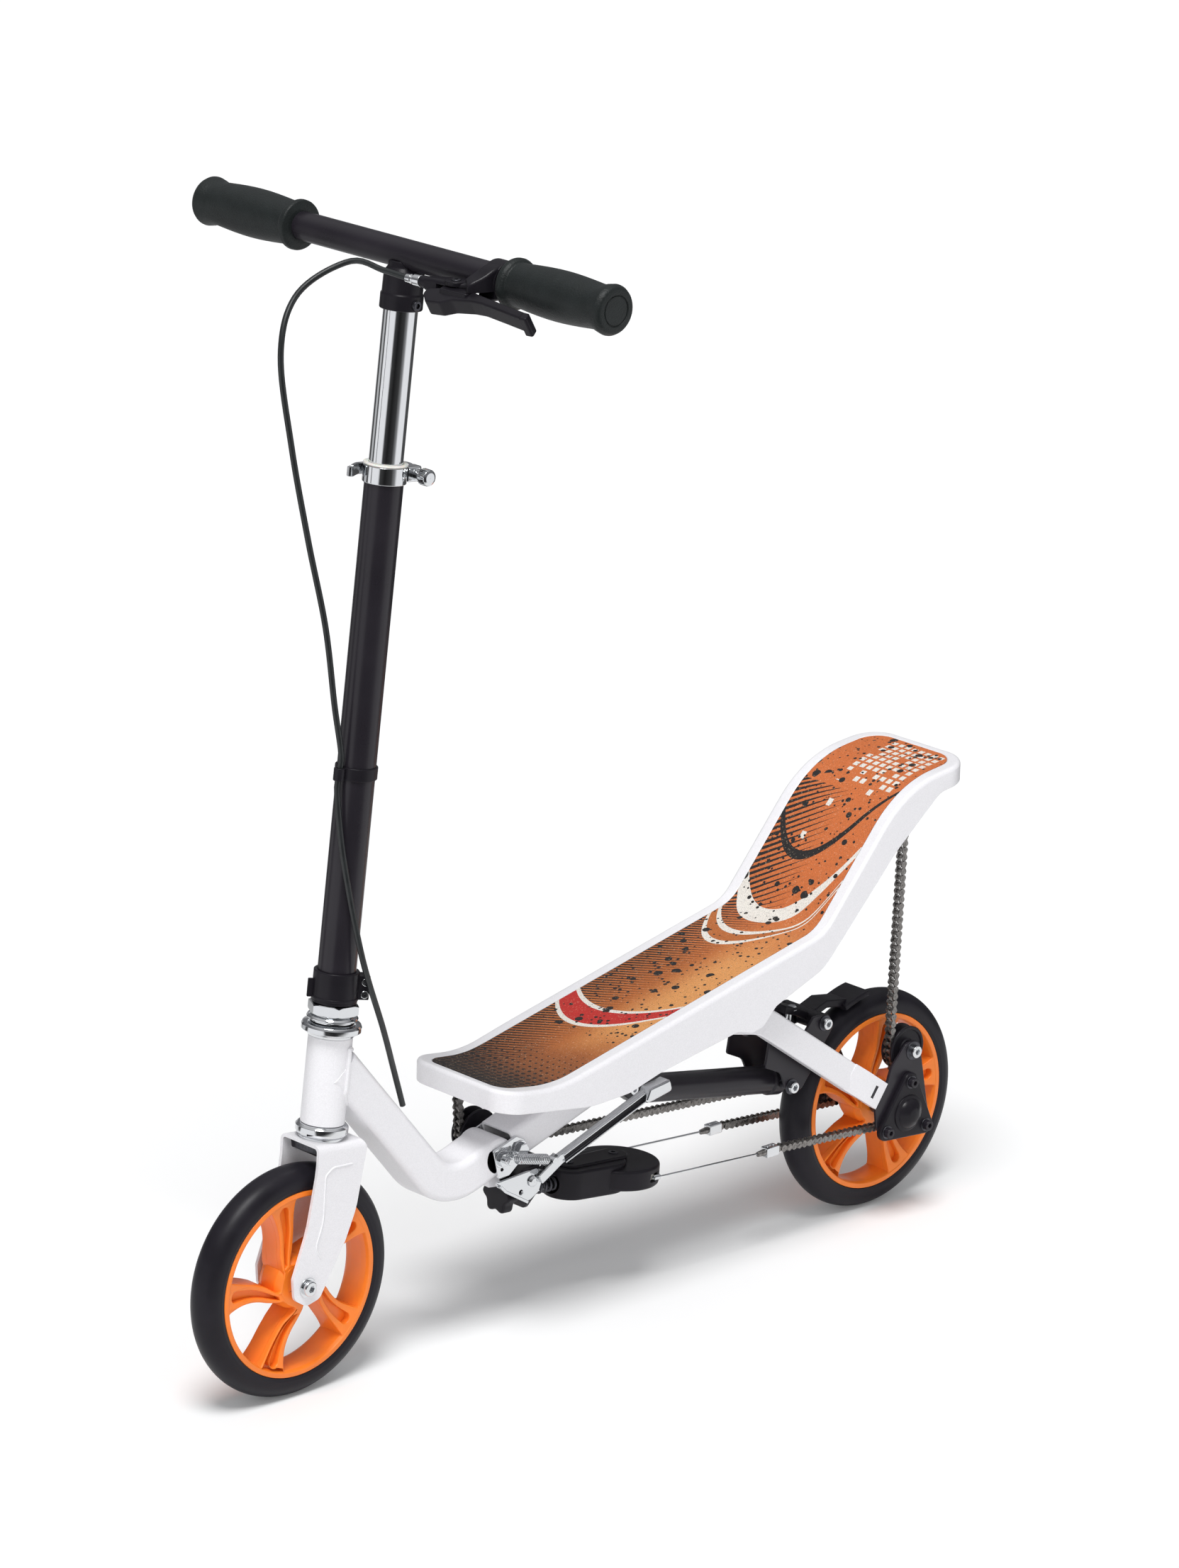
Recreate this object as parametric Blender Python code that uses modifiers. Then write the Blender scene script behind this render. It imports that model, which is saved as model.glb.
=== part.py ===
"""Kids pedal scooter, built as an assembly of separate parts.

The rider rocks the deck, whose two ends pull chains that turn sprockets beside the rear wheel.
Sizes are in millimetres and angles in degrees. The origin lies on the ground, midway between the axles.
X points forward, Y to the rider's left and Z up.
"""

import math

import bmesh
import bpy
from mathutils import Matrix, Vector

MM = 0.001
GAP = 0.3  # between two pieces that touch on the real scooter
SMOOTH_ANGLE = 35

# Wheels
WHEELBASE = 675.0
WHEEL_R = 100.0
TYRE_W = 30.0
RIM_R = 80.5
RIM_LIP = 5.0
HUB_R = 22.0
HUB_W = 29.0
SPOKES = 5
SPOKE_WAIST = 7.0
SPOKE_FLARE = 6.5
SPOKE_WAIST_R = 34.0
SPOKE_FACE = 11.5
WINDOW_IN_R = 20.8
GROOVE_OUT_R = 72.0
GROOVE_IN_R = 22.0
GROOVE_W = 10.0
GROOVE_FLOOR = 6.5
SPOKE_SWEEP = 25.0
FRONT_SPOKE_TURN = 4.4
REAR_SPOKE_TURN = 28.0
AXLE_R = 4.0
BOLT_R = 4.0

# Steering column, in distances up its axis from the foot at axle height
STEER_FOOT_X = 316.4
STEER_TILT = 6.12
CROWN_TOP = 118.0
RACE_R = 19.0
RACE_H = 3.2
LOWER_CUP = (121.5, 130.2)
LOWER_CUP_R = 22.0
HEAD_TUBE = (130.5, 205.0)
HEAD_TUBE_R = 18.5
HEAD_BORE_R = 15.5
UPPER_CUP = (205.3, 216.5)
UPPER_CUP_R = 25.0
LOCK_NUT = (216.8, 233.0)
LOCK_NUT_R = 19.0
STEM_CLAMP = (233.3, 260.0)
STEERER_R = 14.0
STEERER_TOP = 290.0
STEM_R = 16.0
STEM_WALL = 1.6
STEM = (236.0, 679.7)
STRAP = (421.5, 432.0)
CLIP_OFFSET = (21.0, 3.0, 0.0)
COLLAR = (665.5, 680.0)
BUSH_TOP = 681.8
BAR_HEIGHT = 850.7
BAR_HALF = 239.0
SKEWER_X = -24.0
LEVER_BARREL = (-24.0, -20.0)
INNER_TUBE_R = 14.0
INNER_TUBE = (430.0, BAR_HEIGHT - 16.0)
INNER_TUBE_WALL = 1.6
T_BLOCK = (BAR_HEIGHT - 45.2, BAR_HEIGHT - 2.7)
T_BLOCK_R = 16.5
BAR_R = 12.0
BAR_WALL = 2.0
GRIP_L = 118.0
GRIP_END = 4.0
GRIP = (BAR_HALF + GRIP_END - GRIP_L, BAR_HALF + GRIP_END)

# Fork, a bent sheet
FORK_HALF_W = 24.0
SHEET = 3.0
FORK_BEND_R = 6.0

# Front beam and the fold joint, in X and Z
BEAM_W = 38.0
FRONT_BEAM_DEPTH = 33.4
REAR_BEAM_DEPTH = 30.0
BEAM_EDGE_R = 6.0
BEAM_WALL = 3.0
FOLD_HINGE = (121.0, 159.2)
BEND_CORNER = (178.2, 140.7)
BEND_R = 66.5
HEAD_JOIN = 182.3
REAR_BEAM_L = 246.0
PULLEY_BOLT = (100.5, 163.0)
BRACKET_SHEET = 2.7

# Deck
DECK_HALF_W = 64.0
NOSE_HALF_W = 61.0
DECK_NOSE_X = 156.0
DECK_TAIL_X = -394.0
DECK_WALL = 2.5
DECK_TOP_WALL = 4.0
DECK_EDGE_R = 4.0
MAT_T = 1.2
MAT_HALF_W = 51.0
PIVOT_TUBE_R = 12.0
EAR = (48.0, 51.0)

# Stays from the pivot to the rear hub
STAY = (33.0, 45.7)
STAY_H = 25.0
STAY_FLAT = 4.7
HUB_PLATE = (46.0, 49.0)
COVER_Y = 54.0
HUB_BOLT_CIRCLE = 28.5

# Chain drive
CHAIN_Y = 35.5
CHAIN_PITCH = 6.35
CHAIN_STEP = 4.2
CHAIN_H = 6.0
CHAIN_WAIST = 4.2
CHAIN_W = 8.0
CHAIN_INNER_W = 5.6
SPROCKET_TEETH = 14
SPROCKET_T = 2.4
PULLEY_PITCH_R = 17.0
PULLEY_FLANGE_R = 20.3
PULLEY_FLANGE_T = 2.4
IDLER = (-346.0, 155.0)
NOSE_ANCHOR = (121.5, 226.0)
TAIL_ANCHOR = (-337.0, 372.0)
CONNECTOR = (-184.5, 96.4)
CONNECTOR_L = 15.0
WIRE_R = 0.9

# Cable tensioner
TENSIONER = (-33.0, 106.5)
TENSIONER_TILT = 4.4
HOUSING_R = 37.5
HOUSING_H = 18.0
CHAMBER_R = 36.2
LOBE_R = 21.0
LOBE_X = 57.0
LOBE_H = 26.0
BRIDGE_R = 12.5
SPRING_R = 7.5
SPRING_WIRE_R = 1.2
SPRING_FROM = 63.0
SLIDE_ROOM = 4.0  # from the housing to the end of the knob's rod, inside the spring
WEB = (112.0, 116.0)
KNOB = (128.5, 140.5)
KNOB_R = 17.0
KNOB_LOBES = 6
ROD_R = 3.5

# Fold lever
RIVET = (88.6, 132.3)
LEVER_Y = (26.0, 34.0)
LEVER_H = 9.0
FOLD_SPRING_R = 4.75
FOLD_SPRING_WIRE_R = 0.6
FOLD_SPRING_CURLS = 12
FOLD_SPRING_Y = 31.6
STUD_R = 3.0
LEVER_POST = (70.7, 148.8)

# Rear brake
BRAKE_PIVOT = (-257.5, 194.4)
BRACKET_BOLT = (-218.5, 144.6)
CHEEK = (22.3, 25.0)
PAD_GAP = 3.0
PAD_T = 5.0
PAD_SPAN = (82, 66)

# Brake lever
LEVER_REACH = 24.294128
LEVER_DROP = 8.851685
LEVER_INSET = 39.0
BLADE_T = 5.4
CABLE_R = 2.5

FINISHES = {
    "white paint": ((0.80, 0.80, 0.80), 0.35, 0.0),
    "black paint": ((0.012, 0.012, 0.014), 0.4, 0.0),
    "black plastic": ((0.014, 0.014, 0.017), 0.5, 0.0),
    "orange plastic": ((0.90, 0.19, 0.025), 0.45, 0.0),
    "tyre rubber": ((0.016, 0.016, 0.020), 0.6, 0.0),
    "grip rubber": ((0.014, 0.014, 0.016), 0.65, 0.0),
    "chrome": ((0.78, 0.79, 0.80), 0.12, 1.0),
    "dark steel": ((0.09, 0.09, 0.095), 0.4, 1.0),
    "white plastic": ((0.75, 0.75, 0.74), 0.4, 0.0),
    "grit mat": ((0.05, 0.048, 0.045), 0.8, 0.0),
}

WORLD = Matrix.Identity(4)
SIDE = Matrix(((1, 0, 0, 0), (0, 0, 1, 0), (0, 1, 0, 0), (0, 0, 0, 1)))


# Frames: each maps a drawing's own three directions onto the scooter


def shift(x=0.0, y=0.0, z=0.0):
    return Matrix.Translation((x * MM, y * MM, z * MM))


def along_y(x, z, mirrored=False):
    """A frame whose third direction is +Y, or -Y when mirrored, through a point of the side view."""
    return shift(x, 0, z) @ Matrix.Rotation(math.radians(90 if mirrored else -90), 4, "X")


def aimed(start, end):
    """A frame that starts at one point and whose third direction runs to another."""
    turn = (Vector(end) - Vector(start)).to_track_quat("Z", "Y")
    return Matrix.Translation(Vector(start) * MM) @ turn.to_matrix().to_4x4()


STEER = shift(STEER_FOOT_X, 0, WHEEL_R) @ Matrix.Rotation(-math.radians(STEER_TILT), 4, "Y")
ACROSS = STEER @ Matrix(((0, 0, 1, 0), (1, 0, 0, 0), (0, 1, 0, 0), (0, 0, 0, 1)))
TENSION = shift(TENSIONER[0], 0, TENSIONER[1]) @ Matrix.Rotation(-math.radians(TENSIONER_TILT), 4, "Y")
ALONG_ROD = TENSION @ Matrix(((0, 0, 1, 0), (1, 0, 0, 0), (0, 1, 0, 0), (0, 0, 0, 1)))
FRONT_AXLE_X = WHEELBASE / 2
REAR_AXLE_X = -WHEELBASE / 2
PULLEY_IN = CHAIN_Y - CHAIN_W / 2 - GAP - PULLEY_FLANGE_T
PULLEY_OUT = CHAIN_Y + CHAIN_W / 2 + GAP + PULLEY_FLANGE_T
BEAM_ANGLE = math.atan2(FOLD_HINGE[1] - BEND_CORNER[1], BEND_CORNER[0] - FOLD_HINGE[0])
PIVOT = (
    FOLD_HINGE[0] - REAR_BEAM_L * math.cos(BEAM_ANGLE),
    FOLD_HINGE[1] + REAR_BEAM_L * math.sin(BEAM_ANGLE),
)


def on_column(height, forward=0.0, left=0.0):
    """World point, in millimetres, at a height up the steering column and an offset from its axis."""
    return tuple(STEER @ Vector((forward * MM, left * MM, height * MM)) / MM)


# The brake lever keeps its place from the bar's axis and from the grip's inner end
LEVER_PIVOT = (on_column(BAR_HEIGHT)[0] + LEVER_REACH, GRIP[0] - LEVER_INSET)
LEVER_Z = on_column(BAR_HEIGHT)[2] - LEVER_DROP


def on_rear_beam(distance, above=0.0):
    """Side-view point at a distance behind the fold hinge along the rear beam, and above its centre line."""
    x = FOLD_HINGE[0] - distance * math.cos(BEAM_ANGLE) + above * math.sin(BEAM_ANGLE)
    z = FOLD_HINGE[1] + distance * math.sin(BEAM_ANGLE) + above * math.cos(BEAM_ANGLE)
    return x, z


# Outlines


def rounded(corners, radius=0.0, step=30.0):
    """Closed outline with its corners rounded; a corner may carry its own radius as a third value."""
    points = []
    count = len(corners)
    for i, corner in enumerate(corners):
        here = Vector(corner[:2])
        before = Vector(corners[i - 1][:2]) - here
        after = Vector(corners[(i + 1) % count][:2]) - here
        wanted = corner[2] if len(corner) > 2 else radius
        between = before.angle(after)
        if wanted <= 0 or between > math.radians(179):
            points.append(tuple(here))
            continue
        reach = min(wanted / math.tan(between / 2), 0.48 * before.length, 0.48 * after.length)
        r = reach * math.tan(between / 2)
        centre = here + (before.normalized() + after.normalized()).normalized() * r / math.sin(between / 2)
        first = here + before.normalized() * reach - centre
        swing = first.angle_signed(here + after.normalized() * reach - centre)
        steps = max(1, round(abs(math.degrees(swing)) / step))
        for k in range(steps + 1):
            turned_by = first.copy()
            turned_by.rotate(Matrix.Rotation(-swing * k / steps, 2))
            points.append(tuple(centre + turned_by))
    return points


def band(path, width):
    """Outline of a strip of the given width along an open path, with mitred corners."""
    left, right = [], []
    for i, point in enumerate(path):
        here = Vector(point[:2])
        ahead = (Vector(path[i + 1][:2]) - here).normalized() if i + 1 < len(path) else None
        behind = (here - Vector(path[i - 1][:2])).normalized() if i else None
        along = ((ahead or behind) + (behind or ahead)).normalized()
        normal = Vector((-along.y, along.x))
        stretch = 1 / max(0.3, along.dot(ahead or behind))
        inner = point[2] if len(point) > 2 else 0
        turn = 0 if not (ahead and behind) else behind.cross(ahead)
        for side, sign in ((left, 1), (right, -1)):
            spot = here + normal * sign * stretch * width / 2
            r = max(0, inner - sign * math.copysign(width / 2, turn)) if inner else 0
            side.append((spot.x, spot.y, r))
    return left + right[::-1]


def circle(x, z, radius, count=24, start=0.0):
    angles = [start + 2 * math.pi * k / count for k in range(count)]
    return [(x + radius * math.cos(a), z + radius * math.sin(a)) for a in angles]


def hull_of_circles(first, second, count=7):
    """Outline round two circles given as x, y and radius."""
    (x1, y1, r1), (x2, y2, r2) = first, second
    length = math.hypot(x2 - x1, y2 - y1)
    facing = math.atan2(y2 - y1, x2 - x1)
    lean = math.acos((r1 - r2) / length)
    points = []
    for k in range(count + 1):
        a = facing - lean + 2 * lean * k / count
        points.append((x2 + r2 * math.cos(a), y2 + r2 * math.sin(a)))
    for k in range(count + 1):
        a = facing + lean + 2 * (math.pi - lean) * k / count
        points.append((x1 + r1 * math.cos(a), y1 + r1 * math.sin(a)))
    return points


def sides_of(radius):
    """Number of flats round a turned piece or hole of the given radius."""
    return next(count for count, most in ((10, 6), (12, 12), (16, 30), (32, 1000)) if radius <= most)


def around(radius):
    """Radius of a faceted hole that clears a round piece of the given radius by the usual gap."""
    return (radius + GAP) / math.cos(math.pi / sides_of(radius))


# Objects


def collection(name, helpers=False):
    made = bpy.data.collections.new(name)
    bpy.context.scene.collection.children.link(made)
    made.hide_render = helpers
    return made


def material(name, finish):
    colour, roughness, metallic = FINISHES[finish]
    made = bpy.data.materials.new(f"{name} {finish}")
    made.use_nodes = True
    shader = made.node_tree.nodes["Principled BSDF"]
    shader.inputs["Base Color"].default_value = (*colour, 1.0)
    shader.inputs["Roughness"].default_value = roughness
    shader.inputs["Metallic"].default_value = metallic
    made.diffuse_color = (*colour, 1.0)
    return made


def add(name, mesh, finish=None):
    """An object among the scooter's parts or, with no finish, a helper that only shapes them."""
    obj = bpy.data.objects.new(name, mesh)
    if finish:
        bpy.data.collections["pedal scooter"].objects.link(obj)
        mesh.materials.append(material(name, finish))
        mesh.shade_smooth()
        mesh.set_sharp_from_angle(angle=math.radians(SMOOTH_ANGLE))
    else:
        bpy.data.collections["cutters"].objects.link(obj)
        obj.hide_render = True
        obj.display_type = "WIRE"
    return obj


def meshed(data, frame):
    """The mesh of a curve, or of a mesh with its modifiers, placed by a frame, welded and facing out."""
    holder = data if isinstance(data, bpy.types.Object) else bpy.data.objects.new("holder", data)
    if not holder.users_collection:
        bpy.context.scene.collection.objects.link(holder)
    bpy.context.view_layer.update()
    evaluated = holder.evaluated_get(bpy.context.evaluated_depsgraph_get())
    mesh = bpy.data.meshes.new_from_object(evaluated)
    bpy.data.objects.remove(holder, do_unlink=True)
    mesh.transform(frame)
    shape = bmesh.new()
    shape.from_mesh(mesh)
    bmesh.ops.remove_doubles(shape, verts=shape.verts, dist=0.001 * MM)
    bmesh.ops.dissolve_limit(shape, angle_limit=math.radians(0.5), verts=shape.verts, edges=shape.edges)
    bmesh.ops.recalc_face_normals(shape, faces=shape.faces)
    shape.to_mesh(mesh)
    shape.free()
    mesh.materials.clear()
    return mesh


def flat(name, rings, low, high, finish=None, frame=SIDE):
    """An outline, with any more rings as holes or islands, filled and thickened from low to high."""
    curve = bpy.data.curves.new(name, "CURVE")
    curve.dimensions = "2D"
    curve.fill_mode = "BOTH"
    curve.extrude = (high - low) / 2 * MM
    for ring in rings:
        spline = curve.splines.new("POLY")
        spline.points.add(len(ring) - 1)
        for point, place in zip(spline.points, ring):
            point.co = (place[0] * MM, place[1] * MM, 0, 1)
        spline.use_cyclic_u = True
    return add(name, meshed(curve, frame @ shift(z=(low + high) / 2)), finish)


def turned(name, profile, finish=None, frame=WORLD, ring=False):
    """A turned shape from radii and heights, down its outer side; a ring closes on itself."""
    mesh = bpy.data.meshes.new(name)
    points = [(r * MM, 0, h * MM) for r, h in profile]
    steps = sides_of(max(r for r, _ in profile))
    edges = [(i, i + 1) for i in range(len(points) - 1)]
    if ring:
        edges.append((len(points) - 1, 0))
    mesh.from_pydata(points, edges, [])
    holder = bpy.data.objects.new(name, mesh)
    screw = holder.modifiers.new("Turn", "SCREW")
    screw.axis = "Z"
    screw.steps = steps
    screw.render_steps = steps
    screw.use_merge_vertices = True
    screw.merge_threshold = 0.00001
    return add(name, meshed(holder, frame), finish)


def rod(name, radius, low, high, finish=None, frame=WORLD):
    return turned(name, [(0, high), (radius, high), (radius, low), (0, low)], finish, frame)


def sleeve(name, outer, inner, low, high, finish=None, frame=WORLD):
    profile = [(outer, high), (outer, low), (around(inner), low), (around(inner), high)]
    return turned(name, profile, finish, frame, ring=True)


def tube(name, points, radius, finish=None, resolution=2, frame=WORLD):
    """A round wire or hose along points, with closed ends."""
    curve = bpy.data.curves.new(name, "CURVE")
    curve.dimensions = "3D"
    curve.bevel_depth = radius * MM
    curve.bevel_resolution = resolution
    curve.use_fill_caps = True
    spline = curve.splines.new("POLY")
    spline.points.add(len(points) - 1)
    for point, place in zip(spline.points, points):
        point.co = (*(c * MM for c in place), 1)
    return add(name, meshed(curve, frame), finish)


def block(name, low, high, finish=None, frame=WORLD, bevel=0.0):
    """A box between two corners."""
    shape = bmesh.new()
    bmesh.ops.create_cube(shape, size=1.0)
    size = [(b - a) * MM for a, b in zip(low, high)]
    centre = [(a + b) / 2 * MM for a, b in zip(low, high)]
    bmesh.ops.transform(shape, verts=shape.verts, matrix=Matrix.LocRotScale(centre, None, size))
    mesh = bpy.data.meshes.new(name)
    shape.to_mesh(mesh)
    shape.free()
    mesh.transform(frame)
    obj = add(name, mesh, finish)
    if bevel:
        edge(obj, bevel)
    return obj


def edge(obj, width, segments=1, angle=50.0):
    """Rounded edges wherever two faces meet at more than the angle."""
    bevel = obj.modifiers.new("Round edges", "BEVEL")
    bevel.width = width * MM
    bevel.segments = segments
    bevel.limit_method = "ANGLE"
    bevel.angle_limit = math.radians(angle)


def combine(obj, operation, helpers):
    for helper in helpers:
        modifier = obj.modifiers.new(operation.title(), "BOOLEAN")
        modifier.operation = operation
        modifier.solver = "EXACT"
        modifier.object = helper
    return obj


def join(obj, *helpers):
    return combine(obj, "UNION", helpers)


def cut(obj, *helpers):
    return combine(obj, "DIFFERENCE", helpers)


def keep(obj, *helpers):
    return combine(obj, "INTERSECT", helpers)


def body(name, frame, pieces):
    """Hangs the pieces that move together on an empty that stands on their joint's axis."""
    empty = bpy.data.objects.new(name, None)
    empty.empty_display_size = 30 * MM
    empty.matrix_world = frame
    bpy.data.collections["pedal scooter"].objects.link(empty)
    bpy.context.view_layer.update()
    for piece in pieces:
        piece.parent = empty
        piece.matrix_parent_inverse = empty.matrix_world.inverted()


# Routes


def wound(start, circles, end, spacing=1.0):
    """Side-view path pulled tight round circles, each given as centre, radius and turn (1 left, -1 right)."""
    stops = [(start, 0.0, 1), *circles, (end, 0.0, 1)]
    lines = []
    for (c1, r1, d1), (c2, r2, d2) in zip(stops, stops[1:]):
        across = Vector(c2) - Vector(c1)
        heading = math.atan2(across.y, across.x) - math.asin((d2 * r2 - d1 * r1) / across.length)
        normal = Vector((-math.sin(heading), math.cos(heading)))
        lines.append((Vector(c1) - normal * d1 * r1, Vector(c2) - normal * d2 * r2))
    path = [lines[0][0], lines[0][1]]
    for (centre, radius, turn), (_, arrive), (leave, arrive_next) in zip(circles, lines, lines[1:]):
        a0 = math.atan2(*(arrive - Vector(centre)).yx)
        a1 = math.atan2(*(leave - Vector(centre)).yx)
        sweep = (a1 - a0) * turn % (2 * math.pi)
        steps = max(2, round(radius * sweep / spacing))
        for k in range(1, steps + 1):
            a = a0 + turn * sweep * k / steps
            path.append(Vector(centre) + radius * Vector((math.cos(a), math.sin(a))))
        path.append(arrive_next)
    return path


def walk(path, spacing, start=0.0, end=None):
    """Points at equal spacing along a polyline, and the direction there, between two lengths along it."""
    lengths = [0.0]
    for a, b in zip(path, path[1:]):
        lengths.append(lengths[-1] + (b - a).length)
    end = lengths[-1] if end is None else end
    count = max(1, round((end - start) / spacing))
    found = []
    segment = 0
    for k in range(count + 1):
        s = start + (end - start) * k / count
        while segment < len(path) - 2 and lengths[segment + 1] < s:
            segment += 1
        a, b = path[segment], path[segment + 1]
        along = (b - a).normalized()
        found.append((a + along * (s - lengths[segment]), along))
    return found


def length_to(path, spot):
    """Length along a polyline to its point nearest to a spot."""
    best, total, nearest = 0.0, 0.0, None
    for a, b in zip(path, path[1:]):
        along = (b - a).normalized()
        reach = min(max((Vector(spot) - a).dot(along), 0), (b - a).length)
        away = (a + along * reach - Vector(spot)).length
        if nearest is None or away < nearest:
            nearest, best = away, total + reach
        total += (b - a).length
    return best


def smooth_route(points, spacing):
    """Points at about equal spacing along a smooth curve through the given ones."""
    places = [Vector(p) for p in points]
    places = [2 * places[0] - places[1], *places, 2 * places[-1] - places[-2]]
    fine = []
    for a, b, c, d in zip(places, places[1:], places[2:], places[3:]):
        for k in range(12):
            t = k / 12
            fine.append(
                0.5 * (2 * b + (c - a) * t + (2 * a - 5 * b + 4 * c - d) * t**2 + (3 * b - a - 3 * c + d) * t**3)
            )
    fine.append(places[-2])
    return [point for point, _ in walk(fine, spacing)]


def chain(name, path, side, start, end):
    """Roller chain along a side-view path: waisted between pins, with every other link narrower."""
    stations = walk(path, CHAIN_STEP, start, end)
    shape = bmesh.new()
    rows = []
    for i, (place, along) in enumerate(stations):
        pin = i % 2 == 0
        high = (CHAIN_H if pin else CHAIN_WAIST) / 2
        wide = (CHAIN_W if pin else CHAIN_INNER_W) / 2
        normal = Vector((-along.y, along.x))
        row = []
        for n, y in ((1, 1), (1, -1), (-1, -1), (-1, 1)):
            spot = place + normal * n * high
            row.append(shape.verts.new((spot.x * MM, (side * CHAIN_Y + y * wide) * MM, spot.y * MM)))
        rows.append(row)
    for a, b in zip(rows, rows[1:]):
        for k in range(4):
            shape.faces.new((a[k], a[(k + 1) % 4], b[(k + 1) % 4], b[k]))
    shape.faces.new(rows[0])
    shape.faces.new(rows[-1])
    bmesh.ops.recalc_face_normals(shape, faces=shape.faces)
    mesh = bpy.data.meshes.new(name)
    shape.to_mesh(mesh)
    shape.free()
    return add(name, mesh, "dark steel")


def coil(name, radius, wire, curls, length, lead, frame, finish, points_a_curl=8):
    """Spring along a frame's third direction: straight ends, then curls; prints its least gap to itself."""
    run = length - 2 * lead
    points = [(radius, 0, 0), (radius, 0, lead)]
    total = curls * points_a_curl
    for k in range(1, total):
        a = 2 * math.pi * k / points_a_curl
        points.append((radius * math.cos(a), radius * math.sin(a), lead + run * k / total))
    points += [(radius, 0, length - lead), (radius, 0, length)]
    places = [Vector(p) for p in points]
    apart = [(a - b).length for i, a in enumerate(places) for b in places[i + points_a_curl // 2 :]]
    print(f"{name}: least gap to itself {min(apart) - 2 * wire:.2f} mm")
    return tube(name, points, wire, finish, 1, frame)


# Wheels


def spoke_angle(r, turn):
    """Middle of a spoke at a radius: straight near the rim, swept back towards the hub."""
    inward = max(0.0, (GROOVE_OUT_R - r) / (GROOVE_OUT_R - GROOVE_IN_R))
    return math.radians(turn - SPOKE_SWEEP * min(inward, 1.0) ** 4)


def spoke_half_width(r):
    outward = max(0.0, (r - SPOKE_WAIST_R) / (RIM_R - RIM_LIP - SPOKE_WAIST_R))
    inward = max(0.0, (SPOKE_WAIST_R - r) / SPOKE_WAIST_R)
    return SPOKE_WAIST + SPOKE_FLARE * outward**2.2 - SPOKE_WAIST * inward


def polar(r, a):
    return (r * math.cos(a), r * math.sin(a))


def window(turn):
    """Opening between one spoke and the next."""
    outer = RIM_R - RIM_LIP
    radii = [outer, outer - 7, outer - 18, outer - 32, 33, 25, WINDOW_IN_R]
    low = [polar(r, spoke_angle(r, turn) + math.asin(spoke_half_width(r) / r)) for r in radii]
    high = [polar(r, spoke_angle(r, turn + 360 / SPOKES) - math.asin(spoke_half_width(r) / r)) for r in radii]
    first = math.atan2(*low[0][::-1])
    last = first + (math.atan2(*high[0][::-1]) - first) % (2 * math.pi)
    arc = [polar(outer, first + (last - first) * k / 4) for k in range(1, 4)]
    return low[::-1] + arc + high


def groove(turn):
    """Long pocket in a spoke's face: round and wide by the rim, narrow by the hub."""
    low, high = [], []
    for r in (GROOVE_OUT_R - 4, 46, 32, GROOVE_IN_R):
        share = (r - GROOVE_IN_R) / (GROOVE_OUT_R - GROOVE_IN_R)
        half = GROOVE_W * (0.17 + 0.33 * share)
        low.append(polar(r, spoke_angle(r, turn) - math.asin(half / r)))
        high.append(polar(r, spoke_angle(r, turn) + math.asin(half / r)))
    tip = polar(GROOVE_OUT_R, spoke_angle(GROOVE_OUT_R, turn))
    return [tip, *low, *high[::-1]]


def wheel(end, x, turn):
    """Moulded wheel: swept spokes with pockets on both faces, a rim band, a hub and a solid tyre."""
    half = TYRE_W / 2
    place = shift(x, 0, WHEEL_R) @ SIDE
    frame = along_y(x, WHEEL_R)
    turns = [turn + 360 / SPOKES * k for k in range(SPOKES)]
    outline = circle(0, 0, RIM_R - RIM_LIP / 2, 32)
    rim = flat(f"{end}_rim", [outline], -SPOKE_FACE, SPOKE_FACE, "orange plastic", place)
    cut(rim, flat("windows", [window(t) for t in turns], -TYRE_W, TYRE_W, frame=place))
    lip = RIM_R - RIM_LIP
    inner = [(lip, -half), (lip - 1.2, 0.8 - SPOKE_FACE), (lip - 1.2, SPOKE_FACE - 0.8), (lip, half)]
    ring = [(RIM_R, half), (RIM_R, -half), *inner]
    join(rim, turned("rim band", ring, frame=frame, ring=True))
    join(rim, rod("hub", HUB_R, -HUB_W / 2, HUB_W / 2, frame=frame))
    for low, high in ((GROOVE_FLOOR, TYRE_W), (-TYRE_W, -GROOVE_FLOOR)):
        cut(rim, flat("grooves", [groove(t) for t in turns], low, high, frame=place))
    cut(rim, rod("axle bore", around(AXLE_R), -TYRE_W, TYRE_W, frame=frame))
    seat = RIM_R + GAP
    crown = WHEEL_R - seat - RIM_LIP
    arc = [math.radians(90 - 180 * k / 6) for k in range(7)]
    section = [(seat + RIM_LIP + crown * math.cos(a), half * math.sin(a)) for a in arc]
    section = [(seat, half), *section, (seat, -half)]
    tyre = turned(f"{end}_tyre", section, "tyre rubber", frame, ring=True)
    body(f"{end} wheel axis", frame, (rim, tyre))


# Steering column


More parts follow.
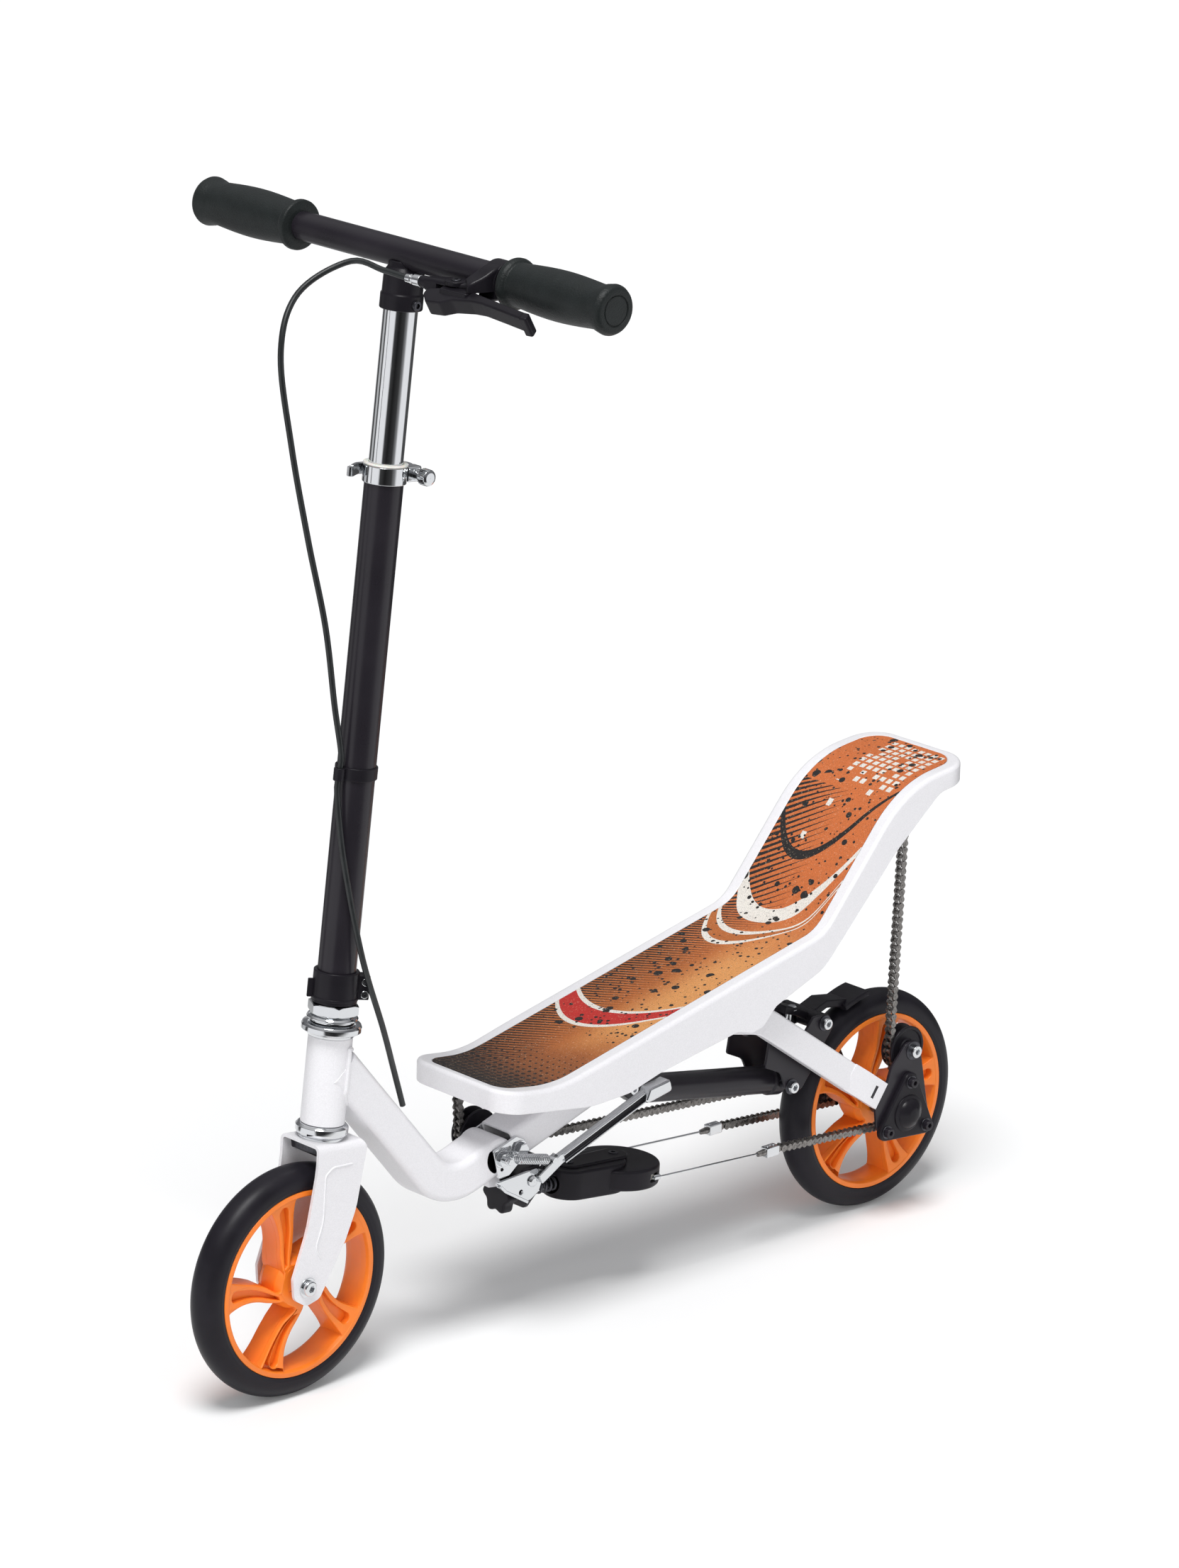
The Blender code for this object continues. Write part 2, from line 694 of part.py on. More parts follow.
def fork():
    """One bent sheet with a race and steerer tube on its crown."""
    half = FORK_HALF_W
    inside = half - SHEET
    foot = -30
    section = rounded(
        [
            (-half, foot),
            (-half, CROWN_TOP, FORK_BEND_R),
            (half, CROWN_TOP, FORK_BEND_R),
            (half, foot),
            (inside, foot),
            (inside, CROWN_TOP - SHEET, FORK_BEND_R - SHEET),
            (-inside, CROWN_TOP - SHEET, FORK_BEND_R - SHEET),
            (-inside, foot),
        ]
    )
    leg = rounded(
        [
            (326.0, 225, 0),
            (327.4, 198, 60),
            (338, 149, 60),
            (353, 110, 6),
            (351.5, 92, 8),
            (338.5, 83.5, 10),
            (324, 87, 8),
            (296.4, 131.6, 30),
            (285.4, 156.5, 40),
            (274, 207.8, 5),
            (281, 225, 0),
        ]
    )
    sheet = flat("fork", [section], -60, 60, "white paint", ACROSS)
    keep(sheet, flat("leg outline", [leg], -60, 60))
    column = [
        (0, STEERER_TOP),
        (STEERER_R, STEERER_TOP),
        (STEERER_R, CROWN_TOP + RACE_H),
        (RACE_R, CROWN_TOP + RACE_H),
        (RACE_R, CROWN_TOP - 1),
        (0, CROWN_TOP - 1),
    ]
    join(sheet, turned("steerer", column, frame=STEER))
    corner, opposite = (-12, -inside - 1, 106), (12, inside + 1, CROWN_TOP - 1)
    join(sheet, block("crown channel", corner, opposite, frame=STEER, bevel=3))
    line = [(290.4, 196.9), (310.4, 198.3), (318, 192), (321, 152.8), (329.3, 131.9), (323.4, 122.3)]
    for side in (-1, 1):
        join(sheet, tube("embossed line", [(x, side * half, z) for x, z in line], 1.2, None, 1))
    cut(sheet, rod("axle hole", around(AXLE_R), -60, 60, frame=along_y(FRONT_AXLE_X, WHEEL_R)))
    return sheet


def front_axle():
    end = FORK_HALF_W + GAP
    half = [
        (7, end + 5),
        (8.5, end),
        (AXLE_R, end),
        (AXLE_R, FORK_HALF_W - SHEET - GAP),
        (8, FORK_HALF_W - SHEET - GAP),
        (8, HUB_W / 2 + GAP),
        (AXLE_R, HUB_W / 2 + GAP),
    ]
    profile = [(0, end + 5), *half, *[(r, -h) for r, h in half[::-1]], (0, -end - 5)]
    return turned("front_axle", profile, "chrome", along_y(FRONT_AXLE_X, WHEEL_R))


def lock_nut():
    """Washers below and a hexagon above, threaded on the steerer tube."""
    low, high = LOCK_NUT
    nut = sleeve("lock_nut", RACE_R, STEERER_R, low, low + 7, "chrome", STEER)
    hexagon = flat("hexagon", [circle(0, 0, LOCK_NUT_R * 1.08, 6)], low + 6.5, high, frame=STEER)
    join(nut, hexagon)
    return cut(nut, rod("nut bore", around(STEERER_R), low - 5, high + 5, frame=STEER))


def stem_clamp():
    """Black band that grips the stem, with a split lug and two screws at the rear left."""
    low, high = STEM_CLAMP
    band_ring = sleeve("stem_clamp", STEM_R + 3, STEM_R, low, high, "black plastic", STEER)
    rear_left = STEER @ Matrix.Rotation(math.radians(150), 4, "Z")
    for near, far in ((0.9, 6.5), (-6.5, -0.9)):
        corner, opposite = (STEM_R + 1.5, near, low + 3), (STEM_R + 11, far, high - 3)
        jaw = block("jaw", corner, opposite, frame=rear_left, bevel=1)
        join(band_ring, jaw)
    front_right = STEER @ Matrix.Rotation(math.radians(-30), 4, "Z")
    corner, opposite = (STEM_R + 1.5, -1.5, low + 3), (STEM_R + 7, 1.5, high - 8)
    join(band_ring, block("fin", corner, opposite, frame=front_right))
    for height in (low + 8, high - 8):
        across = rear_left @ shift(STEM_R + 7, 0, height) @ Matrix.Rotation(math.radians(90), 4, "X")
        join(band_ring, rod("clamp screw", 2.6, -9, 9, frame=across))
    return band_ring


def column_parts():
    """Everything that turns with the fork."""
    stem = sleeve("stem_tube", STEM_R, STEM_R - STEM_WALL - GAP, *STEM, "black paint", STEER)
    strap = sleeve("cable_strap", STEM_R + 1.5, STEM_R, *STRAP, "black plastic", STEER)
    clip = rod("clip", CABLE_R + 2, *STRAP, frame=STEER @ shift(*CLIP_OFFSET))
    join(strap, clip)
    clip = STEER @ shift(*CLIP_OFFSET)
    cut(strap, rod("clip bore", around(CABLE_R), STRAP[0] - 5, STRAP[1] + 5, frame=clip))
    cut(strap, rod("strap bore", around(STEM_R), STRAP[0] - 5, STRAP[1] + 5, frame=STEER))
    radii, ends = (STEM_R + 2.5, INNER_TUBE_R + 0.1), (COLLAR[1] + GAP, BUSH_TOP)
    bush = sleeve("height_bush", *radii, *ends, "white plastic", STEER)
    return [fork(), front_axle(), lock_nut(), stem_clamp(), stem, strap, bush, height_collar()]


def height_collar():
    """Clamp at the top of the stem: ring, slit block behind it, cross bolt and knurled nut."""
    low, high = COLLAR
    ring = sleeve("height_collar", STEM_R + 2, STEM_R, low, high, "black plastic", STEER)
    join(ring, block("ears", (-31, -12, low + 1), (-15, 12, high - 1), frame=STEER, bevel=2))
    cut(ring, block("collar slit", (-40, -1.2, low - 5), (-STEM_R + 6, 1.2, high + 5), frame=STEER))
    cut(ring, rod("collar bore", around(STEM_R), low - 5, high + 5, frame=STEER))
    skewer = STEER @ shift(SKEWER_X, 0, (low + high) / 2) @ Matrix.Rotation(math.radians(-90), 4, "X")
    profile = [(0, 28), (6, 28), (7, 18.5), (3, 17), (3, -13.5), (0, -13.5)]
    return join(ring, turned("skewer", profile, frame=skewer))


def quick_release_lever():
    """Lever that lies round the right side of the stem and swings out to free the height clamp."""
    low, high = COLLAR
    path = [(-20, -20.5), (-6, -23.5, 12), (10, -23.5, 12), (22, -16)]
    lever = flat("quick_release_lever", [rounded(band(path, 4.5), 1.5)], low + 2.5, high - 2.5, "black plastic", STEER)
    join(lever, rod("cam barrel", 5.8, low + 1, high - 1, frame=STEER @ shift(*LEVER_BARREL)))
    return lever


# Handlebar


def bar_parts():
    """Everything that slides up and down in the stem."""
    inner = sleeve(
        "inner_tube", INNER_TUBE_R, INNER_TUBE_R - INNER_TUBE_WALL - GAP, *INNER_TUBE, "chrome", STEER
    )
    block_profile = [
        (0, T_BLOCK[1] - 2.5),
        (T_BLOCK_R - 3.3, T_BLOCK[1] - 2.5),
        (T_BLOCK_R - 2.9, T_BLOCK[1] - 7.7),
        (T_BLOCK_R, T_BLOCK[1] - 11.5),
        (T_BLOCK_R, T_BLOCK[0] + 14),
        (T_BLOCK_R + 1, T_BLOCK[0] + 13),
        (T_BLOCK_R + 1, T_BLOCK[0]),
        (0, T_BLOCK[0]),
    ]
    t_block = turned("t_block", block_profile, "black plastic", STEER)
    bar_x, _, bar_z = on_column(BAR_HEIGHT)
    across = along_y(bar_x, bar_z)
    bolt = along_y(*on_column(T_BLOCK[0] + 6.5)[::2])
    join(t_block, turned("t bolt", [(0, 20), (4, 20), (4, -20), (0, -20)], frame=bolt))
    cut(t_block, rod("t bar bore", around(BAR_R), -40, 40, frame=across))
    top = INNER_TUBE[1] + GAP
    cut(t_block, rod("t tube bore", around(INNER_TUBE_R), T_BLOCK[0] - 20, top, frame=STEER))
    half = BAR_HALF
    inner_r = BAR_R - BAR_WALL
    bar_profile = [(BAR_R, half), (BAR_R, -half), (inner_r, -half), (inner_r, half)]
    bar = turned("handlebar", bar_profile, "black paint", across, ring=True)
    pieces = [inner, t_block, bar, lever_clamp(bar_x, bar_z)]
    bore = around(BAR_R)
    low, high = GRIP
    profile = [
        (0, high),
        (12, high),
        (16, high - 6),
        (15.6, high - 16),
        (17, (low + high) / 2),
        (15.6, low + 22),
        (15, low + 11),
        (21, low + 6),
        (20, low),
        (bore, low),
        (bore, BAR_HALF + GAP),
        (0, BAR_HALF + GAP),
    ]
    for side, mirrored in (("left", False), ("right", True)):
        frame = along_y(bar_x, bar_z, mirrored)
        pieces.append(turned(f"grip_{side}", profile, "grip rubber", frame))
    return pieces


def lever_clamp(bar_x, bar_z):
    """Clamp round the bar that carries the brake lever's pivot and the cable's barrel."""
    x, y = LEVER_PIVOT
    ring = (GRIP[0] - 20.5, GRIP[0] - 4.5)
    outline = [
        (bar_x, ring[1] + 0.5, 4),
        (x - 9, ring[1] + 0.5, 6),
        (x - 4, y + 13, 6),
        (x + 7, y + 9, 4),
        (x + 9, y - 6, 4),
        (x + 6, y - 16, 3),
        (x - 5, y - 16, 3),
        (x - 9.5, y - 6, 4),
        (bar_x + BAR_R + 2, ring[0] - 1, 2),
        (bar_x, ring[0] - 1),
    ]
    low, high = LEVER_Z - BLADE_T / 2 - 4, LEVER_Z + BLADE_T / 2 + 4
    clamp = flat("lever_clamp", [rounded(outline)], low, high, "black plastic", WORLD)
    across = along_y(bar_x, bar_z)
    join(clamp, rod("clamp ring", BAR_R + 4, *ring, frame=across))
    cut(clamp, rod("clamp bore", around(BAR_R), ring[0] - 14.5, ring[1] + 19.5, frame=across))
    slot = BLADE_T / 2 + GAP
    cut(clamp, block("lever slot", (x - 8, y - 12, LEVER_Z - slot), (x + 40, y + 60, LEVER_Z + slot)))
    barrel = aimed((x + 1, y - 14, LEVER_Z), (x + 5, y - 52, LEVER_Z))
    profile = [(0, 38), (4, 38), (4.2, 22), (5.5, 20), (5.5, 8), (4.5, 7), (4.5, 0), (0, 0)]
    join(clamp, turned("cable barrel", profile, frame=barrel))
    pin = WORLD @ shift(x, y, 0)
    return join(clamp, rod("pivot pin", 2.5, low - 1, high + 1, frame=pin))


def brake_lever():
    """Blade with a round end, pulled towards the grip."""
    x, y = LEVER_PIVOT
    outline = [
        (x - 6, y - 6, 5),
        (x + 5, y - 8, 4),
        (x + 11, y + 27, 14),
        (x + 29, y + 78, 40),
        (x + 40, y + 116, 4),
        (x + 36, y + 125, 5),
        (x + 29, y + 121, 4),
        (x + 19, y + 78, 40),
        (x + 1, y + 35, 14),
        (x - 6, y + 8, 6),
    ]
    low, high = LEVER_Z - BLADE_T / 2, LEVER_Z + BLADE_T / 2
    blade = flat("brake_lever", [rounded(outline)], low, high, "black paint", WORLD)
    return cut(blade, rod("lever bore", around(2.5), low - 5, high + 5, frame=shift(x, y, 0)))


# Front beam


def front_beam():
    """Bent box beam with the head tube welded on its upper end and a round end at the fold hinge."""
    head = on_column(HEAD_JOIN)
    run = Vector((head[0] - BEND_CORNER[0], head[2] - BEND_CORNER[1]))
    top = Vector(BEND_CORNER) + run - run.normalized() * 8
    path = [tuple(top), (*BEND_CORNER, BEND_R), FOLD_HINGE]
    outline = rounded(band(path, FRONT_BEAM_DEPTH), step=9)
    beam = flat("front_beam", [outline], -BEAM_W / 2, BEAM_W / 2, "white paint")
    edge(beam, BEAM_EDGE_R, 2)
    width = BEAM_W / 2
    hinge = along_y(*FOLD_HINGE)
    tongue = [
        (0, width),
        (FRONT_BEAM_DEPTH / 2 - 2, width),
        (FRONT_BEAM_DEPTH / 2, width - 3),
        (FRONT_BEAM_DEPTH / 2, 3 - width),
        (FRONT_BEAM_DEPTH / 2 - 2, -width),
        (0, -width),
    ]
    join(beam, turned("round end", tongue, frame=hinge))
    join(beam, rod("head tube", HEAD_TUBE_R, *HEAD_TUBE, frame=STEER))
    x = FOLD_HINGE[0]
    catch = [(x - 11, 128), (x + 3, 130), (x + 4, 146), (x - 8, 148)]
    join(beam, flat("latch catch", [rounded(catch, 2)], -9, 9))
    cut(beam, rod("head bore", HEAD_BORE_R, HEAD_TUBE[0] - 20, HEAD_TUBE[1] + 20, frame=STEER))
    return cut(beam, rod("hinge hole", around(BOLT_R), -40, 40, frame=hinge))


def cups():
    """Bearing cups pressed on the ends of the head tube."""
    low, high = LOWER_CUP
    bore = around(STEERER_R + 0.2)
    rim = LOWER_CUP_R
    lower_profile = [(rim - 2, high), (rim, high - 2), (rim, low), (bore, low), (bore, high)]
    lower = turned("lower_cup", lower_profile, "black paint", STEER, ring=True)
    low, high = UPPER_CUP
    upper_profile = [
        (UPPER_CUP_R - 5, high),
        (UPPER_CUP_R - 1, high - 1),
        (UPPER_CUP_R, high - 3),
        (UPPER_CUP_R, low + 3),
        (HEAD_TUBE_R + 1, low),
        (bore, low),
        (bore, high),
    ]
    return [lower, turned("upper_cup", upper_profile, "black paint", STEER, ring=True)]


# Rear frame


def rear_beam():
    """Straight box beam from the fold joint to the deck's pivot tube, open at its front end."""
    half = BEAM_W / 2
    front = FRONT_BEAM_DEPTH / 2 + 1
    path = [on_rear_beam(front), on_rear_beam(REAR_BEAM_L)]
    beam = flat("rear_beam", [rounded(band(path, REAR_BEAM_DEPTH))], -half, half, "white paint")
    edge(beam, BEAM_EDGE_R, 2)
    inside = [on_rear_beam(front - 10), on_rear_beam(front + 60)]
    room = band(inside, REAR_BEAM_DEPTH - 2 * BEAM_WALL)
    hollow = flat("beam hollow", [room], BEAM_WALL - half, half - BEAM_WALL)
    cut(beam, hollow)
    reach = STAY[0] - GAP
    join(beam, rod("pivot tube", PIVOT_TUBE_R, -reach, reach, frame=along_y(*PIVOT)))
    cut(beam, rod("pivot bore", around(BOLT_R + 1), -60, 60, frame=along_y(*PIVOT)))
    return cut(beam, rod("pulley bolt hole", around(BOLT_R), -40, 40, frame=along_y(*PULLEY_BOLT)))


def fold_bracket():
    """Chromed plates on both sides of the fold joint, with the bolt that also carries the front pulley."""
    outline = [
        (131, 167.5, 3),
        (105, 175.5, 3),
        (95.5, 170.5, 4),
        (91, 158.5, 4),
        (112, 142, 3),
        (124, 141, 3),
    ]
    low = BEAM_W / 2 + GAP
    high = low + BRACKET_SHEET
    plates = flat("fold_bracket", [rounded(outline)], low, high, "chrome")
    join(plates, flat("right plate", [rounded(outline)], -high, -low))
    profile = [(0, high + 4), (5.5, high + 4), (6.5, high + 3), (6.5, high - 1), (BOLT_R, high - 1)]
    end = PULLEY_OUT + 0.5
    profile += [(BOLT_R, -end), (7, -end), (7, -end - 3), (0, -end - 3)]
    join(plates, turned("pulley bolt", profile, frame=along_y(*PULLEY_BOLT)))
    return cut(plates, rod("hinge bolt hole", around(BOLT_R), -40, 40, frame=along_y(*FOLD_HINGE)))


def hinge_bolt():
    high = BEAM_W / 2 + GAP + BRACKET_SHEET + GAP
    head = [(5.5, high + 4), (6.5, high + 3), (6.5, high), (BOLT_R, high)]
    stud = [(0, FOLD_SPRING_Y + 2.5), (STUD_R, FOLD_SPRING_Y + 2.5), (STUD_R, high + 4)]
    profile = [*stud, *head, *[(r, -h) for r, h in head[::-1]], (0, -high - 4)]
    return turned("hinge_bolt", profile, "chrome", along_y(*FOLD_HINGE))


def latch_base():
    """Cross web under the rear beam: it holds the tension rod and, on two ears, the fold lever's rivet."""
    foot = block("latch_base", (WEB[0], -21.5, -14), (WEB[1], 21.5, 36), "black paint", TENSION, bevel=0.8)
    ceiling = [on_rear_beam(20, -REAR_BEAM_DEPTH / 2 - GAP), on_rear_beam(80, -REAR_BEAM_DEPTH / 2 - GAP)]
    above = [*ceiling, (ceiling[1][0], 220), (ceiling[0][0], 220)]
    cut(foot, flat("beam underside", [above], -60, 60))
    x, z = RIVET
    ear = rounded([(x - 12, z - 9), (x + 8, z - 9), (x + 8, z + 8), (x - 12, z + 12)], 4)
    for low, high in ((17, CHEEK[0] - GAP), (GAP - CHEEK[0], -17)):
        join(foot, flat("ear", [ear], low, high))
    out = CHEEK[1]
    pin = [(0, out + 3), (4, out + 2.5), (4.8, out + GAP), (3, out + GAP), (3, 15), (0, 15)]
    join(foot, turned("rivet", pin, frame=along_y(*RIVET)))
    return cut(foot, rod("rod hole", around(ROD_R), WEB[0] - 10, WEB[1] + 10, frame=ALONG_ROD))


def fold_lever():
    """Long channel lever with a paddle, and the cam plate that turns on the rivet."""
    x, z = RIVET
    cam = [
        (131, 140, 2),
        (122, 131, 4),
        (95, 115, 3),
        (89.5, 116, 4),
        (80.5, 121, 4),
        (76, 132.5, 4),
        (83, 142.5, 3),
    ]
    lever = flat("fold_lever", [rounded(cam)], *CHEEK, "chrome")
    start, elbow, finish_at = (84, 134), (61, 147), (-38, 182)
    arm = flat("arm", [rounded(band([start, elbow, finish_at], LEVER_H), 1.5)], *LEVER_Y)
    root = flat("root", [rounded(band([start, elbow], LEVER_H), 1.5)], CHEEK[0], LEVER_Y[1] - 1)
    paddle = [(-30, 175, 3), (-36, 188.5, 3), (-60, 192, 3), (-63, 181, 3), (-42, 177, 3)]
    join(lever, root, arm, flat("paddle", [rounded(paddle)], LEVER_Y[0] - 2, LEVER_Y[1] + 3))
    channel = flat("channel", [band([(56, 149), (-28, 178.6)], LEVER_H / 2)], LEVER_Y[1] - 3, LEVER_Y[1] + 10)
    cut(lever, channel)
    join(lever, rod("post", STUD_R, LEVER_Y[0] + 1, LEVER_Y[1] + 0.6, frame=along_y(*LEVER_POST)))
    lip = band([(127, 137), (121.5, 131.5), (95.5, 115.8)], 2.6)
    join(lever, flat("lip", [lip], CHEEK[0] + 0.5, CHEEK[1] + 3.5))
    return cut(lever, rod("rivet bore", around(3), CHEEK[0] - 6, CHEEK[1] + 9, frame=along_y(x, z)))


def under_tube():
    """Round tube under the rear beam, hung on a lug in front and on the brake bracket's bolt behind."""
    front = Vector((-65.0, 172.0))
    back = Vector((BRACKET_BOLT[0] - 8, BRACKET_BOLT[1] - 1.5))
    frame = aimed((front.x, 0, front.y), (back.x, 0, back.y))
    length = (back - front).length
    end, neck = length, length - 14
    profile = [(0, end), (11, end), (14, end - 2), (14, neck), (12.5, neck - 1), (12.5, 0), (0, 0)]
    made = turned("under_tube", profile, "black paint", frame)
    line = [on_rear_beam(150, -REAR_BEAM_DEPTH / 2 - GAP), on_rear_beam(192, -REAR_BEAM_DEPTH / 2 - GAP)]
    lug = [(-34, 174, 6), line[0], line[1], (-76, 166, 4), (-50, 162, 8)]
    join(made, flat("lug", [rounded(lug)], -9, 9))
    join(made, rod("lug bolt", 4.5, -12, 12, frame=along_y(-42, 179)))
    return cut(made, rod("bracket bolt hole", around(BOLT_R), -40, 40, frame=along_y(*BRACKET_BOLT)))


def brake_bracket():
    """Two plates joined by the bolt through the round tube and by the brake's pivot bolt."""
    outline = [
        (-186, 169, 3),
        (-190.5, 195, 3),
        (-197, 196, 3),
        (-205, 178, 12),
        (-226, 182, 12),
        (-244, 203, 5),
        (-262, 202, 6),
        (-270, 190, 6),
        (-256, 172, 10),
        (-244, 154, 8),
        (-231, 138, 6),
        (-213, 143, 6),
        (-205, 160, 10),
    ]
    plates = flat("brake_bracket", [rounded(outline)], *CHEEK, "black paint")
    join(plates, flat("right cheek", [rounded(outline)], -CHEEK[1], -CHEEK[0]))
    end = CHEEK[1] + 4
    profile = [(0, end), (7, end), (7, end - 5), (BOLT_R, end - 5)]
    bolt = [*profile, *[(r, -h) for r, h in profile[::-1]]]
    for place in (BRACKET_BOLT, BRAKE_PIVOT):
        join(plates, turned("bolt", bolt, frame=along_y(*place)))
    return plates


def brake_arm():
    """Arm whose rear end carries a curved pad over the tyre; the cable pulls its raised nose."""
    x, z = BRAKE_PIVOT
    hub = CHEEK[0] - GAP
    arm = rod("brake_arm", 8, -hub, hub, "black plastic", along_y(x, z))
    nose = [(x, z), (x + 17, z + 9.5), (x + 34, z + 15.5)]
    rear_x = REAR_AXLE_X
    pad_in = WHEEL_R + PAD_GAP
    pad_out = pad_in + PAD_T
    angles = [math.radians(PAD_SPAN[0] + (PAD_SPAN[1] - PAD_SPAN[0]) * k / 5) for k in range(6)]
    inner = [(rear_x + pad_in * math.cos(a), WHEEL_R + pad_in * math.sin(a)) for a in angles]
    outer = [(rear_x + pad_out * math.cos(a), WHEEL_R + pad_out * math.sin(a)) for a in angles]
    join(arm, flat("nose", [rounded(band(nose, 7), 2)], -10, 10))
    link = [(x + 2, z + 2), (x - 18, z + 9), (x - 42, z + 5)]
    join(arm, flat("link", [rounded(band(link, 7), 1.5)], -10, 10))
    join(arm, flat("pad", [inner + outer[::-1]], -TYRE_W / 2, TYRE_W / 2))
    join(arm, block("cable nut", (x + 17, 2, z - 1), (x + 26, 9, z + 12), bevel=1))
    return cut(arm, rod("arm bore", around(BOLT_R), -60, 60, frame=along_y(x, z)))


def stay(name, side):
    """Flat bar from the deck pivot to the hub plate, thinned at its lower end to clear the chain."""
    slope = Vector((1, 0.7059)).normalized()
    foot = Vector((-308, WHEEL_R + (-308 - REAR_AXLE_X) * 0.7059))
    knee = foot + slope * 178
    path = [tuple(foot), (*knee, 60), PIVOT]
    low, high = STAY if side > 0 else (-STAY[1], -STAY[0])
    bar = flat(name, [rounded(band(path, STAY_H), step=10)], low, high, "white paint")
    edge(bar, 1.5)
    join(bar, rod("stay end", STAY_H / 2, low, high, frame=along_y(*PIVOT)))
    thin = foot + slope * 38
    inside = STAY[1] - STAY_FLAT
    wedge = [(-400, -10), (-400, inside), (thin.x - 6, inside), (thin.x + 8, STAY[0] - 2), (thin.x + 8, -10)]
    wedge = [(x, side * y) for x, y in wedge]
    cut(bar, flat("stay thinning", [wedge], 60, 300, frame=WORLD))
    return cut(bar, rod("stay pivot hole", around(BOLT_R + 1), -60, 60, frame=along_y(*PIVOT)))


def hub_plate(name, side):
    """Plate at the hub with its bearing cover and domed cap; the left one reaches up to the idler."""
    mirrored = side < 0
    arm = [(IDLER[0] - 8, IDLER[1] + 8, 7), (IDLER[0] + 8, IDLER[1] + 9, 7), (-319, 144, 12)]
    stub = [(-347, 140, 8), (-330, 144, 8)]
    rest = [(-296, 111.5, 4), (-304, 90, 8), (-316, 80, 6), (-345, 76, 10), (-371, 84, 8), (-366, 104, 8)]
    outline = rounded((stub if mirrored else arm) + rest)
    low, high = sorted((side * HUB_PLATE[0], side * HUB_PLATE[1]))
    plate = flat(name, [outline], low, high, "black paint")
    frame = along_y(REAR_AXLE_X, WHEEL_R, mirrored)
    angles = [math.radians((95 if not mirrored else 85) + 120 * k) for k in range(3)]
    corners = [polar(HUB_BOLT_CIRCLE + 17, a if not mirrored else -a) for a in angles]
    corners = [(x, -y) for x, y in corners]
    join(plate, flat("cover", [rounded(corners, 8.5)], HUB_PLATE[1] - 0.5, COVER_Y, frame=frame))
    dome = [(0, COVER_Y + 9), (6, COVER_Y + 8), (10, COVER_Y + 5), (12, COVER_Y + 1), (14, COVER_Y - 1)]
    join(plate, turned("dome", [*dome, (0, COVER_Y - 1)], frame=frame))
    for x, y in [(c[0], c[1]) for c in corners]:
        share = HUB_BOLT_CIRCLE / (HUB_BOLT_CIRCLE + 17)
        spot = frame @ shift(x * share, y * share)
        join(plate, rod("cover bolt", 4.4, COVER_Y - 1, COVER_Y + 5, frame=spot))
    cut(plate, rod("axle socket", around(AXLE_R + 1), 30, HUB_PLATE[1] + 2 + GAP, frame=frame))
    if not mirrored:
        cut(plate, rod("idler hole", around(BOLT_R), 30, 60, frame=along_y(*IDLER)))
    return plate


def rear_axle():
    reach = HUB_PLATE[1] + 2
    step = HUB_W / 2 + GAP
    half = [(AXLE_R + 1, reach), (AXLE_R + 1, HUB_W / 2 + 2 * GAP), (AXLE_R, step)]
    profile = [(0, reach), *half, *[(r, -h) for r, h in half[::-1]], (0, -reach)]
    return turned("rear_axle", profile, "dark steel", along_y(REAR_AXLE_X, WHEEL_R))


def idler_bolt():
    outer = HUB_PLATE[1] + GAP
    profile = [
        (0, outer + 5),
        (5, outer + 5),
        (5.5, outer + 4.5),
        (5.5, outer),
        (BOLT_R, outer),
        (BOLT_R, HUB_PLATE[0] - GAP),
        (7, HUB_PLATE[0] - GAP),
        (7, PULLEY_OUT + GAP),
        (BOLT_R, PULLEY_OUT + GAP),
        (BOLT_R, PULLEY_IN - GAP),
        (6.5, PULLEY_IN - GAP),
        (6.5, PULLEY_IN - 3),
        (0, PULLEY_IN - 3),
    ]
    return turned("idler_bolt", profile, "chrome", along_y(*IDLER))


# Deck


def deck_line(lift=0.0):
    """Top line of the deck in side view, from the nose back to the raised tail."""
    nose = (DECK_NOSE_X + 2, 236.5 + lift)
    corners = [nose, (96, 227.5 + lift, 120), (-214, 296.7 + lift, 40), (-309.5, 408.3 + lift, 105)]
    return [*corners, (DECK_TAIL_X - 2, 418.6 + lift)]


def rounded_line(corners, step=10.0):
    """Open line with its inner corners rounded."""
    far = [(corners[-1][0], -500), (corners[0][0], -500)]
    return rounded([*corners, *far], step=step)[:-2]


def deck_plan(inset=0.0, nose_r=22.0, tail_r=28.0):
    half = DECK_HALF_W - inset
    nose = NOSE_HALF_W - inset
    front, back = DECK_NOSE_X - inset, DECK_TAIL_X + inset
    right = [(front, -nose, nose_r), (40, -half, 200), (-280, -half, 200), (back, 2 - half, tail_r)]
    return rounded([*right, *[(x, -y, r) for x, y, r in right[::-1]]], step=23)


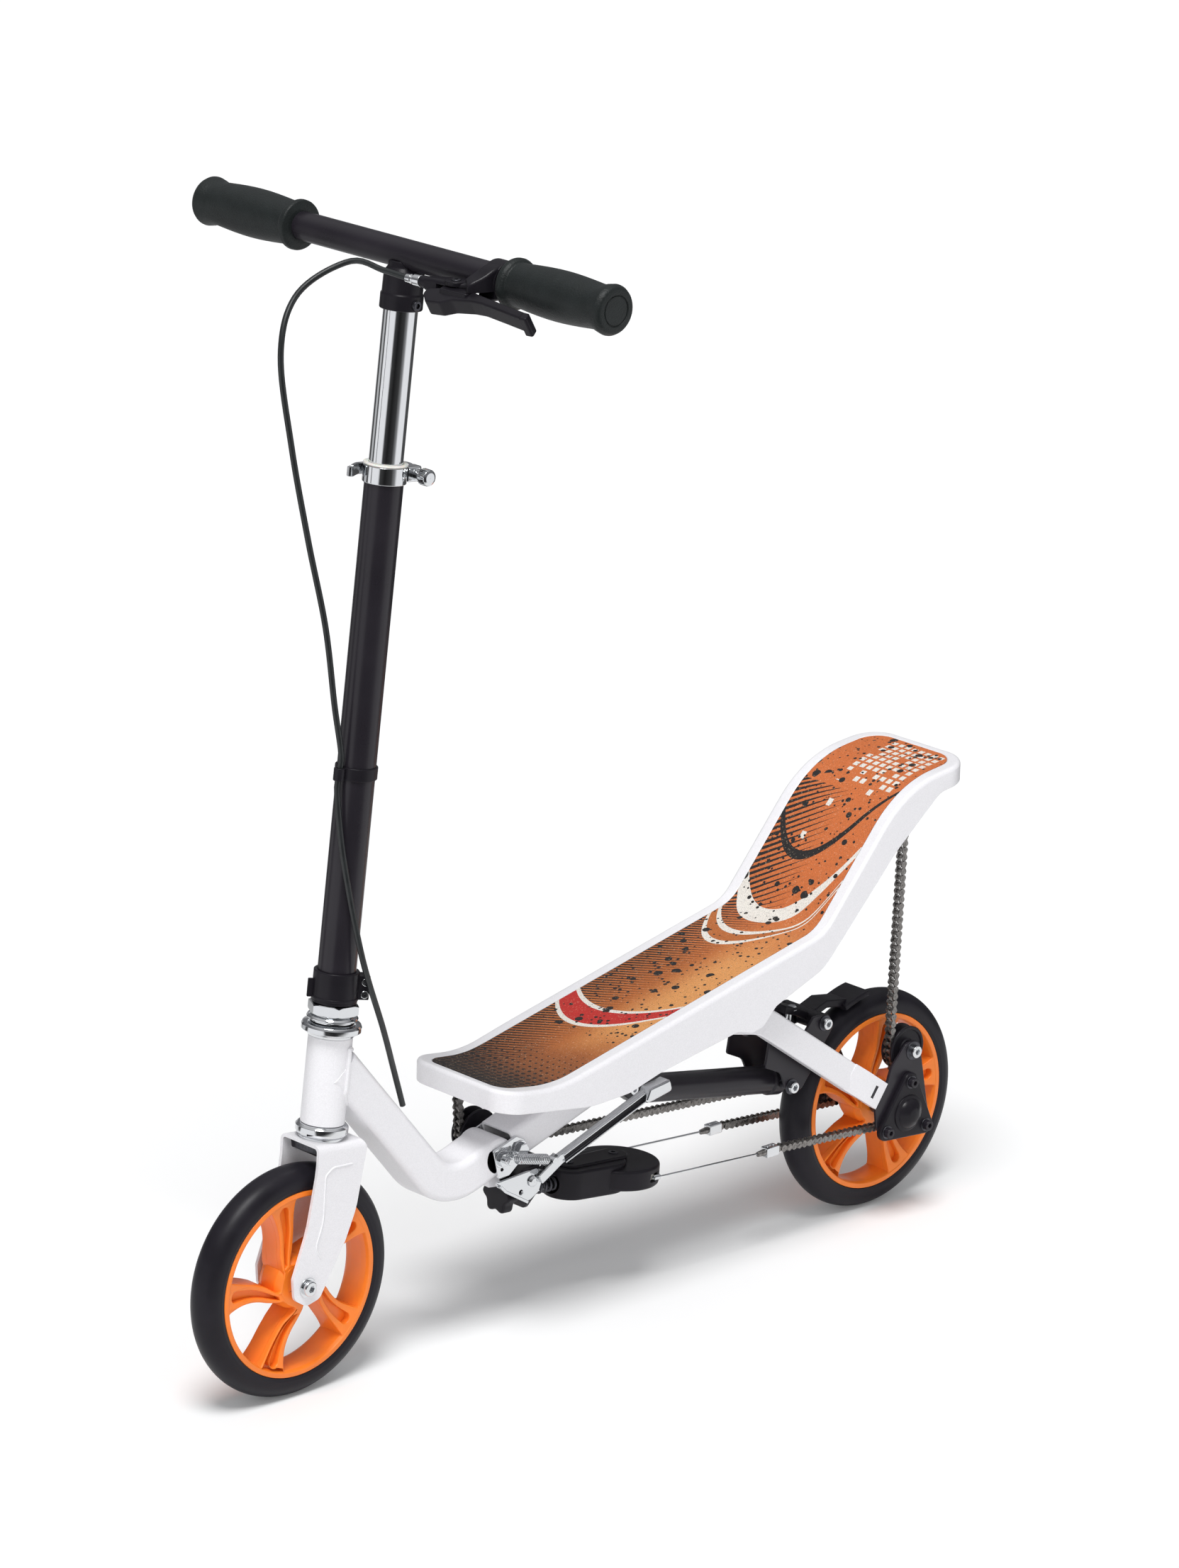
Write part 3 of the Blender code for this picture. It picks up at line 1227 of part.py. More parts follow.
def deck_shell():
    """Pressed shell: flat rim, shallow recess for the mat, skirts all round and ears for the pivot."""
    skirt = [
        (DECK_TAIL_X - 2, 400.5),
        (-353, 395.5, 20),
        (-298, 351.5, 60),
        (-215, 265, 40),
        (-157, 243, 10),
        (-143, 228, 6),
        (-130, 225, 10),
        (-112, 230, 8),
        (-22, 214.5, 10),
        (14, 204.5, 14),
        (58, 202.5, 60),
        (DECK_NOSE_X + 2, 216.5),
    ]
    top = rounded_line(deck_line())
    under = rounded([*skirt, (500, 300), (500, 900), (-900, 900), (-900, 400)], step=18)[: -4]
    shell = flat("deck_shell", [top + under], -90, 90, "white paint")
    keep(shell, flat("deck plan", [deck_plan()], 100, 500, frame=WORLD))
    edge(shell, DECK_EDGE_R, 1, 60)
    ceiling = rounded_line(deck_line(-DECK_TOP_WALL))
    deep = [(DECK_TAIL_X - 40, 100), (DECK_NOSE_X + 40, 100)]
    inside = flat("deck inside", [ceiling + deep], -80, 80)
    keep(inside, flat("inside plan", [deck_plan(DECK_WALL, 19.5, 25.5)], 50, 500, frame=WORLD))
    cut(shell, inside)
    recess_line = rounded_line(deck_line(-MAT_T - GAP))
    recess_top = [(DECK_TAIL_X - 2, 700), (DECK_NOSE_X + 2, 700)]
    recess = flat("mat recess", [recess_line + recess_top], -80, 80)
    keep(recess, flat("recess plan", [mat_plan(-GAP)], 100, 800, frame=WORLD))
    cut(shell, recess)
    x, z = PIVOT
    ear = rounded([(x - 15, 290), (x - 14, z - 9, 8), (x, z - 14, 8), (x + 14, z - 9, 8), (x + 22, 262)])
    for low, high in (EAR, (-EAR[1], -EAR[0])):
        join(shell, flat("ear", [clipped_ear(ear)], low, high))
    for side, (ax, az), wide in ((-1, NOSE_ANCHOR, 7), (1, TAIL_ANCHOR, 8)):
        corner = (ax - wide, side * CHAIN_Y - 5, az + GAP)
        lug = block("chain lug", corner, (ax + wide, side * CHAIN_Y + 5, az + 200))
        keep(lug, flat("lug top", [rounded_line(deck_line(-2)) + deep], -80, 80))
        join(shell, lug)
    return cut(shell, rod("ear hole", around(BOLT_R), -56, 56, frame=along_y(x, z)))


def clipped_ear(ear):
    """The ear's outline with its upper edge held inside the deck's top wall."""
    slope = (296.7 - 227.5) / (-214 - 96)
    return [(x, min(z, 227.5 - DECK_TOP_WALL / 2 + slope * (x - 96))) for x, z in ear]


def mat_plan(inset=0.0):
    front, back, half = 147 - inset, -385 + inset, MAT_HALF_W - inset
    right = [(front, -46.5 + inset, 14), (80, -half, 150), (-300, -half, 200), (back, 1.5 - half, 20)]
    return rounded([*right, *[(x, -y, r) for x, y, r in right[::-1]]], step=30)


def deck_mat():
    """Grip mat that follows the deck's curve in its recess."""
    line = rounded_line(deck_line())
    low = [(x, z - MAT_T) for x, z in line[::-1]]
    mat = flat("deck_mat", [line + low], -80, 80, "grit mat")
    return keep(mat, flat("mat plan", [mat_plan()], 100, 500, frame=WORLD))


def deck_pivot_bolt():
    outer = EAR[1] + GAP
    head = [(6, outer + 3), (7, outer + 2), (7, outer), (BOLT_R, outer)]
    profile = [(0, outer + 3), *head, *[(r, -h) for r, h in head[::-1]], (0, -outer - 3)]
    return turned("deck_pivot_bolt", profile, "dark steel", along_y(*PIVOT))


# Chain drive


def sprocket(name, side):
    """Toothed disc on the long body of its freewheel."""
    pitch_r = CHAIN_PITCH / (2 * math.sin(math.pi / SPROCKET_TEETH))
    frame = along_y(REAR_AXLE_X, WHEEL_R, side < 0)
    inside = pitch_r - CHAIN_H / 2 - 2 * GAP
    low, high = HUB_W / 2 + 2 * GAP, HUB_PLATE[0] - GAP
    made = rod(name, inside, low, high, "dark steel", frame)
    teeth = []
    for k in range(SPROCKET_TEETH):
        middle = 2 * math.pi * k / SPROCKET_TEETH
        step = 2 * math.pi / SPROCKET_TEETH
        for share, r in ((-0.5, inside + 0.4), (-0.15, pitch_r - GAP), (0.15, pitch_r - GAP)):
            teeth.append(polar(r, middle + share * step))
    disc = flat("teeth", [teeth], CHAIN_Y - SPROCKET_T / 2, CHAIN_Y + SPROCKET_T / 2, frame=frame)
    join(made, disc)
    cut(made, rod("sprocket bore", around(AXLE_R + 1), 0, 60, frame=frame))
    body(f"{name} axis", along_y(REAR_AXLE_X, WHEEL_R), (made,))
    return made


def pulley(name, centre, side):
    """Flanged chain pulley on a bolt."""
    drum = PULLEY_PITCH_R - CHAIN_H / 2 - GAP
    bore = around(BOLT_R)
    profile = [
        (PULLEY_FLANGE_R, PULLEY_OUT),
        (PULLEY_FLANGE_R, PULLEY_OUT - PULLEY_FLANGE_T),
        (drum, PULLEY_OUT - PULLEY_FLANGE_T),
        (drum, PULLEY_IN + PULLEY_FLANGE_T),
        (PULLEY_FLANGE_R, PULLEY_IN + PULLEY_FLANGE_T),
        (PULLEY_FLANGE_R, PULLEY_IN),
        (bore, PULLEY_IN),
        (bore, PULLEY_OUT),
    ]
    made = turned(name, profile, "black plastic", along_y(*centre, side < 0), ring=True)
    body(f"{name} axis", along_y(*centre), (made,))


def connector(name, side):
    """Block that joins chain and wire."""
    x, z = CONNECTOR
    y = side * CHAIN_Y
    half = CONNECTOR_L / 2
    made = block(name, (x - half, y - 4.5, z - 4.5), (x + half, y + 4.5, z + 4.5), "dark steel", bevel=1)
    body(f"{name} axis", shift(x, y, z), (made,))


def chains():
    """Left chain from the tail over the idler and under its sprocket; right chain from the nose."""
    pitch_r = CHAIN_PITCH / (2 * math.sin(math.pi / SPROCKET_TEETH))
    hub = ((REAR_AXLE_X, WHEEL_R), pitch_r, 1)
    end = (CONNECTOR[0] - CONNECTOR_L / 2 - GAP, CONNECTOR[1])
    left = wound(TAIL_ANCHOR, [(IDLER, PULLEY_PITCH_R, -1), hub], end)
    right = wound(NOSE_ANCHOR, [(PULLEY_BOLT, PULLEY_PITCH_R, -1), hub], end)
    for side, word, path in ((1, "left", left), (-1, "right", right)):
        split = length_to(path, (REAR_AXLE_X + 1, WHEEL_R - pitch_r))
        upper = chain(f"{word}_chain", path, side, 0, split - GAP / 2)
        lower = chain(f"{word}_chain_lower", path, side, split + GAP / 2, None)
        for run in (upper, lower):
            room = rod("tooth room", pitch_r, CHAIN_Y - 1.7, CHAIN_Y + 1.7, frame=along_y(*hub[0], side < 0))
            cut(run, room)
        tube_from = Vector((CONNECTOR[0] + CONNECTOR_L / 2 + GAP, side * CHAIN_Y, CONNECTOR[1]))
        tube_to = TENSION @ Vector((-9 * MM, side * CHAIN_Y * MM, 0)) / MM
        tube(f"{word}_wire", [tuple(tube_from), tuple(tube_to)], WIRE_R, "dark steel", 2)


# Cable tensioner


def tensioner_housing():
    """Round housing with a thick front end, a raised bridge, side windows, a pulley chamber and its post."""
    half = HOUSING_H / 2
    housing = flat("tensioner_housing", [circle(0, 0, HOUSING_R, 24)], -half, half, "black plastic", TENSION)
    edge(housing, 2)
    lobe = hull_of_circles((22, 0, LOBE_R + 3), (LOBE_X, 0, LOBE_R))
    front = flat("lobe", [lobe], -LOBE_H / 2, LOBE_H / 2, frame=TENSION)
    shape = hull_of_circles((5, 0, BRIDGE_R), (LOBE_X, 0, BRIDGE_R - 1))
    bridge = flat("bridge", [shape], 0, LOBE_H / 2 + 2, frame=TENSION)
    edge(bridge, 1.2)
    join(housing, front, bridge)
    chamber = [(CHAMBER_R, 4.5), (CHAMBER_R, -4.5), (4, -4.5), (4, 4.5)]
    cut(housing, turned("chamber", chamber, frame=TENSION, ring=True))
    for side in (-1, 1):
        low, high = sorted((side * 30.0, side * 42.0))
        cut(housing, block("window", (-34, low, -4), (-6, high, 4), frame=TENSION))
    seat_r, seat_end = SPRING_R + SPRING_WIRE_R + 1, LOBE_X + LOBE_R + 5
    seat = rod("spring seat", seat_r, SPRING_FROM - GAP, seat_end, frame=ALONG_ROD)
    cut(housing, seat)
    for x in (5, LOBE_X):
        cut(housing, rod("screw recess", 4.5, LOBE_H / 2, LOBE_H / 2 + 6, frame=TENSION @ shift(x)))
    return housing


def tensioner_parts():
    housing = tensioner_housing()
    body("tensioner axis", ALONG_ROD, (housing,))
    rim = CHAIN_Y - WIRE_R - 0.5
    bore = around(4)
    section = [(rim, 3.6), (rim - 1.6, 0), (rim, -3.6), (bore, -3.6), (bore, 3.6)]
    wheel_inside = turned("cable_pulley", section, "white plastic", TENSION, ring=True)
    body("cable pulley axis", TENSION, (wheel_inside,))
    lobes = []
    for k in range(36):
        a = 2 * math.pi * k / 36
        lobes.append(polar(KNOB_R - 1.8 + 1.8 * math.cos(KNOB_LOBES * a), a))
    knob = flat("tension_knob", [lobes], *KNOB, "black plastic", ALONG_ROD)
    edge(knob, 1.5)
    hub = WEB[1] + GAP
    tip = LOBE_X + LOBE_R + SLIDE_ROOM
    profile = [(0, KNOB[0] + 1), (7, KNOB[0] + 1), (7, hub), (ROD_R, hub), (ROD_R, tip), (0, tip)]
    join(knob, turned("tension rod", profile, frame=ALONG_ROD))
    body("tension knob axis", ALONG_ROD, (knob,))
    length = WEB[0] - GAP - SPRING_FROM
    middle = SPRING_R - SPRING_WIRE_R
    start = ALONG_ROD @ shift(z=SPRING_FROM)
    coil("tension_spring", middle, SPRING_WIRE_R, 8, length, 2 * SPRING_WIRE_R, start, "dark steel")


def fold_spring():
    """Extension spring between the hinge bolt's stud and the post on the fold lever."""
    radius = FOLD_SPRING_R - FOLD_SPRING_WIRE_R
    begin = (FOLD_HINGE[0] - STUD_R - GAP, FOLD_SPRING_Y, FOLD_HINGE[1] + 2)
    over = (LEVER_POST[0] + STUD_R + GAP, FOLD_SPRING_Y, LEVER_POST[1] + 1.5)
    length = (Vector(over) - Vector(begin)).length
    line = aimed(begin, over)
    coil("fold_spring", radius, FOLD_SPRING_WIRE_R, FOLD_SPRING_CURLS, length, 4, line, "chrome")


def brake_cable():
    """Cable housing from the lever's barrel down the stem, through the clip, into the front beam."""
    x, y = LEVER_PIVOT
    clip_top = on_column(STRAP[1] - 4, *CLIP_OFFSET[:2])
    clip_low = on_column(STRAP[0] + 4, *CLIP_OFFSET[:2])
    upper = [
        (x + 5.4, y - 56.5, LEVER_Z),
        (x + 8, y - 76, LEVER_Z + 2),
        (x + 18, -20, LEVER_Z + 5),
        (x + 56, -38, LEVER_Z - 19),
        (x + 80, -30, LEVER_Z - 62),
        (322, -25, 798),
        (312, -15, 721),
        (300.5, -6, 649.5),
        (295, 0, 584),
        on_column(STRAP[1] + 12, *CLIP_OFFSET[:2]),
        clip_top,
    ]
    lower = [
        clip_low,
        on_column(STRAP[0] - 12, *CLIP_OFFSET[:2]),
        (294.5, 13.5, 455),
        (285, 26, 376),
        (261, 26, 309),
        (239, 15, 266),
        (225, 12, 229),
    ]
    tube("brake_cable_upper", smooth_route(upper, 15), CABLE_R, "black plastic", 2)
    tube("brake_cable_lower", smooth_route(lower, 15), CABLE_R, "black plastic", 2)


def main():
    for obj in list(bpy.data.objects):
        bpy.data.objects.remove(obj, do_unlink=True)
    collection("pedal scooter")
    collection("cutters", helpers=True)
    wheel("front", FRONT_AXLE_X, FRONT_SPOKE_TURN)
    wheel("rear", REAR_AXLE_X, REAR_SPOKE_TURN)
    body("steering axis", STEER, column_parts())
    lever_axis = STEER @ shift(*LEVER_BARREL)
    body("quick release axis", lever_axis, [quick_release_lever()])
    body("bar height axis", STEER, bar_parts())
    body("brake lever axis", shift(*LEVER_PIVOT, LEVER_Z), [brake_lever()])
    body("fold axis", along_y(*FOLD_HINGE), [front_beam(), *cups()])
    rear_beam()
    fold_bracket()
    hinge_bolt()
    latch_base()
    under_tube()
    brake_bracket()
    for side, word in ((1, "left"), (-1, "right")):
        stay(f"stay_{word}", side)
        hub_plate(f"hub_plate_{word}", side)
        sprocket(f"sprocket_{word}", side)
        connector(f"connector_{word}", side)
    rear_axle()
    idler_bolt()
    body("fold lever axis", along_y(*RIVET), [fold_lever()])
    body("brake arm axis", along_y(*BRAKE_PIVOT), [brake_arm()])
    body("deck axis", along_y(*PIVOT), [deck_shell(), deck_mat(), deck_pivot_bolt()])
    pulley("idler_pulley", IDLER, 1)
    pulley("front_pulley", PULLEY_BOLT, -1)
    chains()
    tensioner_parts()
    fold_spring()
    brake_cable()


main()
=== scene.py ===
"""Dresses the kids pedal scooter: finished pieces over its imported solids, their materials, floor and light.

Drawings are in millimetres and degrees, in the frame of the solids: X forward, Y to the rider's left, Z up.
"""

import math

import bmesh
import bpy
from bpy.props import FloatProperty, FloatVectorProperty, PointerProperty
from bpy.types import Operator, Panel, PropertyGroup
from mathutils import Matrix, Vector


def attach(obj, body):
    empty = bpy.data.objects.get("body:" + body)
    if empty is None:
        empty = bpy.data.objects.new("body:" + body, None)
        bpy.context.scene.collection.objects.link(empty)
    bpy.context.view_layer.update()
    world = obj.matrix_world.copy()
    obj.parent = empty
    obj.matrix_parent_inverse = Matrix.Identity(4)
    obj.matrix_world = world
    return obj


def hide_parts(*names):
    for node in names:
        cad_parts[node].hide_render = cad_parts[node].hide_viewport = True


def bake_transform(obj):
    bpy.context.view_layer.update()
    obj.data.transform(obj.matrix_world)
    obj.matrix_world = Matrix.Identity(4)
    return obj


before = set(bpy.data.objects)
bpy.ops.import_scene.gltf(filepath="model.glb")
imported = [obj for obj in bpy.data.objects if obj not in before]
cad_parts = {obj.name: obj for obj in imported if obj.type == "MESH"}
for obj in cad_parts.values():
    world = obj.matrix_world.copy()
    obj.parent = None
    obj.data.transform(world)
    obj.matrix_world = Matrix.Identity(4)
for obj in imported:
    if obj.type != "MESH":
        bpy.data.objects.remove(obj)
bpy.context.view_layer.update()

bl_info = {
    "name": "Kids pedal scooter",
    "version": (1, 0, 0),
    "blender": (4, 5, 0),
    "location": "3D View > Sidebar > Scooter",
    "description": "Builds the finished pieces of a child's scooter with a rocking deck and chain drive",
    "category": "Add Mesh",
}

MM = 0.001
WORLD = Matrix.Identity(4)
# The side view: drawn in X and Z, with its third direction across the scooter
SIDE = Matrix(((1, 0, 0, 0), (0, 0, 1, 0), (0, 1, 0, 0), (0, 0, 0, 1)))

# Sizes and places that several pieces share; a pair is X and Z in the side view
WHEEL_R = 100.0
FRONT_AXLE_X = 337.5
REAR_AXLE_X = -337.5
BEAM_HALF_W = 19.0
FOLD_HINGE = (121.0, 159.2)
BEND_CORNER = (178.2, 140.7)
PULLEY_BOLT = (100.5, 163.0)
RIVET = (88.6, 132.3)
IDLER = (-346.0, 155.0)
CHAIN_Y = 35.5
CHAIN_PITCH = 6.35
TEETH = 14
PITCH_R = CHAIN_PITCH / (2 * math.sin(math.pi / TEETH))
PULLEY_R = 17.0
CONNECTOR = (-184.5, 96.4)
NOSE_ANCHOR = (121.5, 226.0)
TAIL_ANCHOR = (-337.0, 372.0)
BRAKE_PIVOT = (-257.5, 194.4)
BRACKET_BOLT = (-218.5, 144.6)
BAR_HEIGHT = 850.7
BAR_HALF = 239.0

# The brake lever's pivot in X and Y, and its height
LEVER_PIVOT = (250.0, 86.0)
LEVER_Z = 937.0

# The cable clip's place forward and left of the stem's axis, and the front and back ends of deck and mat
CLIP_PLACE = (21, 3)
DECK_ENDS = (156, -394)
MAT_ENDS = (147, -385)

# Spans: a cheek of the brake bracket, the strap up the stem, and the spring along the tensioner's rod
CHEEK = (22.3, 25.0)
STRAP = (421.5, 432)
SPRING = (63, 111.7)


# Frames


def shift(x=0.0, y=0.0, z=0.0):
    """A move by distances in millimetres."""
    return Matrix.Translation((x * MM, y * MM, z * MM))


def turn(angle, axis):
    """A turn by degrees about an axis."""
    return Matrix.Rotation(math.radians(angle), 4, axis)


def along_y(x, z, mirrored=False):
    """A frame whose third direction is +Y, or -Y when mirrored, through a point of the side view."""
    return shift(x, 0, z) @ turn(90 if mirrored else -90, "X")


def aimed(start, end):
    """A frame that starts at one point and whose third direction runs to another."""
    facing = (Vector(end) - Vector(start)).to_track_quat("Z", "Y")
    return Matrix.Translation(Vector(start) * MM) @ facing.to_matrix().to_4x4()


STEER = shift(316.4, 0, WHEEL_R) @ turn(-6.12, "Y")
THIRD_TO_FIRST = Matrix(((0, 0, 1, 0), (1, 0, 0, 0), (0, 1, 0, 0), (0, 0, 0, 1)))
ACROSS = STEER @ THIRD_TO_FIRST
TENSION = shift(-33, 0, 106.5) @ turn(-4.4, "Y")
ALONG_ROD = TENSION @ THIRD_TO_FIRST
BEAM_ANGLE = math.atan2(FOLD_HINGE[1] - BEND_CORNER[1], BEND_CORNER[0] - FOLD_HINGE[0])


def outer_faces(x, z, distance):
    """Frames that face out to the left and to the right, at a distance from the middle plane."""
    return [along_y(x, z, mirrored) @ shift(z=distance) for mirrored in (False, True)]


def point_in(placed, x, y, z):
    """Point, in the frame of the solids, of one given in a frame of its own."""
    return tuple(placed @ Vector((x * MM, y * MM, z * MM)) / MM)


def on_column(height, forward=0.0, left=0.0):
    """Point at a height up the steering column and an offset from its axis."""
    return point_in(STEER, forward, left, height)


def on_rear_beam(distance, above=0.0):
    """Side-view point behind the fold hinge along the rear beam, and above its centre line."""
    x = FOLD_HINGE[0] - distance * math.cos(BEAM_ANGLE) + above * math.sin(BEAM_ANGLE)
    z = FOLD_HINGE[1] + distance * math.sin(BEAM_ANGLE) + above * math.cos(BEAM_ANGLE)
    return x, z


PIVOT_REACH = 246
PIVOT = on_rear_beam(PIVOT_REACH)


# Outlines and routes


def polar(r, a):
    """Point at a radius and an angle in radians."""
    return (r * math.cos(a), r * math.sin(a))


def circle(x, z, radius, count=48):
    """Outline of a circle about a point."""
    angles = (2 * math.pi * k / count for k in range(count))
    return [(x + radius * math.cos(a), z + radius * math.sin(a)) for a in angles]


def both_ways(near, far):
    """A span on the left of the middle plane, and its mirror image on the right."""
    return (near, far), (-far, -near)


def rounded(corners, radius=0.0, step=9.0):
    """Closed outline with its corners rounded; a corner may carry its own radius as a third value."""
    points = []
    for i, corner in enumerate(corners):
        here = Vector(corner[:2])
        before = Vector(corners[i - 1][:2]) - here
        after = Vector(corners[(i + 1) % len(corners)][:2]) - here
        wanted = corner[2] if len(corner) > 2 else radius
        between = before.angle(after) if before.length and after.length else math.pi
        if wanted <= 0 or between > math.radians(179):
            points.append(tuple(here))
            continue
        reach = min(wanted / math.tan(between / 2), 0.49 * before.length, 0.49 * after.length)
        r = reach * math.tan(between / 2)
        centre = here + (before.normalized() + after.normalized()).normalized() * r / math.sin(between / 2)
        first = here + before.normalized() * reach - centre
        swing = first.angle_signed(here + after.normalized() * reach - centre)
        steps = max(1, round(abs(math.degrees(swing)) / step))
        for k in range(steps + 1):
            spoke = first.copy()
            spoke.rotate(Matrix.Rotation(-swing * k / steps, 2))
            points.append(tuple(centre + spoke))
    return points


def band(path, width):
    """Outline of a strip of the given width along an open path, with mitred corners."""
    left, right = [], []
    for i, point in enumerate(path):
        here = Vector(point[:2])
        ahead = (Vector(path[i + 1][:2]) - here).normalized() if i + 1 < len(path) else None
        behind = (here - Vector(path[i - 1][:2])).normalized() if i else None
        along = ((ahead or behind) + (behind or ahead)).normalized()
        normal = Vector((-along.y, along.x))
        stretch = 1 / max(0.3, along.dot(ahead or behind))
        inner = point[2] if len(point) > 2 else 0
        bend = behind.cross(ahead) if ahead and behind else 0
        for side, sign in ((left, 1), (right, -1)):
            edge = here + normal * sign * stretch * width / 2
            r = max(0, inner - sign * math.copysign(width / 2, bend)) if inner else 0
            side.append((edge.x, edge.y, r))
    return left + right[::-1]


def hull_of_circles(first, second):
    """Outline pulled tight round two circles, each given as centre and radius; the first is the larger."""
    count = 24
    (x1, y1, r1), (x2, y2, r2) = first, second
    facing = math.atan2(y2 - y1, x2 - x1)
    lean = math.acos((r1 - r2) / math.hypot(x2 - x1, y2 - y1))
    points = []
    for k in range(count + 1):
        a = facing - lean + 2 * lean * k / count
        points.append((x2 + r2 * math.cos(a), y2 + r2 * math.sin(a)))
    for k in range(count + 1):
        a = facing + lean + 2 * (math.pi - lean) * k / count
        points.append((x1 + r1 * math.cos(a), y1 + r1 * math.sin(a)))
    return points


def between(x, table):
    """Value at x of a polyline given as points whose first value falls."""
    for (x1, v1), (x2, v2) in zip(table, table[1:]):
        if x >= x2:
            return v1 + (v2 - v1) * (x1 - x) / (x1 - x2)
    return table[-1][1]


def wound(start, circles, end):
    """Side-view path pulled tight round circles, each given as centre, radius and turn (1 left, -1 right)."""
    stops = [(start, 0.0, 1), *circles, (end, 0.0, 1)]
    lines = []
    for (c1, r1, d1), (c2, r2, d2) in zip(stops, stops[1:]):
        across = Vector(c2) - Vector(c1)
        heading = math.atan2(across.y, across.x) - math.asin((d2 * r2 - d1 * r1) / across.length)
        normal = Vector((-math.sin(heading), math.cos(heading)))
        lines.append((Vector(c1) - normal * d1 * r1, Vector(c2) - normal * d2 * r2))
    path = [lines[0][0], lines[0][1]]
    for (centre, radius, way), (_, arrive), (leave, arrive_next) in zip(circles, lines, lines[1:]):
        a0 = math.atan2(*(arrive - Vector(centre)).yx)
        a1 = math.atan2(*(leave - Vector(centre)).yx)
        sweep = (a1 - a0) * way % (2 * math.pi)
        steps = max(2, round(radius * sweep))
        for k in range(1, steps + 1):
            path.append(Vector(centre) + radius * Vector(polar(1, a0 + way * sweep * k / steps)))
        path.append(arrive_next)
    return path


def walk(path, spacing):
    """Points at equal spacing along a polyline, with the direction there."""
    lengths = [0.0]
    for a, b in zip(path, path[1:]):
        lengths.append(lengths[-1] + (b - a).length)
    count = max(1, round(lengths[-1] / spacing))
    found, segment = [], 0
    for k in range(count + 1):
        s = lengths[-1] * k / count
        while segment < len(path) - 2 and lengths[segment + 1] < s:
            segment += 1
        along = (path[segment + 1] - path[segment]).normalized()
        found.append((path[segment] + along * (s - lengths[segment]), along))
    return found


def eased(rows, parts):
    """Rows of values with more rows between them, on a smooth curve through the given ones."""
    before = [2 * a - b for a, b in zip(rows[0], rows[1])]
    after = [2 * a - b for a, b in zip(rows[-1], rows[-2])]
    ends = [before, *rows, after]
    found = []
    for group in zip(ends, ends[1:], ends[2:], ends[3:]):
        for t in (k / parts for k in range(parts)):
            found.append([
                b + ((c - a) * t + (2 * a - 5 * b + 4 * c - d) * t**2 + (3 * b - a - 3 * c + d) * t**3) / 2
                for a, b, c, d in zip(*group)
            ])
    return [*found, rows[-1]]


def smooth_route(points):
    """Points about 5 mm apart along a smooth curve through the given ones."""
    return [point for point, _ in walk([Vector(p) for p in eased(points, 12)], 5)]


# Shapes: each returns a mesh, later merged into a piece


def closed(shape, placed=WORLD):
    """Turns a bmesh into a placed mesh whose faces point outwards."""
    bmesh.ops.transform(shape, matrix=placed, verts=shape.verts)
    bmesh.ops.remove_doubles(shape, verts=shape.verts, dist=0.0005 * MM)
    bmesh.ops.recalc_face_normals(shape, faces=shape.faces)
    mesh = bpy.data.meshes.new("shape")
    shape.to_mesh(mesh)
    shape.free()
    return mesh


def skin(rows, ring=False):
    """Bmesh over rows of points in millimetres, each a closed loop; the end loops are filled, or joined."""
    shape = bmesh.new()
    rings = []
    for row in rows:
        if len(row) == 1:
            rings.append([shape.verts.new([c * MM for c in row[0]])] * len(rows[len(rows) // 2]))
        else:
            rings.append([shape.verts.new([c * MM for c in p]) for p in row])
    pairs = list(zip(rings, rings[1:]))
    if ring:
        pairs.append((rings[-1], rings[0]))
    for a, b in pairs:
        for k in range(len(a)):
            n = (k + 1) % len(a)
            corners = list(dict.fromkeys((a[k], a[n], b[n], b[k])))
            if len(corners) > 2:
                shape.faces.new(corners)
    for end in (rings[0], rings[-1]):
        if not ring and len(set(end)) > 2:
            shape.faces.new(end)
    return shape


# Sides of a turned shape, by the widest radius they serve
TURNED_SIDES = ((24, 6), (40, 15), (72, 40), (160, 999))


def turned(profile, placed=WORLD, soft=0.4, ring=False, steps=None, wave=None):
    """A turned shape from radii and heights; wave may change a radius by the angle and height."""
    widest = max(p[0] for p in profile)
    steps = steps or next(sides for sides, most in TURNED_SIDES if widest <= most)
    rows = []
    for r, h in rounded(profile, soft, 30):
        if r < 0.001:
            rows.append([(0, 0, h)])
            continue
        angles = [2 * math.pi * k / steps for k in range(steps)]
        rows.append([(*polar(r + (wave(a, h, r) if wave else 0), a), h) for a in angles])
    return closed(skin(rows, ring), placed)


def rod(radius, low, high, placed=WORLD, soft=0.4):
    """Round bar or disc between two heights."""
    return turned([(0, high), (radius, high), (radius, low), (0, low)], placed, soft)


def sleeve(outer, inner, low, high, placed=WORLD, soft=0.4):
    """Tube or ring between two heights."""
    return turned([(outer, high), (outer, low), (inner, low), (inner, high)], placed, soft, ring=True)


def swept(points, section, up=(0, 1, 0)):
    """A section, given as offsets along the side and the other direction, carried along a route."""
    places = [Vector(p) for p in points]
    side = Vector(up)
    rows = []
    for i, place in enumerate(places):
        along = (places[min(i + 1, len(places) - 1)] - places[max(i - 1, 0)]).normalized()
        side = (side - along * side.dot(along)).normalized()
        other = along.cross(side)
        rows.append([place + side * u + other * v for u, v in section])
    return closed(skin(rows))


def tube(points, radius, sides=14):
    """Round tube along a route."""
    start = Vector(points[1]) - Vector(points[0])
    up = (0, 1, 0) if abs(start.normalized().y) < 0.9 else (1, 0, 0)
    return swept(points, circle(0, 0, radius, sides), up)


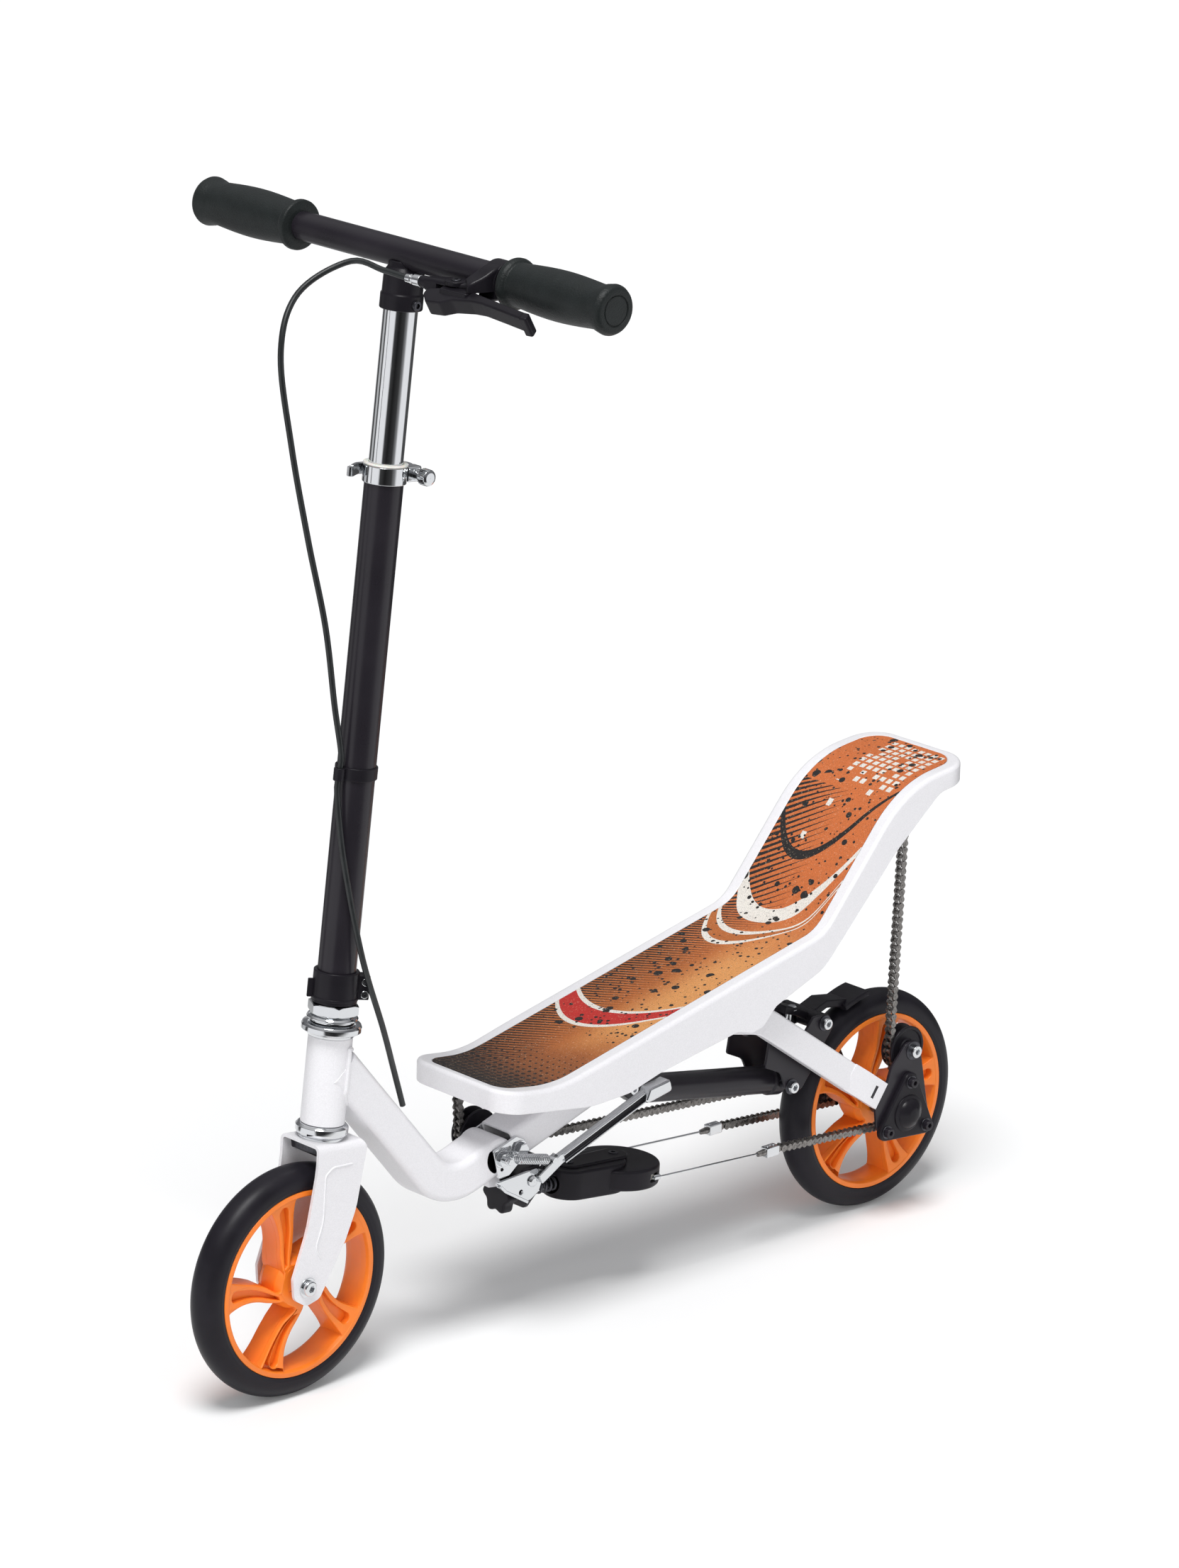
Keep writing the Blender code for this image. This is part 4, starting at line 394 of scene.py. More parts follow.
def plate(rings, low, high, soft=0.5, placed=SIDE):
    """An outline and its holes, filled, thickened from low to high and rounded along its edges."""
    soft = min(soft, (high - low) / 2.01)
    curve = bpy.data.curves.new("plate", "CURVE")
    curve.dimensions = "2D"
    curve.fill_mode = "BOTH"
    curve.extrude = ((high - low) / 2 - soft) * MM
    curve.bevel_depth = soft * MM
    curve.bevel_resolution = 2
    curve.offset = -soft * MM
    for i, ring in enumerate(rings):
        area = sum(a[0] * b[1] - b[0] * a[1] for a, b in zip(ring, ring[1:] + ring[:1]))
        ordered = ring if (area > 0) == (i > 0) else ring[::-1]
        spline = curve.splines.new("POLY")
        spline.points.add(len(ordered) - 1)
        for point, place in zip(spline.points, ordered):
            point.co = (place[0] * MM, place[1] * MM, 0, 1)
        spline.use_cyclic_u = True
    return evaluated(bpy.data.objects.new("plate", curve), placed @ shift(z=(low + high) / 2))


def evaluated(holder, placed=WORLD):
    """The mesh of an object with its modifiers, placed, welded and facing out; the object goes."""
    bpy.context.scene.collection.objects.link(holder)
    bpy.context.view_layer.update()
    mesh = bpy.data.meshes.new_from_object(holder.evaluated_get(bpy.context.evaluated_depsgraph_get()))
    bpy.data.objects.remove(holder, do_unlink=True)
    shape = bmesh.new()
    shape.from_mesh(mesh)
    return closed(shape, placed)


def block(low, high, soft=0.6, placed=WORLD):
    """Box between two corners, its edges rounded."""
    shape = bmesh.new()
    bmesh.ops.create_cube(shape, size=1.0)
    size = [(b - a) * MM for a, b in zip(low, high)]
    centre = [(a + b) / 2 * MM for a, b in zip(low, high)]
    bmesh.ops.transform(shape, verts=shape.verts, matrix=Matrix.LocRotScale(centre, None, size))
    if soft:
        bmesh.ops.bevel(shape, geom=shape.edges[:], offset=soft * MM, segments=2, profile=0.5, affect="EDGES")
    return closed(shape, placed)


def carved(mesh, cuts=(), keeps=(), soft=0.0, angle=40):
    """A mesh kept inside some others and cut by others, then rounded along its sharp edges."""
    holder = bpy.data.objects.new("carved", mesh)
    helpers = []
    for operation, meshes in (("INTERSECT", keeps), ("DIFFERENCE", cuts)):
        for other in meshes:
            helper = bpy.data.objects.new("helper", other)
            bpy.context.scene.collection.objects.link(helper)
            helpers.append(helper)
            modifier = holder.modifiers.new("Shape", "BOOLEAN")
            modifier.operation = operation
            modifier.solver = "EXACT"
            modifier.object = helper
    if soft:
        bevel = holder.modifiers.new("Edges", "BEVEL")
        bevel.width = soft * MM
        bevel.segments = 3
        bevel.limit_method = "ANGLE"
        bevel.angle_limit = math.radians(angle)
    made = evaluated(holder)
    for helper in helpers:
        bpy.data.objects.remove(helper, do_unlink=True)
    return made


def hex_bolt(placed, across, height, washer):
    """Hexagon head on a washer, standing on the frame's floor."""
    head = plate([circle(0, 0, across / math.sqrt(3), 6)], washer, washer + height, 0.5, placed)
    return [head, rod(across * 0.72, 0, washer, placed)]


def socket_bolt(placed, radius, height, key=0.55, soft=0.7):
    """Round head with a hexagon socket."""
    head = turned([(0, height), (radius, height, soft), (radius, 0, 0.2), (0, 0)], placed, 0)
    return carved(head, cuts=[plate([circle(0, 0, radius * key, 6)], height * 0.45, height + 2, 0, placed)])


def finished(finish, *meshes):
    """Meshes, each paired with the finish they share."""
    return [(mesh, finish) for mesh in meshes]


def piece(name, rides, stands_for, shapes, angle=38.0, final=False):
    """Merges shapes and their finishes into one piece that rides on a body and stands for some nodes."""
    whole = bmesh.new()
    finishes = []
    for mesh, finish in shapes:
        before = len(whole.faces)
        whole.from_mesh(mesh)
        whole.faces.ensure_lookup_table()
        if finish not in finishes:
            finishes.append(finish)
        for face in whole.faces[before:]:
            face.material_index = finishes.index(finish)
        bpy.data.meshes.remove(mesh)
    mesh = bpy.data.meshes.new(name)
    whole.to_mesh(mesh)
    whole.free()
    for finish in finishes:
        mesh.materials.append(material(finish))
    mesh.shade_smooth()
    mesh.set_sharp_from_angle(angle=math.radians(angle))
    obj = bpy.data.objects.new(name, mesh)
    bpy.context.scene.collection.objects.link(obj)
    if not final:
        weighted = obj.modifiers.new("Flat faces stay flat", "WEIGHTED_NORMAL")
        weighted.keep_sharp = True
        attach(obj, rides)
    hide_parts(*stands_for)
    return obj


# Colours and sizes that a user may change


def linear(code):
    """The linear values of an sRGB hex colour."""
    shares = (int(code[i : i + 2], 16) / 255 for i in (0, 2, 4))
    return tuple(c / 12.92 if c <= 0.04045 else ((c + 0.055) / 1.055) ** 2.4 for c in shares)


def colour(name, description, code):
    """A property that holds a colour, from its sRGB hex code."""
    return FloatVectorProperty(
        name=name, description=description, default=linear(code), subtype="COLOR", size=3, min=0.0, max=1.0
    )


def length(name, description, default, least, most):
    """A property that holds a length in metres."""
    return FloatProperty(
        name=name, description=description, default=default, min=least, max=most, unit="LENGTH"
    )


class ScooterColours(PropertyGroup):
    """Colours of the scooter's finishes."""

    frame_white: colour("Frame white", "Powder coat of the beams, fork, stays and deck", "e6e5e8")
    stem_black: colour("Stem black", "Gloss coat of the stem, bar, hub plates and brackets", "221f25")
    plastic_black: colour("Plastic black", "Moulded clamps, housing and pulleys", "1b191e")
    rim_orange: colour("Rim orange", "Moulded wheel rims", "f27e24")
    tyre_black: colour("Tyre black", "Solid tyres", "1b191f")
    grip_black: colour("Grip black", "Handlebar grips", "171c1c")
    mat_nose: colour("Mat nose", "Print on the mat's front end", "3b332d")
    mat_middle: colour("Mat middle", "Print on the mat's middle", "b96a35")
    mat_tail: colour("Mat tail", "Print on the mat's raised tail", "d0713c")
    mat_accent: colour("Mat accent", "Red sweep in the print", "c2312c")


class ScooterSizes(PropertyGroup):
    """Sizes of the finishing detail."""

    edge_round: length("Edge rounding", "Radius on the edges of sheets and plates", 0.0008, 0.0002, 0.002)
    weld_bead: length("Weld bead", "Radius of the weld beads", 0.0022, 0.0005, 0.004)
    peel: length("Paint ripple", "Depth of the ripple in the powder coat", 0.000012, 0.0, 0.0001)
    grit: length("Mat grit", "Height of the grit on the deck mat", 0.00022, 0.0, 0.001)
    grip_pebble: length("Grip pebbling", "Depth of the pebbled skin on the grips", 0.00025, 0.0, 0.001)


# Materials


def put(tree, kind, inputs=None, **settings):
    """Adds a node with its settings; an input is a value, a socket or a node whose first output is linked."""
    made = tree.nodes.new("ShaderNode" + kind)
    for key, value in settings.items():
        setattr(made, key, value)
    for key, value in (inputs or {}).items():
        source = value.outputs[0] if isinstance(value, bpy.types.Node) else value
        if isinstance(source, bpy.types.NodeSocket):
            tree.links.new(source, made.inputs[key])
        else:
            made.inputs[key].default_value = value
    return made


def shaded(name, base, roughness, **sockets):
    """A material whose shader's own sockets hold its base colour, roughness and other values."""
    made = bpy.data.materials.new(name)
    made.use_nodes = True
    shader = made.node_tree.nodes["Principled BSDF"]
    values = {"Base Color": (*base, 1.0), "Roughness": roughness}
    values.update({key.replace("_", " "): value for key, value in sockets.items()})
    for key, value in values.items():
        shader.inputs[key].default_value = value
    made.diffuse_color = (*base, 1.0)
    return made, made.node_tree, shader


def spot(tree):
    """Place on the object, in metres, so that patterns keep their real size."""
    return put(tree, "TexCoord").outputs["Object"]


def raised(tree, shader, height, depth):
    """Leads a height pattern into the shader as a bump of a real depth in metres."""
    bump = put(tree, "Bump", {"Height": height, "Distance": depth, "Strength": 1.0})
    tree.links.new(bump.outputs["Normal"], shader.inputs["Normal"])


def grained(tree, shader, size, detail, depth):
    """Raises a grain of a real size and depth, in metres, on the surface."""
    grain = put(tree, "TexNoise", {"Vector": spot(tree), "Scale": 1 / size, "Detail": detail})
    raised(tree, shader, grain, depth)


def blended(tree, share, first, second):
    """Colour that goes from the first to the second, each a colour or a socket, with a share from 0 to 1."""
    ends = [end if isinstance(end, bpy.types.NodeSocket) else (*end, 1) for end in (first, second)]
    mix = put(tree, "Mix", {0: share, 6: ends[0], 7: ends[1]}, data_type="RGBA")
    return mix.outputs[2]


def toned(base, factor):
    """A colour made darker or brighter by a factor."""
    return tuple(min(1.0, c * factor) for c in base)


def varied(tree, shader, base, factors, size, roughness=None, detail=3.0):
    """Lets the colour drift between two tones, and the roughness between two values, over a real size."""
    cloud = put(tree, "TexNoise", {"Vector": spot(tree), "Scale": 1 / size, "Detail": detail})
    share = put(tree, "MapRange", {0: cloud, 1: 0.35, 2: 0.65})
    drift = blended(tree, share, *(toned(base, factor) for factor in factors))
    tree.links.new(drift, shader.inputs["Base Color"])
    if roughness:
        rough = put(tree, "MapRange", {0: cloud, 1: 0.3, 2: 0.7, 3: roughness[0], 4: roughness[1]})
        tree.links.new(rough.outputs[0], shader.inputs["Roughness"])


def surfaced(name, base, roughness, drift, grain=None, **sockets):
    """A material whose tone drifts over its surface, with a raised grain where one is given."""
    made, tree, shader = shaded(name, base, roughness, **sockets)
    varied(tree, shader, base, *drift)
    if grain:
        grained(tree, shader, *grain)
    return made


def white_powder_coat(colours, sizes):
    """Pearl powder coat on steel: satin, a faint ripple where the powder flowed, fine bright flakes."""
    base = colours.frame_white
    made, tree, shader = shaded(
        "white pearl powder coated steel", base, 0.38,
        Coat_Weight=0.3, Coat_Roughness=0.25, Specular_IOR_Level=0.5,
    )
    # Flakes are about 0.1 mm across; drawn at 0.8 mm so that they show as the sparkle the deck has
    flake = put(tree, "TexVoronoi", {"Vector": spot(tree), "Scale": 1 / 0.0008})
    level = put(tree, "MapRange", {0: flake.outputs["Color"], 1: 0.1, 2: 0.9})
    tree.links.new(blended(tree, level, toned(base, 0.95), toned(base, 1.03)), shader.inputs["Base Color"])
    grained(tree, shader, 0.0022, 1.0, sizes.peel)
    return made


def black_gloss_coat(colours, sizes):
    """Black enamel baked on steel: deep, glossy, with the same faint ripple."""
    return surfaced(
        "black baked enamel on steel", colours.stem_black, 0.34, ((0.9, 1.12), 0.06, (0.26, 0.36)),
        (0.003, 1.0, sizes.peel), Specular_IOR_Level=0.27, Coat_Weight=0.12, Coat_Roughness=0.2,
    )


def black_plastic(colours, sizes):
    """Injection moulded ABS with a spark eroded grain: matt, slightly uneven."""
    # The mould's grain is about 0.1 mm; drawn at 0.5 mm so that it breaks up the highlight in the render
    return surfaced(
        "black moulded abs", colours.plastic_black, 0.36, ((0.88, 1.15), 0.03, (0.28, 0.38)),
        (0.0005, 2.0, 0.00003), Specular_IOR_Level=0.18,
    )


def orange_nylon(colours, sizes):
    """Injection moulded nylon, coloured in the mass: light enters it a little, with soft broad highlights."""
    return surfaced(
        "orange moulded nylon", colours.rim_orange, 0.38, ((0.95, 1.05), 0.025, (0.34, 0.44)),
        (0.0009, 2.0, 0.00002), Subsurface_Weight=0.08, Subsurface_Scale=0.002, Specular_IOR_Level=0.5,
    )


def tyre_rubber(colours, sizes):
    """Cast polyurethane tyre: smooth, nearly black, a touch of dust that dulls it in patches."""
    return surfaced(
        "black cast polyurethane", colours.tyre_black, 0.46, ((0.9, 1.15), 0.02, (0.36, 0.46), 6.0),
        (0.0012, 3.0, 0.00003), Specular_IOR_Level=0.2,
    )


def grip_rubber(colours, sizes):
    """Moulded thermoplastic rubber with a pebbled skin, as on a leather: matt with small soft glints."""
    base = colours.grip_black
    made, tree, shader = shaded("black pebbled rubber", base, 0.5, Specular_IOR_Level=0.3, Sheen_Weight=0.04)
    varied(tree, shader, base, (0.9, 1.15), 0.01)
    # Pebbles are about 1 mm apart on the real grip; 1.3 mm here so that they survive the render's pixels
    pebble = put(tree, "TexVoronoi", {"Vector": spot(tree), "Scale": 1 / 0.0013}, feature="SMOOTH_F1")
    raised(tree, shader, pebble, sizes.grip_pebble)
    return made


def chrome(colours, sizes):
    """Chrome plated steel, polished before plating: a mirror with the slightest haze."""
    made, tree, shader = shaded("polished chrome plated steel", linear("dcdee0"), 0.09, Metallic=1.0)
    haze = put(tree, "TexNoise", {"Vector": spot(tree), "Scale": 1 / 0.008, "Detail": 4.0})
    rough = put(tree, "MapRange", {0: haze, 1: 0.3, 2: 0.7, 3: 0.05, 4: 0.14})
    tree.links.new(rough.outputs[0], shader.inputs["Roughness"])
    return made


def dark_steel(colours, sizes):
    """Blackened steel of axle nuts and springs: dull grey metal, unevenly dark."""
    drift = ((0.7, 1.25), 0.004, (0.32, 0.5), 5.0)
    return surfaced("blackened steel", linear("55555a"), 0.4, drift, Metallic=1.0)


def chain_steel(colours, sizes):
    """Oiled roller chain steel: dark brown grey metal with grease in patches."""
    drift = ((0.6, 1.25), 0.003, (0.26, 0.5), 4.0)
    return surfaced("oiled chain steel", linear("8b8885"), 0.34, drift, Metallic=0.9)


def white_nylon(colours, sizes):
    """Natural nylon of the height bush: milky and matt."""
    return surfaced(
        "natural moulded nylon", linear("e4e2dc"), 0.45, ((0.96, 1.02), 0.006),
        Subsurface_Weight=0.2, Subsurface_Scale=0.002,
    )


def cable_cover(colours, sizes):
    """Extruded vinyl over the brake cable: black, smooth, with a long soft highlight."""
    return surfaced("black extruded vinyl", linear("1d2021"), 0.34, ((0.9, 1.2), 0.012, (0.3, 0.42)))


def printed_mat(colours, sizes):
    """Printed grit tape: mineral grains under ink, matt with scattered glints, in a plain sporty print."""
    nose, middle, tail = colours.mat_nose, colours.mat_middle, colours.mat_tail
    made, tree, shader = shaded("printed grit tape", middle, 0.8, Specular_IOR_Level=0.35)
    where = spot(tree)
    parts = put(tree, "SeparateXYZ", {0: where})
    x, y = parts.outputs[0], parts.outputs[1]

    def within(value, low, high):
        """1 where a value lies between two limits."""
        return put(tree, "Math", {0: value, 1: (low + high) / 2, 2: (high - low) / 2}, operation="COMPARE")

    def both(a, b):
        """1 where both shares are."""
        return put(tree, "Math", {0: a, 1: b}, operation="MULTIPLY")

    cloud = put(tree, "TexNoise", {"Vector": where, "Scale": 1 / 0.05, "Detail": 3.0})
    drift = put(tree, "MapRange", {0: cloud, 3: -0.03, 4: 0.03})
    along = put(tree, "Math", {0: x, 1: drift}, operation="ADD")
    front = put(tree, "MapRange", {0: along, 1: 0.15, 2: 0.0}, interpolation_type="SMOOTHSTEP")
    back = put(tree, "MapRange", {0: along, 1: -0.10, 2: -0.27}, interpolation_type="SMOOTHSTEP")
    ink = blended(tree, back, blended(tree, front, nose, middle), tail)
    black, white, red = linear("242222"), linear("e9e4dc"), colours.mat_accent

    # Painted highlight: a warm pale patch along the left half of the middle, where the light catches the mat
    glow = put(tree, "MapRange", {0: y, 1: -0.005, 2: 0.035}, interpolation_type="SMOOTHSTEP")
    reach = put(tree, "MapRange", {0: along, 1: -0.235, 2: -0.12}, interpolation_type="SMOOTHSTEP")
    rest = put(tree, "MapRange", {0: along, 1: 0.06, 2: -0.02}, interpolation_type="SMOOTHSTEP")
    ink = blended(tree, both(both(glow, both(reach, rest)), 0.75), ink, linear("e9a866"))
    # Fine slanted lines, 4.4 mm apart, that thin out from the right edge to the middle
    slant = put(tree, "Math", {0: y, 1: 0.45, 2: x}, operation="MULTIPLY_ADD")
    step = put(tree, "Math", {0: slant, 1: 1 / 0.0044}, operation="MULTIPLY")
    part = put(tree, "Math", {0: step}, operation="FRACT")
    weight = put(tree, "MapRange", {0: y, 1: -0.046, 2: 0.008, 3: 0.56, 4: 0.0})
    line = both(put(tree, "Math", {0: part, 1: weight}, operation="LESS_THAN"), within(x, -0.30, 0.12))
    ink = blended(tree, line, ink, black)
    # Round dots on a 7 mm grid that grow towards the nose
    grid = put(
        tree, "TexVoronoi", {"Vector": where, "Scale": 1 / 0.007, "Randomness": 0.0}, voronoi_dimensions="2D"
    )
    size = put(tree, "MapRange", {0: along, 1: 0.04, 2: 0.14, 3: 0.0, 4: 0.5})
    dot = put(tree, "Math", {0: grid.outputs["Distance"], 1: size}, operation="LESS_THAN")
    ink = blended(tree, both(dot, within(x, 0.02, 0.2)), ink, black)
    # Bowed sweeps across the mat: a red one edged in white in front, white ones where the deck rises
    bow = put(tree, "Math", {0: y, 1: 0.012}, operation="ADD")
    bow = put(tree, "Math", {0: bow, 1: bow}, operation="MULTIPLY")
    for pull, low, high, taper, paint in (
        (11.0, -0.020, 0.014, 0.30, white), (11.0, -0.015, 0.009, 0.34, red),
        (20.0, -0.178, -0.150, 0.75, white), (20.0, -0.171, -0.157, 0.8, middle),
        (15.0, -0.215, -0.196, 0.6, white), (15.0, -0.255, -0.249, 0.0, black),
    ):
        half = (high - low) / 2
        curve = put(tree, "Math", {0: bow, 1: pull, 2: x}, operation="MULTIPLY_ADD")
        off = put(tree, "Math", {0: curve, 1: (low + high) / 2}, operation="SUBTRACT")
        off = put(tree, "Math", {0: off}, operation="ABSOLUTE")
        narrowed = put(tree, "MapRange", {0: bow, 1: 0.0, 2: 0.0030, 3: half, 4: half * (1 - taper)})
        ink = blended(tree, put(tree, "Math", {0: off, 1: narrowed}, operation="LESS_THAN"), ink, paint)
    # White squares on an 8 mm grid towards the tail, some left out
    cell = put(
        tree, "TexVoronoi", {"Vector": where, "Scale": 1 / 0.008, "Randomness": 0.0},
        voronoi_dimensions="2D", distance="CHEBYCHEV",
    )
    square = put(tree, "Math", {0: cell.outputs["Distance"], 1: 0.33}, operation="LESS_THAN")
    kept = put(tree, "TexNoise", {"Vector": cell.outputs["Position"], "Scale": 90.0})
    edge = put(tree, "MapRange", {0: x, 1: -0.27, 2: -0.34, 3: 0.72, 4: 0.38})
    kept = put(tree, "Math", {0: kept, 1: edge}, operation="GREATER_THAN")
    square = both(both(square, kept), both(within(x, -0.379, -0.262), within(y, -0.02, 0.044)))
    ink = blended(tree, square, ink, white)
    # Ink spatter: drops of up to 5 mm, and fine ones between them
    for cell_size, gate, growth in ((0.0105, 0.42, 0.9), (0.0045, 0.47, 1.0)):
        drops = put(tree, "TexVoronoi", {"Vector": where, "Scale": 1 / cell_size})
        drop = put(
            tree, "Math", {0: drops.outputs["Color"], 1: growth, 2: -gate * growth}, operation="MULTIPLY_ADD"
        )
        splash = put(tree, "Math", {0: drops.outputs["Distance"], 1: drop}, operation="LESS_THAN")
        ink = blended(tree, both(splash, within(x, -0.4, 0.02)), ink, black)
    # Grains are about 0.3 mm across; drawn at 0.9 mm so that the grit shows
    grain = put(tree, "TexVoronoi", {"Vector": where, "Scale": 1 / 0.0009})
    glint = put(tree, "MapRange", {0: grain.outputs["Color"], 1: 0.80, 2: 1.0, 3: 0.0, 4: 0.35})
    shade = put(tree, "MapRange", {0: grain.outputs["Distance"], 1: 0.2, 2: 0.9, 3: 0.0, 4: 0.35})
    ink = blended(tree, glint, blended(tree, shade, ink, black), linear("e8cfae"))
    tree.links.new(ink, shader.inputs["Base Color"])
    raised(tree, shader, grain.outputs["Distance"], sizes.grit)
    return made


# For each finish, the function that makes its material from the colours and sizes, and its slot
MAKERS = {
    "white": (white_powder_coat, "white_paint"),
    "black": (black_gloss_coat, "black_paint"),
    "plastic": (black_plastic, "black_plastic"),
    "orange": (orange_nylon, "orange_plastic"),
    "tyre": (tyre_rubber, "tyre_rubber"),
    "grip": (grip_rubber, "grip_rubber"),
    "chrome": (chrome, "chrome"),
    "steel": (dark_steel, "dark_steel"),
    "chain": (chain_steel, "chain_steel"),
    "nylon": (white_nylon, "white_plastic"),
    "mat": (printed_mat, "grit_mat"),
    "cable": (cable_cover, "cable_cover"),
}
MADE = {}


def material(finish):
    """The material of a finish, made once."""
    if finish not in MADE:
        scene = bpy.context.scene
        MADE[finish] = MAKERS[finish][0](scene.scooter_colours, scene.scooter_sizes)
    return MADE[finish]


# Wheels


SPOKES = 5
SPOKE_STEP = 360 / SPOKES
SPOKE_TOP, SPOKE_FOOT = 75.5, 20.8


def spoke_angle(r, start):
    """Middle of a spoke at a radius: straight near the rim, swept back towards the hub."""
    return math.radians(start - 25 * min(max(0.0, (72 - r) / 50), 1.0) ** 4)


def spoke_half_width(r):
    """Half the width of a spoke at a radius: it grows towards the rim."""
    outward = max(0.0, (r - 34) / 41.5)
    return 7 + 6.5 * outward**2.2 - 7 * max(0.0, (34 - r) / 34)


def window(start):
    """Opening between one spoke and the next, with rounded corners."""
    low, high = [], []
    for k in range(17):
        r = SPOKE_TOP - k * (SPOKE_TOP - SPOKE_FOOT) / 16
        half = math.asin(min(0.98, spoke_half_width(r) / r))
        low.append(polar(r, spoke_angle(r, start) + half))
        high.append(polar(r, spoke_angle(r, start + SPOKE_STEP) - half))
    first = math.atan2(*low[0][::-1])
    last = first + (math.atan2(*high[0][::-1]) - first) % (2 * math.pi)
    arc = [polar(SPOKE_TOP, first + (last - first) * k / 12) for k in range(1, 12)]
    ring = low[::-1] + arc + high
    corners = {0: 1.5, len(low) - 1: 4.0, len(low) + len(arc): 4.0, len(ring) - 1: 1.5}
    return rounded([(*point, corners.get(i, 0)) for i, point in enumerate(ring)], step=18)


def groove(start):
    """Long pocket in a spoke's face: round and wide by the rim, narrow by the hub."""
    low, high = [], []
    for r in (68, 62, 56, 50, 44, 38, 33, 28, 25, 22.5):
        half = 10 * (0.15 + 0.35 * (r - 22) / 50)
        low.append(polar(r, spoke_angle(r, start) - math.asin(half / r)))
        high.append(polar(r, spoke_angle(r, start) + math.asin(half / r)))
    angles = (math.pi * k / 8 for k in range(1, 8))
    tip = [polar(68 + 4.2 * math.sin(a), spoke_angle(70, start) + 4.6 * math.cos(a) / 68) for a in angles]
    return tip + low + high[::-1]


def rim_shapes(x, turned_by):
    """Moulded rim of dished, pocketed spokes, with a bearing on each side of its hub."""
    place, axis = shift(x, 0, WHEEL_R) @ SIDE @ turn(turned_by, "Z"), along_y(x, WHEEL_R)
    starts = [4.4 + SPOKE_STEP * k for k in range(SPOKES)]
    rings = [circle(0, 0, 77, 120), *[window(start) for start in starts]]
    shapes = finished("orange", plate(rings, -6.6, 6.6, 0.0, place))
    for side in (-1, 1):
        low, high = sorted((side * 6.0, side * 11.8))
        face = plate([*rings, *[groove(start) for start in starts]], low, high, 1.1, place)
        for vertex in face.vertices:
            r = math.hypot(vertex.co.x / MM - x, vertex.co.z / MM - WHEEL_R)
            if abs(vertex.co.y) > 8 * MM:
                vertex.co.y += side * MM * (2.6 * max(0, (r - 52) / 24) ** 2 + 2.4 * max(0, (36 - r) / 16))
        shapes += finished("orange", face)
    seat = [(80.5, 14.6, 0.8), (80.5, -14.6, 0.8), (76.0, -15, 1.2), (74.8, -11.5, 1), (74.4, -6),
            (74.4, 6), (74.8, 11.5, 1), (76.0, 15, 1.2)]
    hub = [(0, 13.2), (11.5, 13.2, 0.3), (12.5, 14.4, 0.5), (19, 14.4, 1.5), (22.5, 8, 2), (22.5, -8, 2),
           (19, -14.4, 1.5), (12.5, -14.4, 0.5), (11.5, -13.2, 0.3), (0, -13.2)]
    shapes += finished("orange", turned(seat, axis, 0.3, ring=True, steps=160), turned(hub, axis, 0))
    for low, high in both_ways(12.9, 13.7):
        shapes += finished("steel", sleeve(11, 7.4, low, high, axis, 0.2))
        shapes += finished("chrome", sleeve(7.2, 4.3, low + 0.1, high - 0.1, axis, 0.2))
    return shapes


def tyre_shapes(x):
    """Solid tyre with a round tread and a flat seat on the rim's band."""
    arc = [math.radians(90 - 180 * k / 36) for k in range(1, 36)]
    tread = [(85.6 + 14.4 * math.cos(a) ** 0.92, 15 * math.sin(a), 0) for a in arc]
    section = [(80.7, 14.2, 0.6), (84, 15, 0.8), *tread, (84, -15, 0.8), (80.7, -14.2, 0.6)]
    return finished("tyre", turned(section, along_y(x, WHEEL_R), 0, ring=True, steps=180))


class SCOOTER_OT_wheels(Operator):
    """Builds both wheels with their tyres"""

    bl_idname = "scooter.wheels"
    bl_label = "Wheels"

    def execute(self, context):
        for end, x, turned_by in (("front", FRONT_AXLE_X, 0), ("rear", REAR_AXLE_X, 23.6)):
            piece(f"rim_{end}", f"{end}_wheel", [f"{end}_rim"], rim_shapes(x, turned_by))
            piece(f"tyre_{end}", f"{end}_wheel", [f"{end}_tyre"], tyre_shapes(x))
        return {"FINISHED"}


# Fork, head and stem


def fork_shapes(sizes):
    """Bent sheet with an embossed line on each leg, a crown channel, gussets and the bearing race."""
    half, inside = 24, 21
    section = [(-half, -30), (-half, 118, 6), (half, 118, 6), (half, -30), (inside, -30), (inside, 115, 3),
               (-inside, 115, 3), (-inside, -30)]
    leg = [(326.0, 225), (327.4, 198, 60), (338, 149, 60), (353, 110, 6), (351.5, 92, 8), (338.5, 83.5, 10),
           (324, 87, 8), (296.4, 131.6, 30), (285.4, 156.5, 40), (274, 207.8, 5), (281, 225)]
    dents = []
    for side in (-1, 1):
        for forward in (-9, 9):
            dent = STEER @ shift(forward, side * 24.6, 118.6) @ turn(-45 * side, "X") @ turn(90, "X")
            dents.append(rod(2.2, -6, 6, dent, 0.8))
    sheet = carved(
        plate([rounded(section, 0, 10)], -60, 60, 0, ACROSS),
        keeps=[plate([rounded(leg)], -60, 60, 0)],
        cuts=[rod(4.2, -60, 60, along_y(FRONT_AXLE_X, WHEEL_R), 0), *dents],
        soft=sizes.edge_round / MM,
    )
    shapes = finished("white", sheet)
    line = [(290.4, 196.9), (310.4, 198.3, 6), (319, 193, 6), (321, 152.8, 40), (329.3, 131.9, 12),
            (323.4, 122.3)]
    route = rounded([*line, (323, 122), (290, 196.5)], 0, 12)[:-2]
    for side in (-1, 1):
        shapes += finished("white", tube([(x, side * (half - 0.35), z) for x, z in route], 1.1, sides=10))
    # Crown channel in dark steel: partly a guessed steel insert, partly painted shade for the crown's shaded
    # opening
    channel = rounded([(-12, 104), (12, 104), (14, 114.5), (-14, 114.5)], 3)
    shapes += finished("steel", plate([channel], -inside - 0.5, inside + 0.5, 0.6, STEER @ turn(90, "X")))
    race = [(14, 122.5), (17.5, 121.4, 0.6), (19, 120, 0.6), (19, 117.5), (14, 117.5)]
    shapes += finished("chrome", turned(race, STEER, 0.2, ring=True))
    return shapes + finished("steel", rod(14, 118, 290, STEER))


